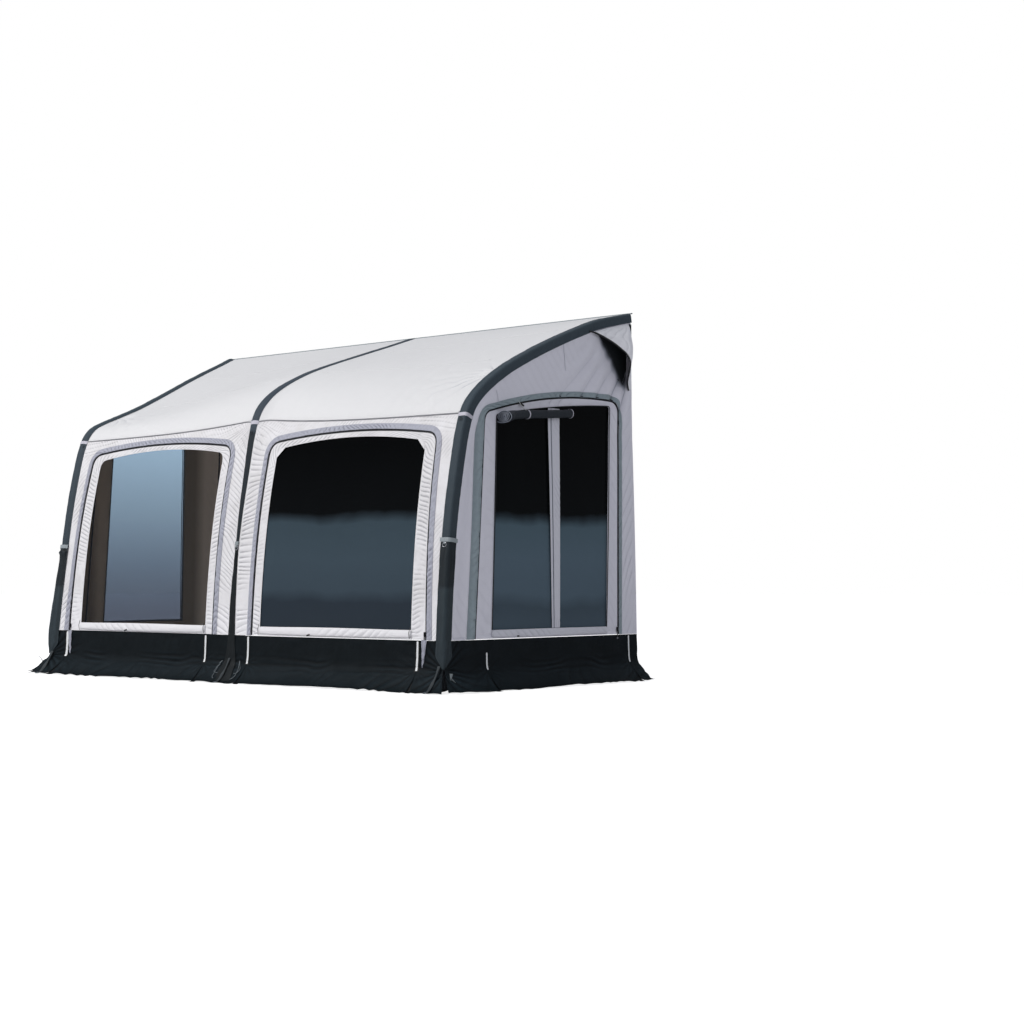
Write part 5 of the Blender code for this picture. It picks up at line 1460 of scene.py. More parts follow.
for label, sign in SIDES:
    out = (sign, -SPLAY, 0.0)
    P = on_side(sign, Y, Z, DS)
    # painted shadow under the hood: the side wall cloth is darkened to near black next to the vent opening, fading out
    # with streaks along the folds below it
    vd, _, vq = near(OPEN_VENT, Y, Z, closed=True)
    low_ = step(0.62, 0.72, Y) * (1 - step(0.93, 0.96, Y))
    th_h, r_h = hood_polar(Y, Z)
    streak = 0.86 + 0.14 * np.cos(2 * np.pi * 5.0 * (th_h + 145.0) / 33.0)
    vshade = low_ * (3.0 * np.exp(-(vd / (0.062 * streak)) ** 1.35))
    ob = shell("side_wall_" + label, P, out, 0.0012, [M_SIDE, M_INNER_SIDE], mask=mask, uv=np.stack([Y, Z], -1), shade=vshade)
    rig.replaces(ob, "side_surround_" + label)
    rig.slot(ob, "wall_fabric")
    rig.ride(ob, "root")
    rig.sheet(ob, (1.80, 2.13), "stretched", ["air_beam_" + label, "roof_canopy"], area=1.16)
    body = "side_door_" + label
    # ---- ring of cloth round the windows
    G = RING_S[sign]
    SW = SWS[sign]
    uv, L = ring_uv(G)
    w_out = uv[:-1, :, 1]
    w_in = w_out[:, -1:] - w_out
    d = side_panel_cloth(G[..., 0], G[..., 1], w_out, w_in, np.broadcast_to(L[:-1, None], w_out.shape))
    P = on_side(sign, G[..., 0], G[..., 1], d)
    ob = shell("side_panel_cloth_" + label, P, out, 0.0012, [M_SIDE, M_INNER_SIDE], wrap=True, uv=uv)
    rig.replaces(ob, "side_panel_" + label)
    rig.slot(ob, "wall_fabric")
    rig.ride(ob, body)
    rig.sheet(ob, (0.115 if sign > 0 else 0.190, 5.2), "stretched", ["side_wall_" + label])
    # ---- film behind the ring
    c = 0.012
    bigger = shifted(SW, 0.013)[::3]
    outline = closed_down(bigger, 0.359)
    outline[outline[:, 1] < 0.359, 1] = 0.359
    Yg, Zg = np.meshgrid(np.arange(-0.424, 0.782, c), np.arange(0.357, 1.884, c), indexing="ij")
    Yg, Zg = snap(Yg, Zg, outline, c)
    m = inside(outline, centres(Yg), centres(Zg))
    edge_d, _, _ = near(outline, Yg, Zg, closed=True)
    e = step(0, 0.12, edge_d)
    d = rs(Yg, Zg) - 0.0064 + e * 0.0028 * noise(Yg * 3.2 + sign, Zg * 1.2, 141)
    P = on_side(sign, Yg, Zg, d)
    ob = shell("side_film_" + label, P, out, 0.0008, M_FILM_S if sign > 0 else M_FILM_FAR, mask=m, uv=np.stack([Yg, Zg], -1))
    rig.replaces(ob, "side_window_" + label)
    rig.slot(ob, "window_film")
    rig.ride(ob, body)
    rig.sheet(ob, (1.14, 1.50) if sign > 0 else (0.84, 1.46), "stretched", ["side_panel_cloth_" + label])
    # ---- zip and its strip
    line = resample(SZ, 760)
    base = rs(line[:, 0], line[:, 1])
    rows = []
    for w, dd in ((-0.0085, 0.0016), (-0.0030, 0.0016), (-0.0024, 0.0026), (0.0, 0.0034), (0.0020, 0.0026), (0.0026, 0.0012), (0.0115, -0.0026)):
        q = shifted(line, w)
        rows.append(on_side(sign, q[:, 0], q[:, 1], base + dd))
    Lz = arclen(line)
    uvz = np.stack([np.repeat(Lz[:, None], 7, 1), np.broadcast_to(np.linspace(0, 0.012, 7)[None], (len(line), 7))], -1)
    ob = shell("zip_side_" + label, np.stack(rows, 1), out, 0.0010, M_ZIP, uv=uvz)
    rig.replaces(ob, "zip_chain_side_" + label)
    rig.slot(ob, "zip_tape")
    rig.ride(ob, "root")
    line = resample(SZ, 900)
    tw = np.linspace(0, 1, 17)[None]
    wide = (step(-0.20, -0.36, line[:, 0]) * (1 - step(1.56, 1.76, line[:, 1])))[:, None]
    nrm = (shifted(line, 0.02) - line) / 0.02
    out_w = 0.0035 + (0.0340 + 0.0330 * wide) * tw
    Q = line[:, None] + nrm[:, None] * out_w[..., None]
    W = 0.0035 + 0.0340 * tw + 0 * out_w
    Lc = arclen(line)[:, None]
    base = side_cloth(Q[..., 0], Q[..., 1]) + 0.0090 * wide * bump(0.0, 1.0, tw)
    free = 1 - step(0.0035, 0.028, W)
    mid = bump(0.0035, 0.0375, W)
    lift = 0.0030 + free * 0.0030 + (0.35 * free + 0.9 * mid) * 0.0070 * ridge((Lc + 1.6 * W) / 0.075 + 0.9 * noise(Lc * 5 + sign, W * 20, 151), 1.1) \
        * np.clip(0.5 + 0.7 * noise(Lc * 4, W * 12, 152), 0.0, 1.3) \
        + 0.0020 * noise(Lc * 28, W * 30, 153) * step(0.0, 0.01, 0.0375 - W)
    P = on_side(sign, Q[..., 0], Q[..., 1], base + np.maximum(lift, 0.0016))
    ob = shell("zip_flap_side_" + label, P, out, 0.0011, M_COVER_S,
               uv=np.stack([np.broadcast_to(Lc, W.shape), W], -1))
    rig.replaces(ob, "zip_cover_side_" + label)
    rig.slot(ob, "zip_cover_fabric")
    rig.ride(ob, "root")
    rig.sheet(ob, (0.070, 4.25), "stretched", ["side_wall_" + label], area=0.20)


# =========================================================== bands over the beams
def centre_grid(s, t, lift):
    """Points on the centre band: t runs from -1 to 1 across it."""
    p, n = prof(s)
    hw = centre_half(p[..., 1])
    crown = 0.0035 * (1 - t ** 2)
    return on_roof(t * hw, s, lift + crown)


def corner_section(r, bulge):
    """Section (dx, d) of a side band: flange on the front, rounded corner, flange on the side."""
    pts = [(-0.0550, 0.0018), (-0.0520, 0.0032), (-0.0470, 0.0024)]
    pts += [(x, 0.0022 + 0.4 * bulge * math.sin(math.pi * (x + 0.047) / (0.047 - r) * 0.5) ** 2)
            for x in np.linspace(-0.040, -r - 0.002, 6)]
    c = (-r + bulge, -r + 0.4 * bulge)
    pts += [(c[0] + (r + 0.002) * math.cos(q), c[1] + (r + 0.002) * math.sin(q))
            for q in np.radians(np.linspace(84, 0, 12))]
    for d in np.linspace(-r - 0.006, -0.050, 6):
        u = (d + r) / (-0.050 + r)
        pts.append((0.0022 + bulge * (1 - u) ** 0.8, d))
    pts += [(0.0030, -0.0555), (0.0018, -0.0600)]
    return resample(np.array(pts), 30)


CORNER = {-1: corner_section(0.020, 0.024), 1: corner_section(0.015, 0.004)}


def corner_grid(sign, s, sec, lift):
    """Points on a side band: the section sec (dx, d) swept along the profile."""
    p, n = prof(s)
    lift = np.asarray(lift, float)
    t = np.gradient(sec, axis=0)
    t /= np.linalg.norm(t, axis=1, keepdims=True)
    nn = np.stack([-t[:, 1], t[:, 0]], 1)
    nn *= np.sign(nn[:, :1].sum() + nn[:, 1:].sum())
    a = sec[None, :, 0] + nn[None, :, 0] * lift
    d = sec[None, :, 1] + nn[None, :, 1] * lift
    q = p[:, None] + n[:, None] * d[..., None]
    return np.stack([sign * (x_side(q[..., 0], q[..., 1]) + a), q[..., 0], q[..., 1]], -1)


def out_of(P, sign):
    o = np.zeros(P.shape)
    o[..., 0] = sign * 0.7
    o[..., 1] = -0.5
    o[..., 2] = 0.6
    return o


for label, sign in SIDES:
    SEC_L = arclen(CORNER[sign])
    s = np.linspace(0.003, S_TAPE + 0.004, 420)
    g, h = np.meshgrid(s, SEC_L, indexing="ij")
    lift = 0.0006 * noise(g * 9, h * 30, 201) + 0.0007 * noise(g * 30, h * 18, 202)
    P = corner_grid(sign, s, CORNER[sign], lift)
    ob = shell("band_cloth_" + label, P, out_of(P, sign), 0.0016, M_BAND, uv=np.stack([h, g], -1))
    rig.replaces(ob, "beam_band_" + label)
    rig.slot(ob, "band_fabric")
    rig.ride(ob, "root")
    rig.sheet(ob, (0.130, 2.63), "stretched", ["roof_canopy", "side_wall_" + label])
s = np.linspace(0.003, S_TAPE + 0.004, 420)
t = np.linspace(-1, 1, 15)
g, h = np.meshgrid(s, t, indexing="ij")
zc = np.interp(g, _S, _PZ)
lift = 0.0018 + 0.0006 * noise(g * 9, h * 2, 204) + 0.0006 * noise(g * 30, h * 2, 205)
P = centre_grid(g, h, lift)
ob = shell("band_cloth_centre", P, (0, -0.5, 0.8), 0.0016, M_BAND_C, uv=np.stack([h * 0.04, g], -1))
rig.replaces(ob, "beam_band_centre")
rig.slot(ob, "band_fabric")
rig.ride(ob, "root")
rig.sheet(ob, (0.072, 2.63), "stretched", ["roof_canopy", "front_wall"])

# ============================================================ skirts and flaps
SEC = spline([(0.0, .3145), (0.0015, .270), (0.0038, .205), (0.0080, .152), (0.0190, .1205), (0.0430, .086),
              (0.0700, .050), (0.0960, .019), (0.1140, .0065), (0.1300, .0035)], 8)
SEC = resample(SEC, 64)
SEC_T = arclen(SEC)
SK_L = SEC_T[-1]


def sec_at(t):
    """Distance a from the wall and height z at length t below the seam, with the normal."""
    t = np.asarray(t, float)
    a, z = np.interp(t, SEC_T, SEC[:, 0]), np.interp(t, SEC_T, SEC[:, 1])
    e = 0.004
    a0, a1 = np.interp(np.clip(t - e, 0, SK_L), SEC_T, SEC[:, 0]), np.interp(np.clip(t + e, 0, SK_L), SEC_T, SEC[:, 0])
    z0, z1 = np.interp(np.clip(t - e, 0, SK_L), SEC_T, SEC[:, 1]), np.interp(np.clip(t + e, 0, SK_L), SEC_T, SEC[:, 1])
    ta, tz = a1 - a0, z1 - z0
    ln = np.hypot(ta, tz)
    return a, z, -tz / ln, ta / ln


def skirt_relief(u, t, seed, slits, corners=()):
    """Creases and ripples of the skirt; offset along the normal."""
    f = t / SK_L
    low = step(0.45, 0.95, f)
    d = 0.0034 * step(0, 0.08, f) * noise(u * 7, t * 12, seed)
    d = d + pleats(u, t, 0.105, 0.6, 0.0036, 0.07, seed + 1) * step(0, 0.03, f)
    # horizontal creases where the cloth turns outward
    ph = (t - 0.175 + 0.020 * noise(u * 3.0, 0 * t, seed + 2)) / 0.042 + 0.5 * noise(u * 6, t * 8, seed + 3)
    d = d + 0.0075 * np.exp(-((f - 0.50) / 0.13) ** 2) * ridge(ph, 1.0) * np.clip(0.5 + 0.7 * noise(u * 5, t * 6, seed + 4), 0, 1.2)
    # slanting creases lower down
    ph = (u + 0.9 * t) / 0.125 + 0.8 * noise(u * 4, t * 5, seed + 5)
    d = d + 0.0095 * low * np.clip(0.35 + 0.8 * noise(u * 3, t * 5, seed + 6), 0, 1.2) * ridge(ph, 1.1)
    # folds that run into the top of each slit
    for c in slits:
        q = np.abs(u - c)
        tt = np.degrees(np.arctan2(t - 0.185, q + 0.004))
        rr = np.hypot(q, t - 0.185)
        d = d + 0.0060 * ridge(tt / 24 + 0.5 * noise(tt / 30, rr * 9, seed + 11), 1.0) * step(0.020, 0.055, rr) * np.exp(-rr / 0.075) * step(-60, -30, tt)
    # and folds that run into the tied corner
    for c in corners:
        q = np.abs(u - c)
        tt = np.degrees(np.arctan2(t - 0.180, q + 0.010))
        rr = np.hypot(q, t - 0.180)
        d = d * (0.4 + 0.6 * step(0.10, 0.25, rr)) + 0.0130 * ridge(tt / 17 + 0.35 * noise(tt / 30, rr * 6, seed + 13), 1.0) * step(0.015, 0.06, rr) * np.exp(-rr / 0.15)
    for c in slits:
        d = d * (0.35 + 0.65 * step(0.008, 0.034, np.abs(u - c)))
    # slow waves of the free edge
    wave = 0.0080 * low * (0.5 + 0.5 * noise(u * 3.2, 0.3 + 0 * t, seed + 7)) + 0.0045 * low * (0.5 + 0.5 * noise(u * 9.5, 0.7 + 0 * t, seed + 8))
    return d + wave


def slit_grid(u0, u1, stepu, slits, nt):
    """Columns along the skirt with a doubled column at each slit, and the cells to leave out."""
    us = list(np.linspace(u0, u1, int((u1 - u0) / stepu)))
    for c in slits:
        us = [k for k in us if abs(k - c) > 0.004] + [c - 0.0004, c + 0.0004]
    us = np.array(sorted(us))
    ts = np.linspace(0, SK_L, nt)
    U, T = np.meshgrid(us, ts, indexing="ij")
    gap = np.zeros((len(us) - 1, nt - 1), bool)
    tm = 0.5 * (ts[1:] + ts[:-1])
    for c in slits:
        k = int(np.argmin(np.abs(0.5 * (us[1:] + us[:-1]) - c)))
        gap[k] = tm > 0.195
    push = np.zeros(U.shape)
    for c in slits:
        g = 0.0008 + 0.0085 * step(0.185, SK_L, T) ** 1.3
        push += np.sign(U - c) * g * np.exp(-np.abs(U - c) / 0.030) * (T > 0.19)
    return U, T, push, ~gap


FRONT_SLITS = (-1.71, -0.25, 0.16, 1.63)
REAR_SLITS = (-0.46, 0.935)
U, T, push, mask = slit_grid(-XF + 0.002, XF - 0.002, 0.0078, FRONT_SLITS, 58)
a, z, na, nz_ = sec_at(T)
rel = skirt_relief(U, T, 401, FRONT_SLITS, (-XF, XF))


def front_skirt(x, a, z):
    f = np.clip((a - 0.006) / FLAP, 0, 1)
    e = np.clip((np.abs(x) - 1.60) / (XF - 1.60), 0, 1)
    return np.stack([np.sign(x) * (np.abs(x) + 0.100 * f * e), Y_FOOT - a, z], -1)


f = T / SK_L
edge_wave = 0.010 * step(0.55, 1.0, f) * noise(U * 2.6, 0 * U + 0.5, 411)
P = front_skirt(U + push, a + na * rel + edge_wave, np.maximum(z + nz_ * rel, 0.0030))
skirt = shell("skirt_cloth_front", P, (0, -1, 0.3), 0.0012, M_SKIRT, mask=mask, uv=np.stack([U, T], -1))
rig.replaces(skirt, "skirt_front", "ground_flap_front")
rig.slot(skirt, "skirt_fabric")
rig.ride(skirt, "root")
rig.sheet(skirt, (3.72, round(float(SK_L), 3)), "hung", ["front_wall"])


def side_skirt(sign, y, a, z):
    x = XF + SPLAY * (y - Y_FOOT)
    f_ = np.clip((a - 0.006) / FLAP, 0, 1) * np.clip((-0.58 - y) / 0.22, 0, 1)
    y, z = y - 0.105 * f_, z + 0.006 * f_
    y = y + 0.045 * np.clip((a - 0.02) / FLAP, 0, 1) * np.clip((y - 0.93) / 0.10, 0, 1)
    return np.stack([sign * (x + SIDE_N[0] * a), y + SIDE_N[1] * a, z], -1)


for label, sign in SIDES:
    U, T, push, mask = slit_grid(Y_FOOT + 0.004, 1.030, 0.0078, REAR_SLITS, 58)
    a, z, na, nz_ = sec_at(T)
    rel = skirt_relief(U, T, 431 + sign, REAR_SLITS, (Y_FOOT,))
    f = T / SK_L
    lobe = step(-0.46, -0.50, U) * step(-0.86, -0.60, U)
    edge_wave = 0.010 * step(0.55, 1.0, f) * noise(U * 2.9, 0 * U + 0.5, 441) + 0.035 * step(0.5, 1.0, f) * lobe
    P = side_skirt(sign, U + push, a + na * rel + edge_wave, np.maximum(z + nz_ * rel, 0.0028))
    ob = shell("skirt_cloth_" + label, P, (sign, 0, 0.3), 0.0012, M_SKIRT, mask=mask, uv=np.stack([U, T], -1))
    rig.replaces(ob, "skirt_side_" + label, "ground_flap_" + label)
    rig.slot(ob, "skirt_fabric")
    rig.ride(ob, "root")
    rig.sheet(ob, (1.86, round(float(SK_L), 3)), "hung", ["side_wall_" + label])


# ============================================================== lower leg covers
def leg_path(s):
    """Profile down to the seam, then over the skirt; s is length, beyond S_SEAM on the skirt."""
    s = np.asarray(s, float)
    p, n = prof(np.minimum(s, S_SEAM))
    a, z, na, nz_ = sec_at(np.clip(s - S_SEAM, 0, SK_L))
    low = (s > S_SEAM)[..., None]
    q = np.stack([Y_FOOT - a, z], -1)
    m = np.stack([-na, nz_], -1)
    k = step(S_SEAM - 0.02, S_SEAM + 0.03, s)[..., None]
    nn = n * (1 - k) + m * k
    nn /= np.linalg.norm(nn, axis=-1, keepdims=True)
    return np.where(low, q, p), nn


s = np.linspace(S_TAPE - 0.003, S_SEAM + 0.335, 250)
t = np.linspace(-1, 1, 21)
g, h = np.meshgrid(s, t, indexing="ij")
p, n = leg_path(g)
zz = p[..., 1]
hw = np.where(g < S_SEAM, centre_half(zz), 0.0345 + 0.22 * np.clip(g - S_SEAM - 0.05, 0, 1) ** 1.2)
pocket = bump(0.70, 0.93, zz)
lift = 0.0046 + 0.0040 * (1 - h ** 2) + 0.0045 * pocket * ridge(h * 1.5 + 0.5 + 0.35 * noise(zz * 9, h, 451), 1.2) \
    + 0.0016 * noise(g * 16, h * 2.2, 452) + 0.0030 * step(0.35, 0.10, zz) * ridge(h * 1.2 + 0.3 * noise(g * 9, h, 453), 1.0)
lift = np.maximum(lift, 0.0022)
P = np.stack([h * hw, p[..., 0] + n[..., 0] * lift, np.maximum(p[..., 1] + n[..., 1] * lift, 0.0050)], -1)
ob = shell("leg_cloth_centre", P, (0, -1, 0.2), 0.0014, M_LEG_C, uv=np.stack([h * 0.04, g], -1))
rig.replaces(ob, "leg_cover_centre")
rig.slot(ob, "leg_cover_fabric")
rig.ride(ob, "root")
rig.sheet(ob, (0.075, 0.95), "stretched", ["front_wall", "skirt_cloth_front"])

for label, sign in SIDES:
    s = np.linspace(S_TAPE - 0.003, S_SEAM + 0.172, 190)
    sec = resample(CORNER[sign], 34)
    sl = arclen(sec)
    g, h = np.meshgrid(s, sl, indexing="ij")
    zz = np.interp(g, _S, _PZ)
    pocket = bump(0.70, 0.93, zz)
    hn = h / sl[-1]
    lift = 0.0042 + 0.0050 * pocket * ridge(hn * 3.0 + 0.2 + 0.3 * noise(zz * 9, hn * 3, 461 + sign), 1.1) \
        + 0.0015 * noise(g * 15, h * 30, 463) + 0.0030 * step(0.42, 0.18, zz) * ridge(hn * 4 - 9 * zz + 0.5 * noise(g * 9, hn * 3, 465), 1.0)
    if sign < 0:
        lift = lift + 0.016 * np.exp(-((zz - 0.885) / 0.030) ** 2) * (0.5 + 0.5 * noise(hn * 6, zz * 50, 467))
    lift = np.maximum(lift, 0.0030)
    # on the wall down to the seam, then over the skirt
    P = corner_grid(sign, np.minimum(s, S_SEAM), sec, lift)
    a, z, na, nz_ = sec_at(np.clip(s - S_SEAM, 0, SK_L))
    over = (s > S_SEAM)[:, None]
    drop = np.where(s > S_SEAM, s - S_SEAM, 0.0)
    w = (hn[0] - 0.5) * 2
    out = np.where(s > S_SEAM, a, 0.0)
    dirx = np.clip(0.5 + 0.75 * w, 0, 1)
    diry = np.clip(0.5 - 0.75 * w, 0, 1)
    base = corner_grid(sign, np.full(len(s), S_SEAM), sec, lift)
    Q = base.copy()
    Q[..., 0] += sign * dirx[None] * out[:, None]
    Q[..., 1] -= diry[None] * out[:, None]
    Q[..., 2] = base[..., 2] - drop[:, None] * 0.985
    gather = step(0.085, 0.172, drop)[:, None, None] * 0.72
    point = np.array([sign * (XF + 0.006), Y_FOOT - 0.010, 0.0])
    Q[..., :2] = Q[..., :2] * (1 - gather) + point[:2] * gather
    P = np.where(over[..., None], Q, P)
    ob = shell("leg_cloth_" + label, P, out_of(P, sign) * np.array([1, 1, 0.0]), 0.0014, M_LEG, uv=np.stack([h, g], -1))
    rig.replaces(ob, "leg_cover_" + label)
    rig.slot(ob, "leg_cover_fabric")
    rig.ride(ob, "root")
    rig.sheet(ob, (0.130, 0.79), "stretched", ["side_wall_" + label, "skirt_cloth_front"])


# ================================================================== air beams
def beam_line(xfun, n=150):
    s = np.linspace(0.03, S_END, n)
    p, nn = prof(s)
    q = p - nn * 0.057
    path = np.stack([xfun(q[:, 0], q[:, 1]), q[:, 0], q[:, 1]], 1)
    d = path[-1] - path[-2]
    drop = (path[-1, 2] - 0.030) / -d[2]
    tail = path[-1] + d * drop * np.linspace(0.1, 1, 10)[:, None]
    return np.concatenate([path, tail])


for label, fun in (("centre", lambda y, z: 0 * y), ("left", lambda y, z: -(x_side(y, z) - 0.058)),
                   ("right", lambda y, z: x_side(y, z) - 0.058)):
    path = beam_line(fun)
    L = arclen(path)
    r = 0.0490 + 0.0006 * noise(L * 9, 0 * L, 471)
    ob = tube("beam_sleeve_" + label, path, r, M_BEAM, sides=36, dome=0.5, up=(1, 0, 0))
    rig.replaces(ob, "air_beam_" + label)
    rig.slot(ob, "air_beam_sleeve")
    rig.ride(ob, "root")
    # seam of the sleeve, along its rear side
    tt, uu_, ww = frames(path, (1, 0, 0))
    P = []
    for k in np.linspace(-0.16, 0.16, 7):
        q = math.pi / 2 * 3 + k
        P.append(path + (0.0506 + 0.0012 * math.cos(k * 9)) * (math.cos(q) * uu_ + math.sin(q) * ww))
    P = np.stack(P, 1)
    ob = shell("beam_seam_" + label, P, P - path[:, None], 0.0014, M_BEAM, uv=np.stack(np.meshgrid(L, np.linspace(0, .016, 7), indexing="ij"), -1))
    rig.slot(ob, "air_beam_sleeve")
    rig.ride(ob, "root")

# ================================================================ keder and vent
xk = np.linspace(-float(x_side(YR, H_REAR)), float(x_side(YR, H_REAR)), 260)
prof_k = np.array([(0.004, -0.0032), (0.004, -0.0012), (-0.020, -0.0008), (-0.0225, 0.0014), (-0.0265, 0.0020),
                   (-0.0300, 0.0006), (-0.0312, -0.0022), (-0.0300, -0.0050), (-0.0265, -0.0062), (-0.0225, -0.0052),
                   (-0.020, -0.0032)])
rows = []
for a_, d_ in prof_k:
    rows.append(on_roof(xk, np.full(len(xk), a_), d_ + 0.0003 * noise(xk * 20, xk * 0, 481)))
R = np.stack(rows, 1)
n_, m_ = R.shape[:2]
I, J = np.meshgrid(np.arange(n_ - 1), np.arange(m_), indexing="ij")
I, J = I.ravel(), J.ravel()
J2 = (J + 1) % m_
F = np.stack([I * m_ + J, I * m_ + J2, (I + 1) * m_ + J2, (I + 1) * m_ + J], 1)
Vk = R.reshape(-1, 3)
cap = []
for k in range(1, m_ - 1):
    cap.append((0, k, k + 1))
    cap.append(((n_ - 1) * m_, (n_ - 1) * m_ + k + 1, (n_ - 1) * m_ + k))
uvk = np.stack([np.stack([xk[I], J * 0.004], 1), np.stack([xk[I], (J + 1) * 0.004], 1),
                np.stack([xk[I + 1], (J + 1) * 0.004], 1), np.stack([xk[I + 1], J * 0.004], 1)], 1)
ob = new_mesh("keder_hem", Vk, F[:, ::-1], M_WEB, tris=np.array(cap), quv=uvk[:, ::-1].reshape(-1, 2), sharp=50)
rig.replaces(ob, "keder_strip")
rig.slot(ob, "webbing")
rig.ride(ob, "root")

RIM = spline([(0.560, 2.300, 0.006), (0.634, 2.290, 0.022), (0.765, 2.256, 0.055), (0.838, 2.210, 0.085),
              (0.866, 2.155, 0.100), (0.872, 2.092, 0.088), (0.902, 2.025, 0.045), (0.962, 1.975, 0.006)], 12)
RIM = resample(RIM, 90)
ROOT = []
for k in range(len(RIM)):
    u = k / (len(RIM) - 1)
    if u < 0.62:
        s_ = 0.455 - 0.415 * u / 0.62
        p_, n2 = prof(s_)
        q_ = p_ - n2 * 0.062
        ROOT.append((min(q_[0], 0.990), q_[1] - 0.004))
    else:
        w = (u - 0.62) / 0.38
        p_, n2 = prof(0.04)
        z0 = (p_ - n2 * 0.064)[1] - 0.010
        ROOT.append((0.990, z0 + (1.985 - z0) * w))
ROOT = np.array(ROOT)
for _ in range(6):
    ROOT[1:-1] = 0.5 * ROOT[1:-1] + 0.25 * (ROOT[:-2] + ROOT[2:])
for label, sign in SIDES:
    out = (sign, -SPLAY, 0.0)
    tv = np.linspace(0, 1, 26)
    A, B = np.meshgrid(np.arange(len(RIM)), tv, indexing="ij")
    y = ROOT[A, 0] + (RIM[A, 0] - ROOT[A, 0]) * B
    z = ROOT[A, 1] + (RIM[A, 1] - ROOT[A, 1]) * B
    dmax = np.maximum(RIM[A, 2], 0.0052)
    d = 0.0046 + (dmax - 0.0046) * np.sin(B * math.pi / 2)
    fold = np.sin(np.pi * B) ** 0.8
    d = d + fold * (0.0040 * ridge(A / 11.0 + 1.4 * B + 0.6 * noise(A / 14.0, B * 2.5, 491), 1.1)
                    + 0.0020 * noise(A / 5.0, B * 5, 493)) * np.clip(dmax / 0.04, 0.15, 1)
    P = on_side(sign, y, z, np.maximum(d, 0.0040))
    ob = shell("vent_hood_cloth_" + label, P, out, 0.0016, [M_HOOD, M_LINER], uv=np.stack([y, z], -1))
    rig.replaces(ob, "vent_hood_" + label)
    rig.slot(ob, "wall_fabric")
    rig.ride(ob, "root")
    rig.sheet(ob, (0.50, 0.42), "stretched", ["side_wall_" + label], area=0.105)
    # piped rim
    path = on_side(sign, RIM[:, 0], RIM[:, 1], np.maximum(RIM[:, 2], 0.008))
    ob = tube("hood_rim_" + label, path, 0.0052, M_PIPING, sides=12, up=(0, 0, 1))
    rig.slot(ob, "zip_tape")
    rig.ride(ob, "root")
    # net behind the opening
    cy, cz = np.mean(np.array(VENT), axis=0)
    wide = np.array([(cy + (q - cy) * 1.10, cz + (r - cz) * 1.10) for q, r in VENT])
    Yg, Zg = np.meshgrid(np.arange(0.58, 1.02, 0.010), np.arange(1.99, 2.36, 0.010), indexing="ij")
    Yg, Zg = snap(Yg, Zg, wide, 0.010)
    m = inside(wide, centres(Yg), centres(Zg))
    P = on_side(sign, Yg, Zg, -0.0046 - 0.004 * bump(0.6, 1.0, Yg) * bump(2.0, 2.35, Zg))
    ob = shell("vent_net_" + label, P, out, 0.0010, M_NET, mask=m, uv=np.stack([Yg, Zg], -1))
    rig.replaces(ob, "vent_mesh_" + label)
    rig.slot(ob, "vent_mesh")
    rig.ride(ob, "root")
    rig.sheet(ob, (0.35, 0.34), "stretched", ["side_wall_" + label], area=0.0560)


# ================================================================= small details
def sweep(name, R, mat, sharp=50, fold=None):
    """Closed solid from rings of points R (n, m, 3), with flat fans at the ends."""
    R = np.asarray(R, float)
    n, m = R.shape[:2]
    I, J = np.meshgrid(np.arange(n - 1), np.arange(m), indexing="ij")
    I, J = I.ravel(), J.ravel()
    J2 = (J + 1) % m
    F = np.stack([I * m + J, I * m + J2, (I + 1) * m + J2, (I + 1) * m + J], 1)
    V = R.reshape(-1, 3)
    c = R.mean(1)
    V = np.concatenate([V, c[:1], c[-1:]])
    k = np.arange(m)
    T = np.concatenate([np.stack([np.full(m, n * m), (k + 1) % m, k], 1),
                        np.stack([np.full(m, n * m + 1), (n - 1) * m + k, (n - 1) * m + (k + 1) % m], 1)])
    L = arclen(c)
    w = np.linalg.norm(R[0, 1] - R[0, 0])
    uv = np.stack([np.stack([J * w, L[I]], 1), np.stack([(J + 1) * w, L[I]], 1),
                   np.stack([(J + 1) * w, L[I + 1]], 1), np.stack([J * w, L[I + 1]], 1)], 1)
    A, B = V[F[:, 1]] - V[F[:, 0]], V[F[:, 3]] - V[F[:, 0]]
    if np.sum(np.cross(A, B) * (V[F[:, 0]] - c[I])) < 0:
        F, uv, T = F[:, ::-1], uv[:, ::-1], T[:, ::-1]
    if fold is not None:
        fold = np.concatenate([np.asarray(fold, float).ravel(), [0.0, 0.0]])
    return new_mesh(name, V, F, mat, tris=T, quv=uv.reshape(-1, 2), sharp=sharp, fold=fold)


def put(ob, slot_, body, *nodes):
    if nodes:
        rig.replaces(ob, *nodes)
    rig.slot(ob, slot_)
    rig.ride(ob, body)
    return ob


def ring_tube(name, centre, radial_a, radial_b, r, th, mat):
    q = np.linspace(0, 2 * np.pi, 49)[:-1]
    a, b = np.asarray(radial_a, float), np.asarray(radial_b, float)
    path = np.asarray(centre, float) + r * (np.cos(q)[:, None] * a + np.sin(q)[:, None] * b)
    return tube(name, path, th, mat, sides=12, closed=True, up=tuple(np.cross(a, b)))


def ribbon(name, mid, side, out, width, th, mat, cols=7, crown=0.0):
    """Flat webbing along a line of points, side gives its width direction."""
    mid, side, out = (np.asarray(k, float) for k in (mid, side, out))
    side = np.broadcast_to(side, mid.shape)
    out = np.broadcast_to(out, mid.shape)
    wv = np.broadcast_to(np.asarray(width, float), (len(mid),))
    c = np.linspace(-0.5, 0.5, cols)
    P = mid[:, None] + side[:, None] * (c[None, :, None] * wv[:, None, None]) \
        + out[:, None] * (crown * (1 - (2 * c) ** 2))[None, :, None]
    L = arclen(mid)
    return shell(name, P, out[:, None], th, mat, uv=np.stack(np.meshgrid(L, c * float(wv.mean()), indexing="ij"), -1))


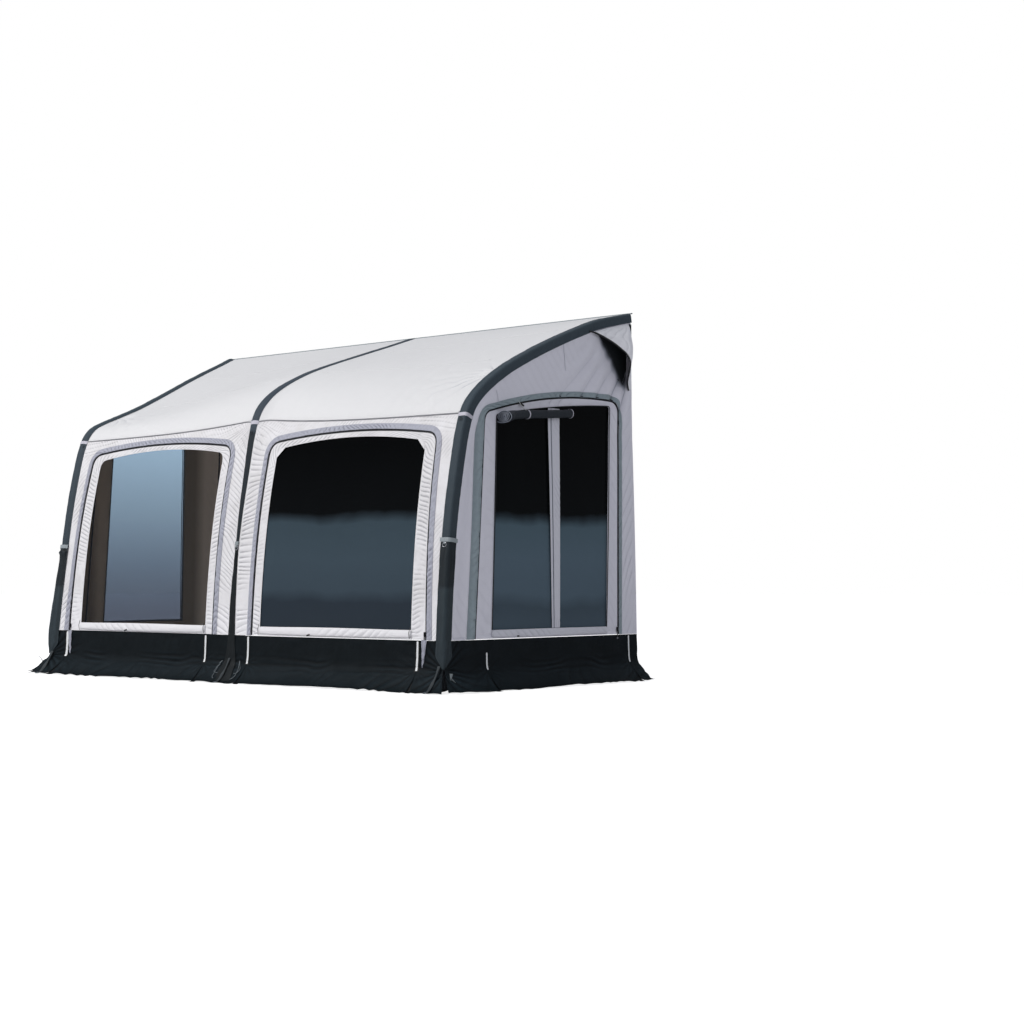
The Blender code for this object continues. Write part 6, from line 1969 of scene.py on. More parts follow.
# ----- eave seam with its piping, roof seams
for label, sign in SIDES:
    x = sign * np.linspace(0.038, XF - BAND_TOP - 0.004, 420)
    z = eave_z(x)
    pth = on_front(x, z - 0.0020, 0.0030 + 0.0004 * noise(x * 20, 0 * x, 511))
    put(tube("eave_piping_" + label, pth, 0.0021, M_EAVE_DARK, sides=10, up=(0, -1, 0)), "wall_fabric", "root")
    rows = [on_front(x, z + h, d_) for h, d_ in ((0.004, 0.0024), (0.0065, 0.0038), (0.0125, 0.0040), (0.0150, 0.0020))]
    ob = put(shell("eave_tape_" + label, np.stack(rows, 1), (0, -1, 0.4), 0.0010, M_ROOF), "roof_fabric", "root")
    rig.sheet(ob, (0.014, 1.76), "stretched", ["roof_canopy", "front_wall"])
    # flat-felled seams across the roof
    for k, (s0, x0_, x1_) in enumerate(((0.520, 0.10, 1.72), (1.170, 0.10, 1.62))):
        x = sign * np.linspace(x0_, x1_, 260)
        sw = s0 + 0.004 * noise(x * 2, 0 * x, 515 + k)
        dd = roof_d(x, sw)
        rows = [on_roof(x, sw + e, dd + h) for e, h in ((-0.007, 0.0006), (-0.005, 0.0021), (-0.0015, 0.0023), (0.0, 0.0016), (0.0015, 0.0023), (0.005, 0.0021), (0.007, 0.0006))]
        ob = put(shell("roof_seam_%d_%s" % (k + 1, label), np.stack(rows, 1), (0, -0.4, 1), 0.0010, M_ROOF), "roof_fabric", "root")
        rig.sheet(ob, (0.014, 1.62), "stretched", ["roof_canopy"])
    # seams on the side wall, above the door
    for k, line in enumerate((((0.300, 2.235), (0.310, 2.120), (0.318, 2.050)), ((-0.345, 1.870), (-0.332, 1.825), (-0.326, 1.790)))):
        q = resample(spline(line, 20), 60)
        dd = side_cloth(q[:, 0], q[:, 1]) + 0.0026
        pp = on_side(sign, q[:, 0], q[:, 1], dd)
        put(tube("side_seam_%d_%s" % (k + 1, label), pp, 0.0015, M_SIDE_TRIM, sides=8, up=(sign, 0, 0), flat=1.6), "wall_fabric", "root")

# ----- tapes round the legs, with their rings
for zt, tag, width, mat in ((Z_TAPE, "cross_tape", 0.026, M_TAPE2), (1.700, "eave_cross_tape", 0.022, M_TAPE)):
    zl = np.linspace(zt - width / 2, zt + width / 2, 9)
    s = s_at_z(zl)
    edge = 0.0010 * np.sin(np.linspace(0, np.pi, 9))
    t_ = np.linspace(-1.12, 1.12, 21)
    g, h = np.meshgrid(s, t_, indexing="ij")
    if tag == "cross_tape":
        lift = 0.0046 + 0.0040 * (1 - np.clip(np.abs(h), 0, 1) ** 2) + 0.0045 * ridge(h * 1.5 + 0.5, 1.2) * 0.6 + 0.0030 + edge[:, None]
        P = np.stack([h * np.interp(zl, HW_Z, HW_V)[:, None], prof(g)[0][..., 0] + prof(g)[1][..., 0] * lift,
                      prof(g)[0][..., 1] + prof(g)[1][..., 1] * lift], -1)
    else:
        arc = 0.030 * np.exp(-(h * 0.030 / 0.075) ** 2)
        P = centre_grid(s_at_z(zl[:, None] + 0.034 + 0 * h), h, 0.0035 + edge[:, None] + 0 * h)
    ob = put(shell(tag + "_centre", P, (0, -1, 0.2), 0.0012, mat, uv=np.stack([h * 0.03, g], -1)), "webbing", "root")
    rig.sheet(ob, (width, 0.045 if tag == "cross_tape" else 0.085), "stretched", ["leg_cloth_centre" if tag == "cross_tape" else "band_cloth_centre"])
    for label, sign in SIDES:
        sec = resample(CORNER[sign], 40)
        lift = (0.0110 if tag == "cross_tape" else 0.0022) + edge[:, None] + 0.0005 * noise(np.arange(40)[None] / 6.0, zl[:, None] * 40, 521)
        P = corner_grid(sign, s, sec, lift)
        ob = put(shell(tag + "_" + label, P, out_of(P, sign), 0.0012, mat), "webbing", "root")
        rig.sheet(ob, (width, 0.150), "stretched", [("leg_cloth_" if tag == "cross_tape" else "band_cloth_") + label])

for label, sign in (("left", -1), ("centre", 0), ("right", 1)):
    x = sign * (XF - 0.025)
    for zc, nm, rr, th_, mt, dd in ((Z_TAPE - 0.030, "leg_ring_cast_", 0.014, 0.0022, M_STEEL, 0.0085), (1.668, "eave_ring_", 0.0095, 0.0016, M_DARKMETAL, 0.0095)):
        dn = float(on_front(x, zc, dd)[1] - on_front(x, zc + 0.016, dd)[1])
        down = np.array([0.0, dn, -0.016])
        down /= np.linalg.norm(down)
        c = on_front(x, zc, dd)
        if nm == "leg_ring_cast_":
            ob = ring_tube(nm + label, c, (1, 0, 0), down, rr, th_, mt)
            put(ob, "ring_steel", "ring_" + label, "leg_ring_" + label)
            keep = on_front(x, zc + 0.016, dd)
            mid = np.array([keep + np.array([0, 0.0035 - 0.0075 * math.sin(q), 0.0125 * math.cos(q) - 0.004]) for q in np.linspace(0.25, math.pi - 0.2, 14)])
            loop = ribbon("ring_keeper_" + label, mid, (1, 0, 0), (0, -1, 0), 0.010, 0.0012, M_WEB)
            put(loop, "webbing", "root")
        else:
            put(ring_tube(nm + label, c, (1, 0, 0), down, rr, th_, mt), "ring_steel", "root")

# ----- padded sills with folds, with painted shade in the folds and a painted highlight on their crests
for label, sign in SIDES:
    n = 300
    xs = np.linspace(FRONT_WIN["xa_b"] - 0.006, FRONT_WIN["xb_b"] + 0.006, n)
    u = np.linspace(0, 1, n)
    belly = 4 * u * (1 - u)
    zt_, zb_ = 0.3730 + 0.0060 * belly, 0.3300 - 0.0070 * belly ** 0.7
    rings, sill_crease_shade = [], []
    m = 30
    q = 2 * np.pi * np.arange(m) / m
    for k in range(n):
        zc, hz = 0.5 * (zt_[k] + zb_[k]), 0.5 * (zt_[k] - zb_[k])
        dz = hz * np.sin(q)
        dd = 0.0072 + (0.0068 + 0.0030 * belly[k]) * np.cos(q)
        front = np.clip(np.cos(q), 0, 1)
        x = xs[k]
        fold = ridge((x - 1.15 * dz) / 0.070 + 0.5 * float(noise(np.array(x * 5), np.array(0.3), 531)), 1.0)
        mod = np.clip(0.35 + 0.8 * float(noise(np.array(x * 3.2), np.array(2.0), 533)), 0, 1.1)
        # painted shade in the valleys of the folds and painted highlight on their crests, stored for the material
        sill_crease_shade.append(np.clip(-1.7 * (fold + 0.14) * mod, -1, 1.3) * front)
        dd = dd + front * (0.0062 * fold * mod + 0.0012 * noise(x * 40 + 0 * dz, dz * 60, 535))
        end = min(1.0, min(u[k], 1 - u[k]) / 0.006)
        rings.append(on_front(sign * (x + 0 * dz), zc + dz * (0.55 + 0.45 * end), np.maximum(dd * (0.45 + 0.55 * end), 0.0012)))
    ob = sweep("front_sill_pad_" + label, np.array(rings), M_WALL, fold=np.array(sill_crease_shade))
    put(ob, "wall_fabric", "front_door_" + label, "front_sill_" + label)
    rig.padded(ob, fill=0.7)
    # hem under the sill, and a toggle that holds a rolled blind
    hz_ = 0.3190
    rows = [on_front(sign * xs, (zb_ + 0.0015) + (hz_ - zb_ - 0.0015) * e, 0.0028 + h) for e, h in ((0.0, 0.0), (0.25, 0.0016), (0.75, 0.0016), (1.0, 0.0))]
    ob = put(shell("front_sill_hem_" + label, np.stack(rows, 1), (0, -1, 0), 0.0010, M_WALL), "wall_fabric", "front_door_" + label)
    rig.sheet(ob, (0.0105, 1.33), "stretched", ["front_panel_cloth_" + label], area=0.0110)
    for k, xt in enumerate((0.72, 0.262, 1.572)):
        if k == 0:
            xt = 0.72 if sign > 0 else 1.06
            c = on_front(sign * xt, 0.328, 0.017)
            pth = np.array([c + np.array([e, 0, 0.3 * e]) for e in np.linspace(-0.010, 0.010, 7)])
            put(tube("sill_toggle_" + label, pth, 0.0052, M_TOGGLE, sides=14), "zip_tape", "front_door_" + label)
        else:
            pth = on_front(sign * (xt + (0.011 if k == 1 else -0.004) * np.sin(np.linspace(0, 3, 12)) * 0.15), np.linspace(0.390, 0.322, 12), 0.0165 - 0.004 * np.cos(np.linspace(0, 6, 12)))
            put(tube("sill_end_tie_%d_%s" % (k, label), pth, 0.0016, M_TOGGLE, sides=8), "zip_tape", "front_door_" + label)
    # side sill
    n = 220
    ys = np.linspace(SWS[sign][0, 0] - 0.004, SWS[sign][-1, 0] + 0.005, n)
    u = np.linspace(0, 1, n)
    belly = 4 * u * (1 - u)
    zt_, zb_ = 0.3710 + 0.0020 * belly, 0.3270 - 0.0040 * belly
    rings, sill_crease_shade = [], []
    for k in range(n):
        zc, hz = 0.5 * (zt_[k] + zb_[k]), 0.5 * (zt_[k] - zb_[k])
        dz = hz * np.sin(q)
        front = np.clip(np.cos(q), 0, 1)
        y = ys[k]
        fold = ridge((y + 1.2 * dz) / 0.060 + 0.5 * float(noise(np.array(y * 6), np.array(0.7), 541)), 1.0)
        mod = np.clip(0.35 + 0.8 * float(noise(np.array(y * 4), np.array(3.0), 543)), 0, 1.1)
        # painted shade in the valleys of the folds and painted highlight on their crests, stored for the material
        sill_crease_shade.append(np.clip(-1.6 * (fold + 0.14) * mod, -1, 1.3) * front)
        dd = 0.0064 + 0.0058 * np.cos(q) + front * (0.0046 * fold * mod + 0.0010 * noise(y * 40 + 0 * dz, dz * 60, 545))
        end = min(1.0, min(u[k], 1 - u[k]) / 0.008)
        rings.append(on_side(sign, y + 0 * dz, zc + dz * (0.55 + 0.45 * end), np.maximum(dd * (0.45 + 0.55 * end), 0.0012)))
    ob = put(sweep("side_sill_pad_" + label, np.array(rings), M_SIDE_TRIM, fold=np.array(sill_crease_shade)), "wall_fabric", "side_door_" + label, "side_sill_" + label)
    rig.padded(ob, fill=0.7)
    for k, yt in enumerate((-0.180,)):
        pth = on_side(sign, np.linspace(yt - 0.006, yt + 0.006, 6), np.full(6, 0.330), 0.0125)
        put(tube("side_toggle_%d_%s" % (k + 1, label), pth, 0.0048, M_TOGGLE, sides=12), "zip_tape", "side_door_" + label)
    # black piping round the side window's edge
    SW = SWS[sign]
    e = resample(SW, 500)
    pth = on_side(sign, e[:, 0], e[:, 1], 0.0030)
    put(tube("side_window_piping_" + label, pth, 0.0030, M_PIPING, sides=10, up=(sign, 0, 0)), "zip_tape", "side_door_" + label)
    # divider with its tape and soft folds
    nz_d, ny_d = 420, 22
    if sign > 0:
        zz = np.linspace(0.3745, 1.7945, nz_d)
        uu_ = (zz - 0.374) / (1.795 - 0.374)
        ya, yb = 0.155 - 0.017 * uu_, 0.231 + 0.018 * uu_
        v = np.linspace(0, 1, ny_d)
        Yd = ya[:, None] + (yb - ya)[:, None] * v
        Zd = zz[:, None] + 0 * Yd
        dd = 0.0012 + 0.0028 * ridge((Zd + 1.3 * Yd) / 0.050 + 0.6 * noise(Zd * 5, Yd * 20, 551), 1.0) * np.clip(0.3 + 0.7 * noise(Zd * 4, Yd * 10, 553), 0, 1) * step(0.38, 0.5, v)[None] \
            + 0.0030 * np.exp(-((Zd - 0.40) / 0.06) ** 2) * ridge(Yd / 0.018 + 0.4 * noise(Zd * 20, Yd * 30, 555), 1.0)
        dd = dd - 0.0024 * np.exp(-((v - 0.27) / 0.055) ** 2)[None] + 0.0014 * np.exp(-((v - 0.98) / 0.05) ** 2)[None]
        P = on_side(sign, Yd, Zd, np.maximum(dd, -0.002))
        ob = put(shell("side_divider_strip_" + label, P, (sign, 0, 0), 0.0020, M_SIDE_TRIM, uv=np.stack([Yd, Zd], -1)), "wall_fabric", "side_door_" + label, "side_divider_" + label)
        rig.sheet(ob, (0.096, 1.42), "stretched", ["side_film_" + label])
        pth = on_side(sign, ya + (yb - ya) * 0.27, zz, 0.0012)
        put(tube("divider_zip_" + label, pth[::4], 0.0022, M_COIL_GREY, sides=8, up=(sign, 0, 0)), "zip_tape", "side_door_" + label)
    # rolled blind: a spiral of cloth held by two straps
    if sign > 0:
        A, B = on_side(sign, -0.340, 1.712, 0.034), on_side(sign, 0.330, 1.768, 0.032)
    else:
        A, B = on_side(sign, -0.290, 1.719, 0.032), on_side(sign, 0.420, 1.774, 0.032)
    ax_ = (B - A) / np.linalg.norm(B - A)
    nn_ = np.array([sign * SIDE_N[0], SIDE_N[1], 0.0])
    up_ = np.cross(ax_, nn_)
    up_ /= np.linalg.norm(up_)
    th_ = np.linspace(0, 2 * np.pi * 5.4, 290)
    fr = th_ / th_[-1]
    rad = 0.0050 + 0.0232 * fr
    ln = np.linspace(0, 1, 80)
    TH, LN = np.meshgrid(th_, ln, indexing="ij")
    RD = rad[:, None] + 0.0006 * noise(TH / 1.2, LN * 8, 561) * fr[:, None] + 0.0005 * np.sin(TH * 3 + LN * 40) * (fr[:, None] > 0.80)
    over = -0.010 * (1 - fr[:, None]) + 0.004 * noise(TH / 2.0, 0 * LN, 563)
    along = np.linalg.norm(B - A) * LN + np.where(LN < 0.5, -over, over) * (np.abs(LN - 0.5) * 2) ** 6
    cen = A + along[..., None] * ax_
    loose = 1 + 0.42 * np.exp(-(LN / 0.16) ** 2) * fr[:, None]
    cen = cen - np.array([0, 0, 0.012]) * np.exp(-(LN / 0.14) ** 2)[..., None]
    wide = 1 + 0.80 * np.exp(-(LN / 0.12) ** 2) * fr[:, None]
    cen = cen + 0.020 * nn_ * np.exp(-(LN / 0.12) ** 2)[..., None]
    P = cen + (RD * loose)[..., None] * ((wide * np.cos(TH))[..., None] * nn_ + np.sin(TH)[..., None] * up_)
    radial = P - cen
    ob = shell("blind_roll_cloth_" + label, P, radial, 0.0012, [M_BLIND, M_BLIND_IN], uv=np.stack([TH * 0.02, along], -1))
    put(ob, "blind_fabric", "side_door_" + label, "blind_roll_" + label)
    put(tube("blind_roll_edge_" + label, P[::2, 0] - 0.001 * ax_, 0.0021, M_BLIND_EDGE, sides=8, up=tuple(ax_)), "blind_fabric", "side_door_" + label)
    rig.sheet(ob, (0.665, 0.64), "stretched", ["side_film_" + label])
    for k, (f_, w_, mt) in enumerate(((0.36, 0.009, M_TAPE), (0.985, 0.006, M_TAPE))):
        c = A + (B - A) * f_
        qq = np.linspace(0, 2 * np.pi, 41)[:-1]
        rr_ = 0.0302
        mid = c + rr_ * (np.cos(qq)[:, None] * nn_ + np.sin(qq)[:, None] * up_)
        cc = np.linspace(-0.5, 0.5, 5)
        Pg = mid[:, None] + ax_ * (cc * w_)[None, :, None]
        ob = shell("blind_strap_%d_%s" % (k + 1, label), Pg, (mid - c)[:, None], 0.0012, mt, wrap=True)
        put(ob, "webbing", "side_door_" + label)
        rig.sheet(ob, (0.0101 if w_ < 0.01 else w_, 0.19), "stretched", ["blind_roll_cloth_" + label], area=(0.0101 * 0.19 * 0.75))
    # toggle and elastic above the roll
    c = on_side(sign, -0.120, 1.795, 0.010)
    pth = np.array([c + 0.014 * e * (ax_ - 0.6 * np.array([0, 0, 1])) for e in np.linspace(-1, 1, 7)])
    put(tube("blind_toggle_" + label, pth, 0.0056, M_TOGGLE, sides=12), "zip_tape", "side_door_" + label)
    pth = np.array([on_side(sign, -0.150 + 0.050 * e, 1.815 - 0.055 * e - 0.012 * math.sin(3 * e), 0.008 + 0.022 * e) for e in np.linspace(0, 1, 14)])
    put(tube("blind_elastic_" + label, pth, 0.0022, M_CORD, sides=8), "webbing", "side_door_" + label)


# ----- sliders with pull tabs
def slider(name, at, along, across, outw):
    """Zip slider: body, bridge, crown and pull tab, at the point at on the zip."""
    at, a, b, o = (np.asarray(k, float) for k in (at, along, across, outw))
    parts = []
    rings = []
    for k, (t_, w_, h_) in enumerate(((-0.0165, 0.0035, 0.0010), (-0.0155, 0.0048, 0.0022), (-0.010, 0.0062, 0.0026), (0.0, 0.0066, 0.0028),
                                      (0.010, 0.0066, 0.0026), (0.0145, 0.0060, 0.0022), (0.0155, 0.0048, 0.0010))):
        q = np.linspace(0, 2 * np.pi, 17)[:-1]
        cx = np.sign(np.cos(q)) * np.abs(np.cos(q)) ** 0.5 * w_
        cy = np.sign(np.sin(q)) * np.abs(np.sin(q)) ** 0.5 * h_
        rings.append(at + a * t_ + b * cx[:, None] + o * (0.0045 + cy)[:, None])
    parts.append(sweep(name + "_b", np.array(rings), M_DARKMETAL))
    q = np.linspace(0, math.pi, 15)
    pth = np.array([at + a * (0.009 * math.cos(k)) + o * (0.0068 + 0.0030 * math.sin(k)) for k in q])
    parts.append(tube(name + "_c", pth, 0.0012, M_DARKMETAL, sides=8, up=tuple(b)))
    pts = []
    for k in np.linspace(0, 1, 16):
        pts.append(at - a * (0.002 + 0.052 * k) + o * (0.0090 - 0.0020 * k + 0.0012 * math.sin(5 * k)) + b * (0.0015 * math.sin(4 * k)))
    parts.append(ribbon(name + "_t", np.array(pts), b, o, 0.0052 + 0.0024 * np.sin(np.linspace(0.3, 2.6, 16)), 0.0016, M_DARKMETAL, crown=0.0006))
    q = np.linspace(0, 2 * np.pi, 25)[:-1]
    c = at - a * 0.0585 + o * 0.0078
    pth = c + 0.0055 * (np.cos(q)[:, None] * b + np.sin(q)[:, None] * a)
    parts.append(tube(name + "_r", pth, 0.0011, M_STEEL, sides=8, closed=True, up=tuple(o)))
    return join(name, parts)


for label, sign in SIDES:
    xs0 = 1.700 - 0.005 - 0.0105
    ob = slider("front_slider_body_" + label, on_front(sign * xs0, Z_SEAM + 0.036, 0.0), (0, 0, 1), (sign, 0, 0), (0, -1, 0))
    put(ob, "zip_slider_metal", "front_slider_" + label, "zip_slider_front_" + label)
    yc = SIDE_ZIP["xb_b"] - 0.005 - 0.0105
    ob = slider("side_slider_body_" + label, on_side(sign, yc, Z_SEAM + 0.036, 0.0), (0, 0, 1),
                np.array([sign * SPLAY, 1, 0]) / math.hypot(1, SPLAY), (sign * SIDE_N[0], SIDE_N[1], 0))
    put(ob, "zip_slider_metal", "side_slider_" + label, "zip_slider_side_" + label)


# ----- reflective strips, tails, loops and straps on the skirts
def front_skirt_at(x, t, d):
    x, t, d = np.broadcast_arrays(np.asarray(x, float), np.asarray(t, float), np.asarray(d, float))
    a_, z_, na_, nb_ = sec_at(t)
    rel_ = skirt_relief(x, t, 401, FRONT_SLITS, (-XF, XF)) + d
    ew = 0.010 * step(0.55, 1.0, t / SK_L) * noise(x * 2.6, 0 * x + 0.5, 411)
    return front_skirt(x, a_ + na_ * rel_ + ew, np.maximum(z_ + nb_ * rel_, 0.0045))


def side_skirt_at(sign, y, t, d):
    y, t, d = np.broadcast_arrays(np.asarray(y, float), np.asarray(t, float), np.asarray(d, float))
    a_, z_, na_, nb_ = sec_at(t)
    rel_ = skirt_relief(y, t, 431 + sign, REAR_SLITS, (Y_FOOT,)) + d
    lobe = step(-0.46, -0.50, y) * step(-0.86, -0.60, y)
    ew = 0.010 * step(0.55, 1.0, t / SK_L) * noise(y * 2.9, 0 * y + 0.5, 441) + 0.035 * step(0.5, 1.0, t / SK_L) * lobe
    return side_skirt(sign, y, a_ + na_ * rel_ + ew, np.maximum(z_ + nb_ * rel_, 0.0045))


for k, xs_ in enumerate(FRONT_SLITS):
    t_ = np.linspace(0.006, 0.188, 60)
    w_ = np.linspace(-0.5, 0.5, 7)
    T_, W_ = np.meshgrid(t_, w_, indexing="ij")
    half = 0.0150 * np.sqrt(np.clip(np.minimum(t_ - 0.004, 0.190 - t_) / 0.006, 0.05, 1))[:, None]
    P = front_skirt_at(xs_ + W_ * half, T_, 0.0026 + 0.0016 * (1 - (2 * W_) ** 2))
    ob = put(shell("reflective_strip_%d" % (k + 1), P, (0, -1, 0), 0.0010, M_REFLECT, uv=np.stack([W_ * 0.012, T_], -1)), "webbing", "root")
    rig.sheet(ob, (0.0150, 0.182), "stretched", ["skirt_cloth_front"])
    # black gusset behind the slit; painted shade: it also stands in for the shaded space under the flap, so the slit
    # shows dark
    t_ = np.linspace(0.150, SK_L - 0.003, 60)
    T2, W3 = np.meshgrid(t_, np.linspace(-0.022, 0.022, 11), indexing="ij")
    P = front_skirt_at(xs_ + 0 * W3, T2, -0.0046) + W3[..., None] * np.array([1.0, 0.0, 0.0])
    P[..., 2] = np.maximum(P[..., 2] - 0.0025, 0.0015)
    ob = put(shell("slit_gusset_%d" % (k + 1), P, (0, -1, 0.3), 0.0010, M_BIND, uv=np.stack([W3, T2], -1)), "skirt_fabric", "root")
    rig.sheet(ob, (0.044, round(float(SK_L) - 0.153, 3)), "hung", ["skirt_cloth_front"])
    # dark binding on both sides of the strip
    for j, e in enumerate((-1, 1)):
        W2 = np.linspace(0.0076, 0.0160, 5)[None] * e
        P = front_skirt_at(xs_ + W2 + 0 * T_[:, :5], T_[:, :5] * 1.03, 0.0022 + 0.0008 * np.sin((np.abs(W2) - 0.0076) / 0.0084 * np.pi))
        ob = put(shell("strip_binding_%d_%d" % (k + 1, j + 1), P, (0, -1, 0), 0.0010, M_BIND), "skirt_fabric", "root")
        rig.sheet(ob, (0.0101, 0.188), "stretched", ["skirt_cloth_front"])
for label, sign in SIDES:
    for k, ys_ in enumerate(REAR_SLITS):
        t_ = np.linspace(0.080 if k == 0 else 0.006, 0.188, 60)
        w_ = np.linspace(-0.5, 0.5, 7)
        T_, W_ = np.meshgrid(t_, w_, indexing="ij")
        half = 0.0130 * np.sqrt(np.clip(np.minimum(t_ - t_[0] + 0.001, 0.190 - t_) / 0.006, 0.05, 1))[:, None]
        P = side_skirt_at(sign, ys_ + W_ * half, T_, 0.0026 + 0.0016 * (1 - (2 * W_) ** 2))
        ob = put(shell("reflective_strip_side_%d_%s" % (k + 1, label), P, (sign, 0, 0), 0.0010, M_REFLECT, uv=np.stack([W_ * 0.012, T_], -1)), "webbing", "root")
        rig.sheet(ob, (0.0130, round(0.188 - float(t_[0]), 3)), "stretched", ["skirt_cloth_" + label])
        # black gusset behind the slit; painted shade: it also stands in for the shaded space under the flap, so the
        # slit shows dark
        t_ = np.linspace(0.150, SK_L - 0.003, 60)
        T2, W3 = np.meshgrid(t_, np.linspace(-0.022, 0.022, 11), indexing="ij")
        P = side_skirt_at(sign, ys_ + 0 * W3, T2, -0.0046) + W3[..., None] * np.array([sign * SPLAY, 1.0, 0.0])
        P[..., 2] = np.maximum(P[..., 2] - 0.0025, 0.0015)
        ob = put(shell("slit_gusset_side_%d_%s" % (k + 1, label), P, (sign, 0, 0.3), 0.0010, M_BIND, uv=np.stack([W3, T2], -1)), "skirt_fabric", "root")
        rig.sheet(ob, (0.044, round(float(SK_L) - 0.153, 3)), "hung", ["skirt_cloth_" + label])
    # tail of the rain strip, a long triangle over the skirt
    t_ = np.linspace(-0.002, 0.165, 60)
    v_ = np.linspace(-1, 1, 11)
    T_, W_ = np.meshgrid(t_, v_, indexing="ij")
    hw_ = 0.0205 * np.clip((0.172 - T_) / 0.182, 0.03, 1) ** 0.75
    xc = sign * (1.6850 - 0.012 * (T_ + 0.01) / 0.175)
    low = T_ > 0.0
    dd = 0.0060 + 0.0040 * ridge(W_ * 0.9 + 0.3 + 0.25 * noise(T_ * 14, W_, 571), 1.2) * step(0.0, 0.02, T_ + 0.01)
    P1 = front_skirt_at(xc + W_ * hw_, np.maximum(T_, 0.0), dd)
    P2 = on_front(xc + W_ * hw_, Z_SEAM - T_, dd + 0.002)
    P = np.where(low[..., None], P1, P2)
    ob = put(shell("rain_strip_tail_" + label, P, (0, -1, 0), 0.0012, M_COVER_F, uv=np.stack([W_ * 0.02, T_], -1)), "zip_cover_fabric", "root")
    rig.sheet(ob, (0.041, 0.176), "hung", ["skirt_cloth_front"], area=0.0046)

s_fw = arclen(FW)
for k, c in enumerate(((FRONT_WIN["xa_t"], FRONT_WIN["za"]), (FRONT_WIN["xb_t"], FRONT_WIN["zc"]))):
    i = int(np.argmin(np.hypot(FW[:, 0] - c[0], FW[:, 1] - c[1])))
    seg = resample(FW[np.abs(s_fw - s_fw[i]) < 0.056], 26)
    chord = seg[:1] + (seg[-1:] - seg[:1]) * np.linspace(0, 1, 26)[:, None]
    tt_ = np.linspace(-0.05, 1.0, 9)[None, :, None]
    G = seg[:, None] * (1 - tt_) + chord[:, None] * tt_
    P = front_xyz(1, G, rf(G[..., 0], G[..., 1]) + 0.0026)
    ob = put(shell("window_corner_patch_%d" % (k + 1), P, N_FRONT, 0.0012, M_WALL, uv=G), "wall_fabric", "front_door_right")
    size_ = (float(np.hypot(*(seg[-1] - seg[0]))), float(np.hypot(*(seg - chord).T).max()) * 1.06)
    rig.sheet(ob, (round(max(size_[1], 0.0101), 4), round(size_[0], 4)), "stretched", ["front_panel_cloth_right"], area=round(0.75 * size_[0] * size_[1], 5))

for label, sign in SIDES:
    knots = np.array([(1.925, -0.876, 0.122), (1.898, -0.826, 0.080), (1.897, -0.785, 0.036), (1.913, -0.775, 0.012)])
    knots[:, 0] *= sign
    q = np.linspace(0, 1, 4)
    u = np.linspace(0, 1, 110)
    mid = np.stack([np.interp(u, q, knots[:, k]) for k in range(3)], 1)
    mid = mid + np.stack([0.0050 * np.sin(u * 17) * u, 0.0060 * np.cos(u * 13), 0.0035 * np.sin(u * 23)], 1)
    mid[:, 2] = np.maximum(mid[:, 2], 0.008)
    side = np.stack([0.8 + 0.3 * np.sin(9 * u), sign * (0.6 + 0.4 * np.cos(7 * u)), 0.5 * np.sin(8 * u)], 1)
    side /= np.linalg.norm(side, axis=1)[:, None]
    ob = put(ribbon("corner_webbing_" + label, mid, side, (sign * 0.6, -0.7, 0.3), 0.020 - 0.007 * np.sin(u * 7) ** 2, 0.0018, M_WEB, cols=9, crown=0.003), "webbing", "root")
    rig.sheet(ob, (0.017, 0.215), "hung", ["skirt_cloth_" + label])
    zz_ = np.linspace(2.345, 2.425, 20)
    pt = on_side(sign, 0.984 + 0 * zz_, zz_, 0.0060 + side_cloth(0.984 + 0 * zz_, zz_))
    ob = put(ribbon("rail_patch_" + label, pt, on_side(sign, 1.0, 2.4) - on_side(sign, 0.0, 2.4), (sign, 0, 0), 0.024, 0.0015, M_LINER), "wall_fabric", "root")
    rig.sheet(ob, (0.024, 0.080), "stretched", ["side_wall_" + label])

# peg straps: webbing folded on itself, ending in a loop of cord
for label, x in (("left", -XF + 0.02), ("centre", 0.0), ("right", XF - 0.02)):
    u = np.linspace(0, 1, 90)
    y = (Y_FOOT - 0.020) + (-FLAP - 0.012 + 0.020) * u
    z = 0.150 * (1 - u) ** 1.6 + 0.0098
    wig = 0.0030 * np.sin(u * 9) * u
    side = np.stack([np.cos(0.5 * np.sin(7 * u)), np.zeros(90), np.sin(0.5 * np.sin(7 * u))], 1)
    mid = np.stack([x + wig, y, z + 0.0035], 1)
    ob = ribbon("peg_webbing_" + label, mid, side, (0, -0.6, 0.8), 0.021 - 0.005 * np.sin(u * 6) ** 2, 0.0018, M_WEB_DARK, cols=9, crown=0.0016)
    put(ob, "webbing", "root", "peg_strap_" + label)
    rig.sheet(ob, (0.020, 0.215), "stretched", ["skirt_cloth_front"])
    # loop at the end
    q = np.linspace(0, 2 * np.pi, 41)[:-1]
    c = np.array([x, Y_FOOT - FLAP - 0.016, 0.0115])
    pth = c + np.stack([0.0105 * np.cos(q), 0.0165 * np.sin(q), 0.003 * np.sin(q)], 1)
    put(tube("peg_loop_" + label, pth, 0.0024, M_CORD_GREY, sides=10, closed=True, up=(0, 0, 1)), "webbing", "root")
for k, (xc, dx) in enumerate(((-0.075, -1), (0.095, 1))):
    # U-shaped loops of thin cord beside the centre leg
    for j, off in enumerate((0.0, 0.010)):
        q = np.linspace(0, 1, 60)
        xx = xc + dx * (0.020 + off) * np.sin(q * np.pi * 1.05) - 0.004 * dx
        tt_ = 0.170 + 0.145 * np.sin(q * np.pi * 0.5) ** 1.1 - 0.05 * j * q
        P = front_skirt_at(xx, np.minimum(tt_, SK_L - 0.004), 0.0050 + 0.0025 * np.sin(q * 9 + j))
        put(tube("peg_cord_%d_%d" % (k + 1, j + 1), P, 0.0021, M_CORD_GREY, sides=8), "webbing", "root")


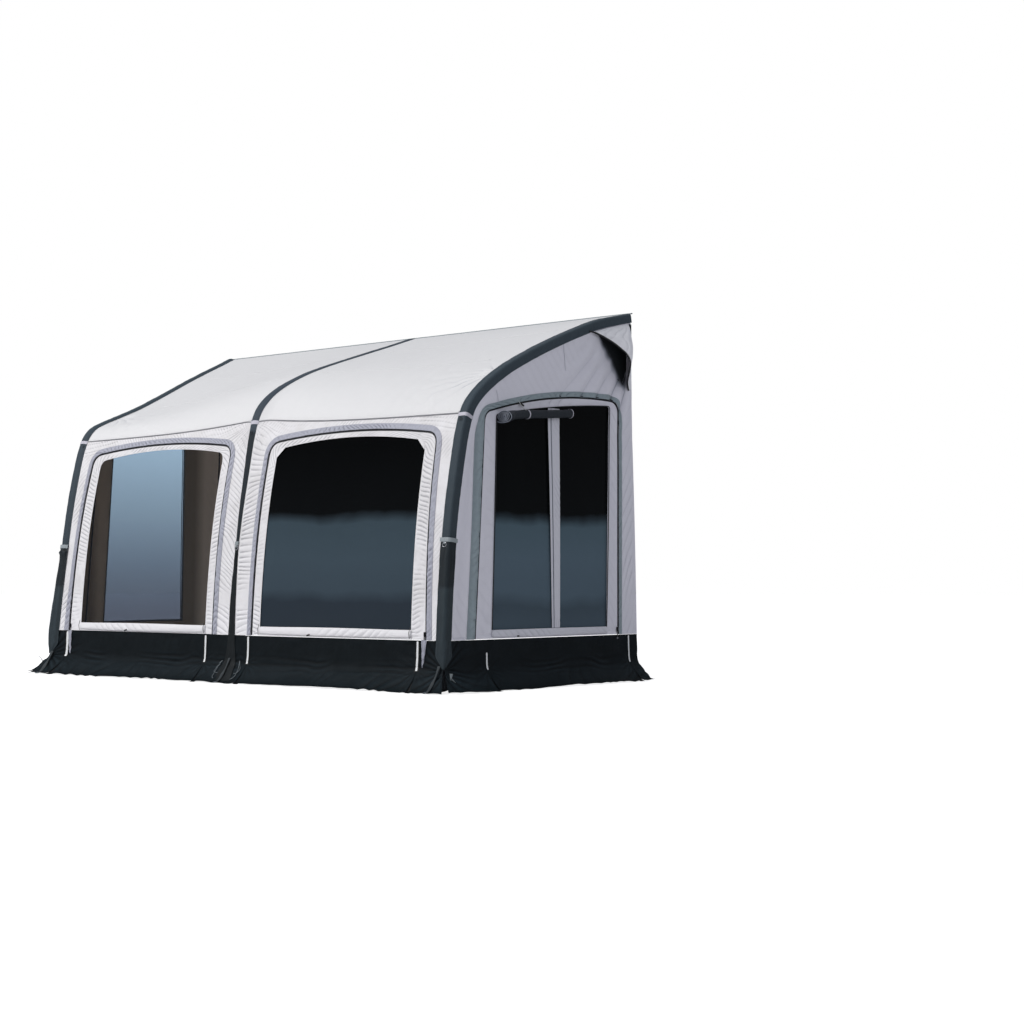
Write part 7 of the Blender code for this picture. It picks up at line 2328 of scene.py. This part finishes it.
# ============================================================ camera, light, stage
cam_data = bpy.data.cameras.new("photo_camera")
cam = bpy.data.objects.new("photo_camera", cam_data)
scene.collection.objects.link(cam)
cam_data.lens = 59.726
cam_data.sensor_width = 36.0
cam_data.clip_end = 200.0
cam.location = (8.37346, -8.72726, 0.68138)
cam.rotation_euler = (math.radians(90 + 2.292026), 0.0, math.radians(37.43311))
scene.camera = cam

world = bpy.data.worlds.new("studio")
scene.world = world
world.use_nodes = True
nt = world.node_tree
nt.nodes.clear()
wout = nt.nodes.new("ShaderNodeOutputWorld")
bg_seen = nt.nodes.new("ShaderNodeBackground")
bg_seen.inputs[0].default_value = (1.0, 1.0, 1.0, 1.0)
bg_seen.inputs[1].default_value = 1.0
bg_light = nt.nodes.new("ShaderNodeBackground")
bg_light.inputs[0].default_value = (0.90, 0.935, 1.0, 1.0)
bg_light.inputs[1].default_value = 0.36
lp = nt.nodes.new("ShaderNodeLightPath")
mixs = nt.nodes.new("ShaderNodeMixShader")
nt.links.new(lp.outputs["Is Camera Ray"], mixs.inputs[0])
nt.links.new(bg_light.outputs[0], mixs.inputs[1])
nt.links.new(bg_seen.outputs[0], mixs.inputs[2])
nt.links.new(mixs.outputs[0], wout.inputs[0])


def area_light(name, loc, target, size, power, colour=(1, 1, 1)):
    l = bpy.data.lights.new(name, "AREA")
    l.shape = "RECTANGLE"
    l.size, l.size_y = size
    l.energy = power
    l.color = colour
    o = bpy.data.objects.new(name, l)
    scene.collection.objects.link(o)
    o.location = loc
    o.rotation_euler = (Vector(target) - Vector(loc)).to_track_quat("-Z", "Y").to_euler()
    return o


area_light("key", (-3.0, -11.0, 10.0), (0.0, 0.0, 1.1), (6.0, 5.0), 1500, (1.0, 0.985, 0.965))
area_light("fill_right", (9.5, -1.5, 4.5), (1.9, 0.1, 1.2), (6.0, 5.0), 78, (0.97, 0.98, 1.0))
area_light("fill_top", (1.0, 3.5, 11.0), (0.0, 0.3, 1.2), (8.0, 6.0), 120, (0.95, 0.97, 1.0))

floor_mesh = bpy.data.meshes.new("floor")
n_ = 24
fx = np.linspace(-60, 60, n_)
FX, FY = np.meshgrid(fx, fx, indexing="ij")
fv = np.stack([FX.ravel(), FY.ravel(), np.zeros(FX.size)], 1)
ff = [(i * n_ + j, (i + 1) * n_ + j, (i + 1) * n_ + j + 1, i * n_ + j + 1) for i in range(n_ - 1) for j in range(n_ - 1)]
floor_mesh.from_pydata(fv.tolist(), [], ff)
floor = bpy.data.objects.new("floor", floor_mesh)
scene.collection.objects.link(floor)
fm, fnt, fout = nodes_of("studio_floor")
fp = node(fnt, "ShaderNodeBsdfPrincipled")
fnoise = object_noise(fnt, 0.8, 4, 0.5)
link(fnt, ramp(fnt, fnoise, [(0.3, (0.68, 0.68, 0.69)), (0.7, (0.72, 0.72, 0.73))]), fp.inputs["Base Color"])
fp.inputs["Roughness"].default_value = 0.85
fp.inputs["Specular IOR Level"].default_value = 0.15
glow = node(fnt, "ShaderNodeEmission")
glow.inputs["Color"].default_value = (1.0, 1.0, 1.0, 1.0)
glow.inputs["Strength"].default_value = 0.80
flp = node(fnt, "ShaderNodeLightPath")
fnone = node(fnt, "ShaderNodeEmission")
fnone.inputs["Strength"].default_value = 0.0
fmix = node(fnt, "ShaderNodeMixShader")
link(fnt, flp.outputs["Is Camera Ray"], fmix.inputs[0])
link(fnt, fnone.outputs[0], fmix.inputs[1])
link(fnt, glow.outputs[0], fmix.inputs[2])
fadd = node(fnt, "ShaderNodeAddShader")
link(fnt, fp.outputs[0], fadd.inputs[0])
link(fnt, fmix.outputs[0], fadd.inputs[1])
link(fnt, fadd.outputs[0], fout.inputs[0])
floor_mesh.materials.append(fm)
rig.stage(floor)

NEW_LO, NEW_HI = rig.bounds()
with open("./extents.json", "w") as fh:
    json.dump({"cad": [list(map(float, CAD_LO)), list(map(float, CAD_HI))],
               "visual": [list(map(float, NEW_LO)), list(map(float, NEW_HI))]}, fh)
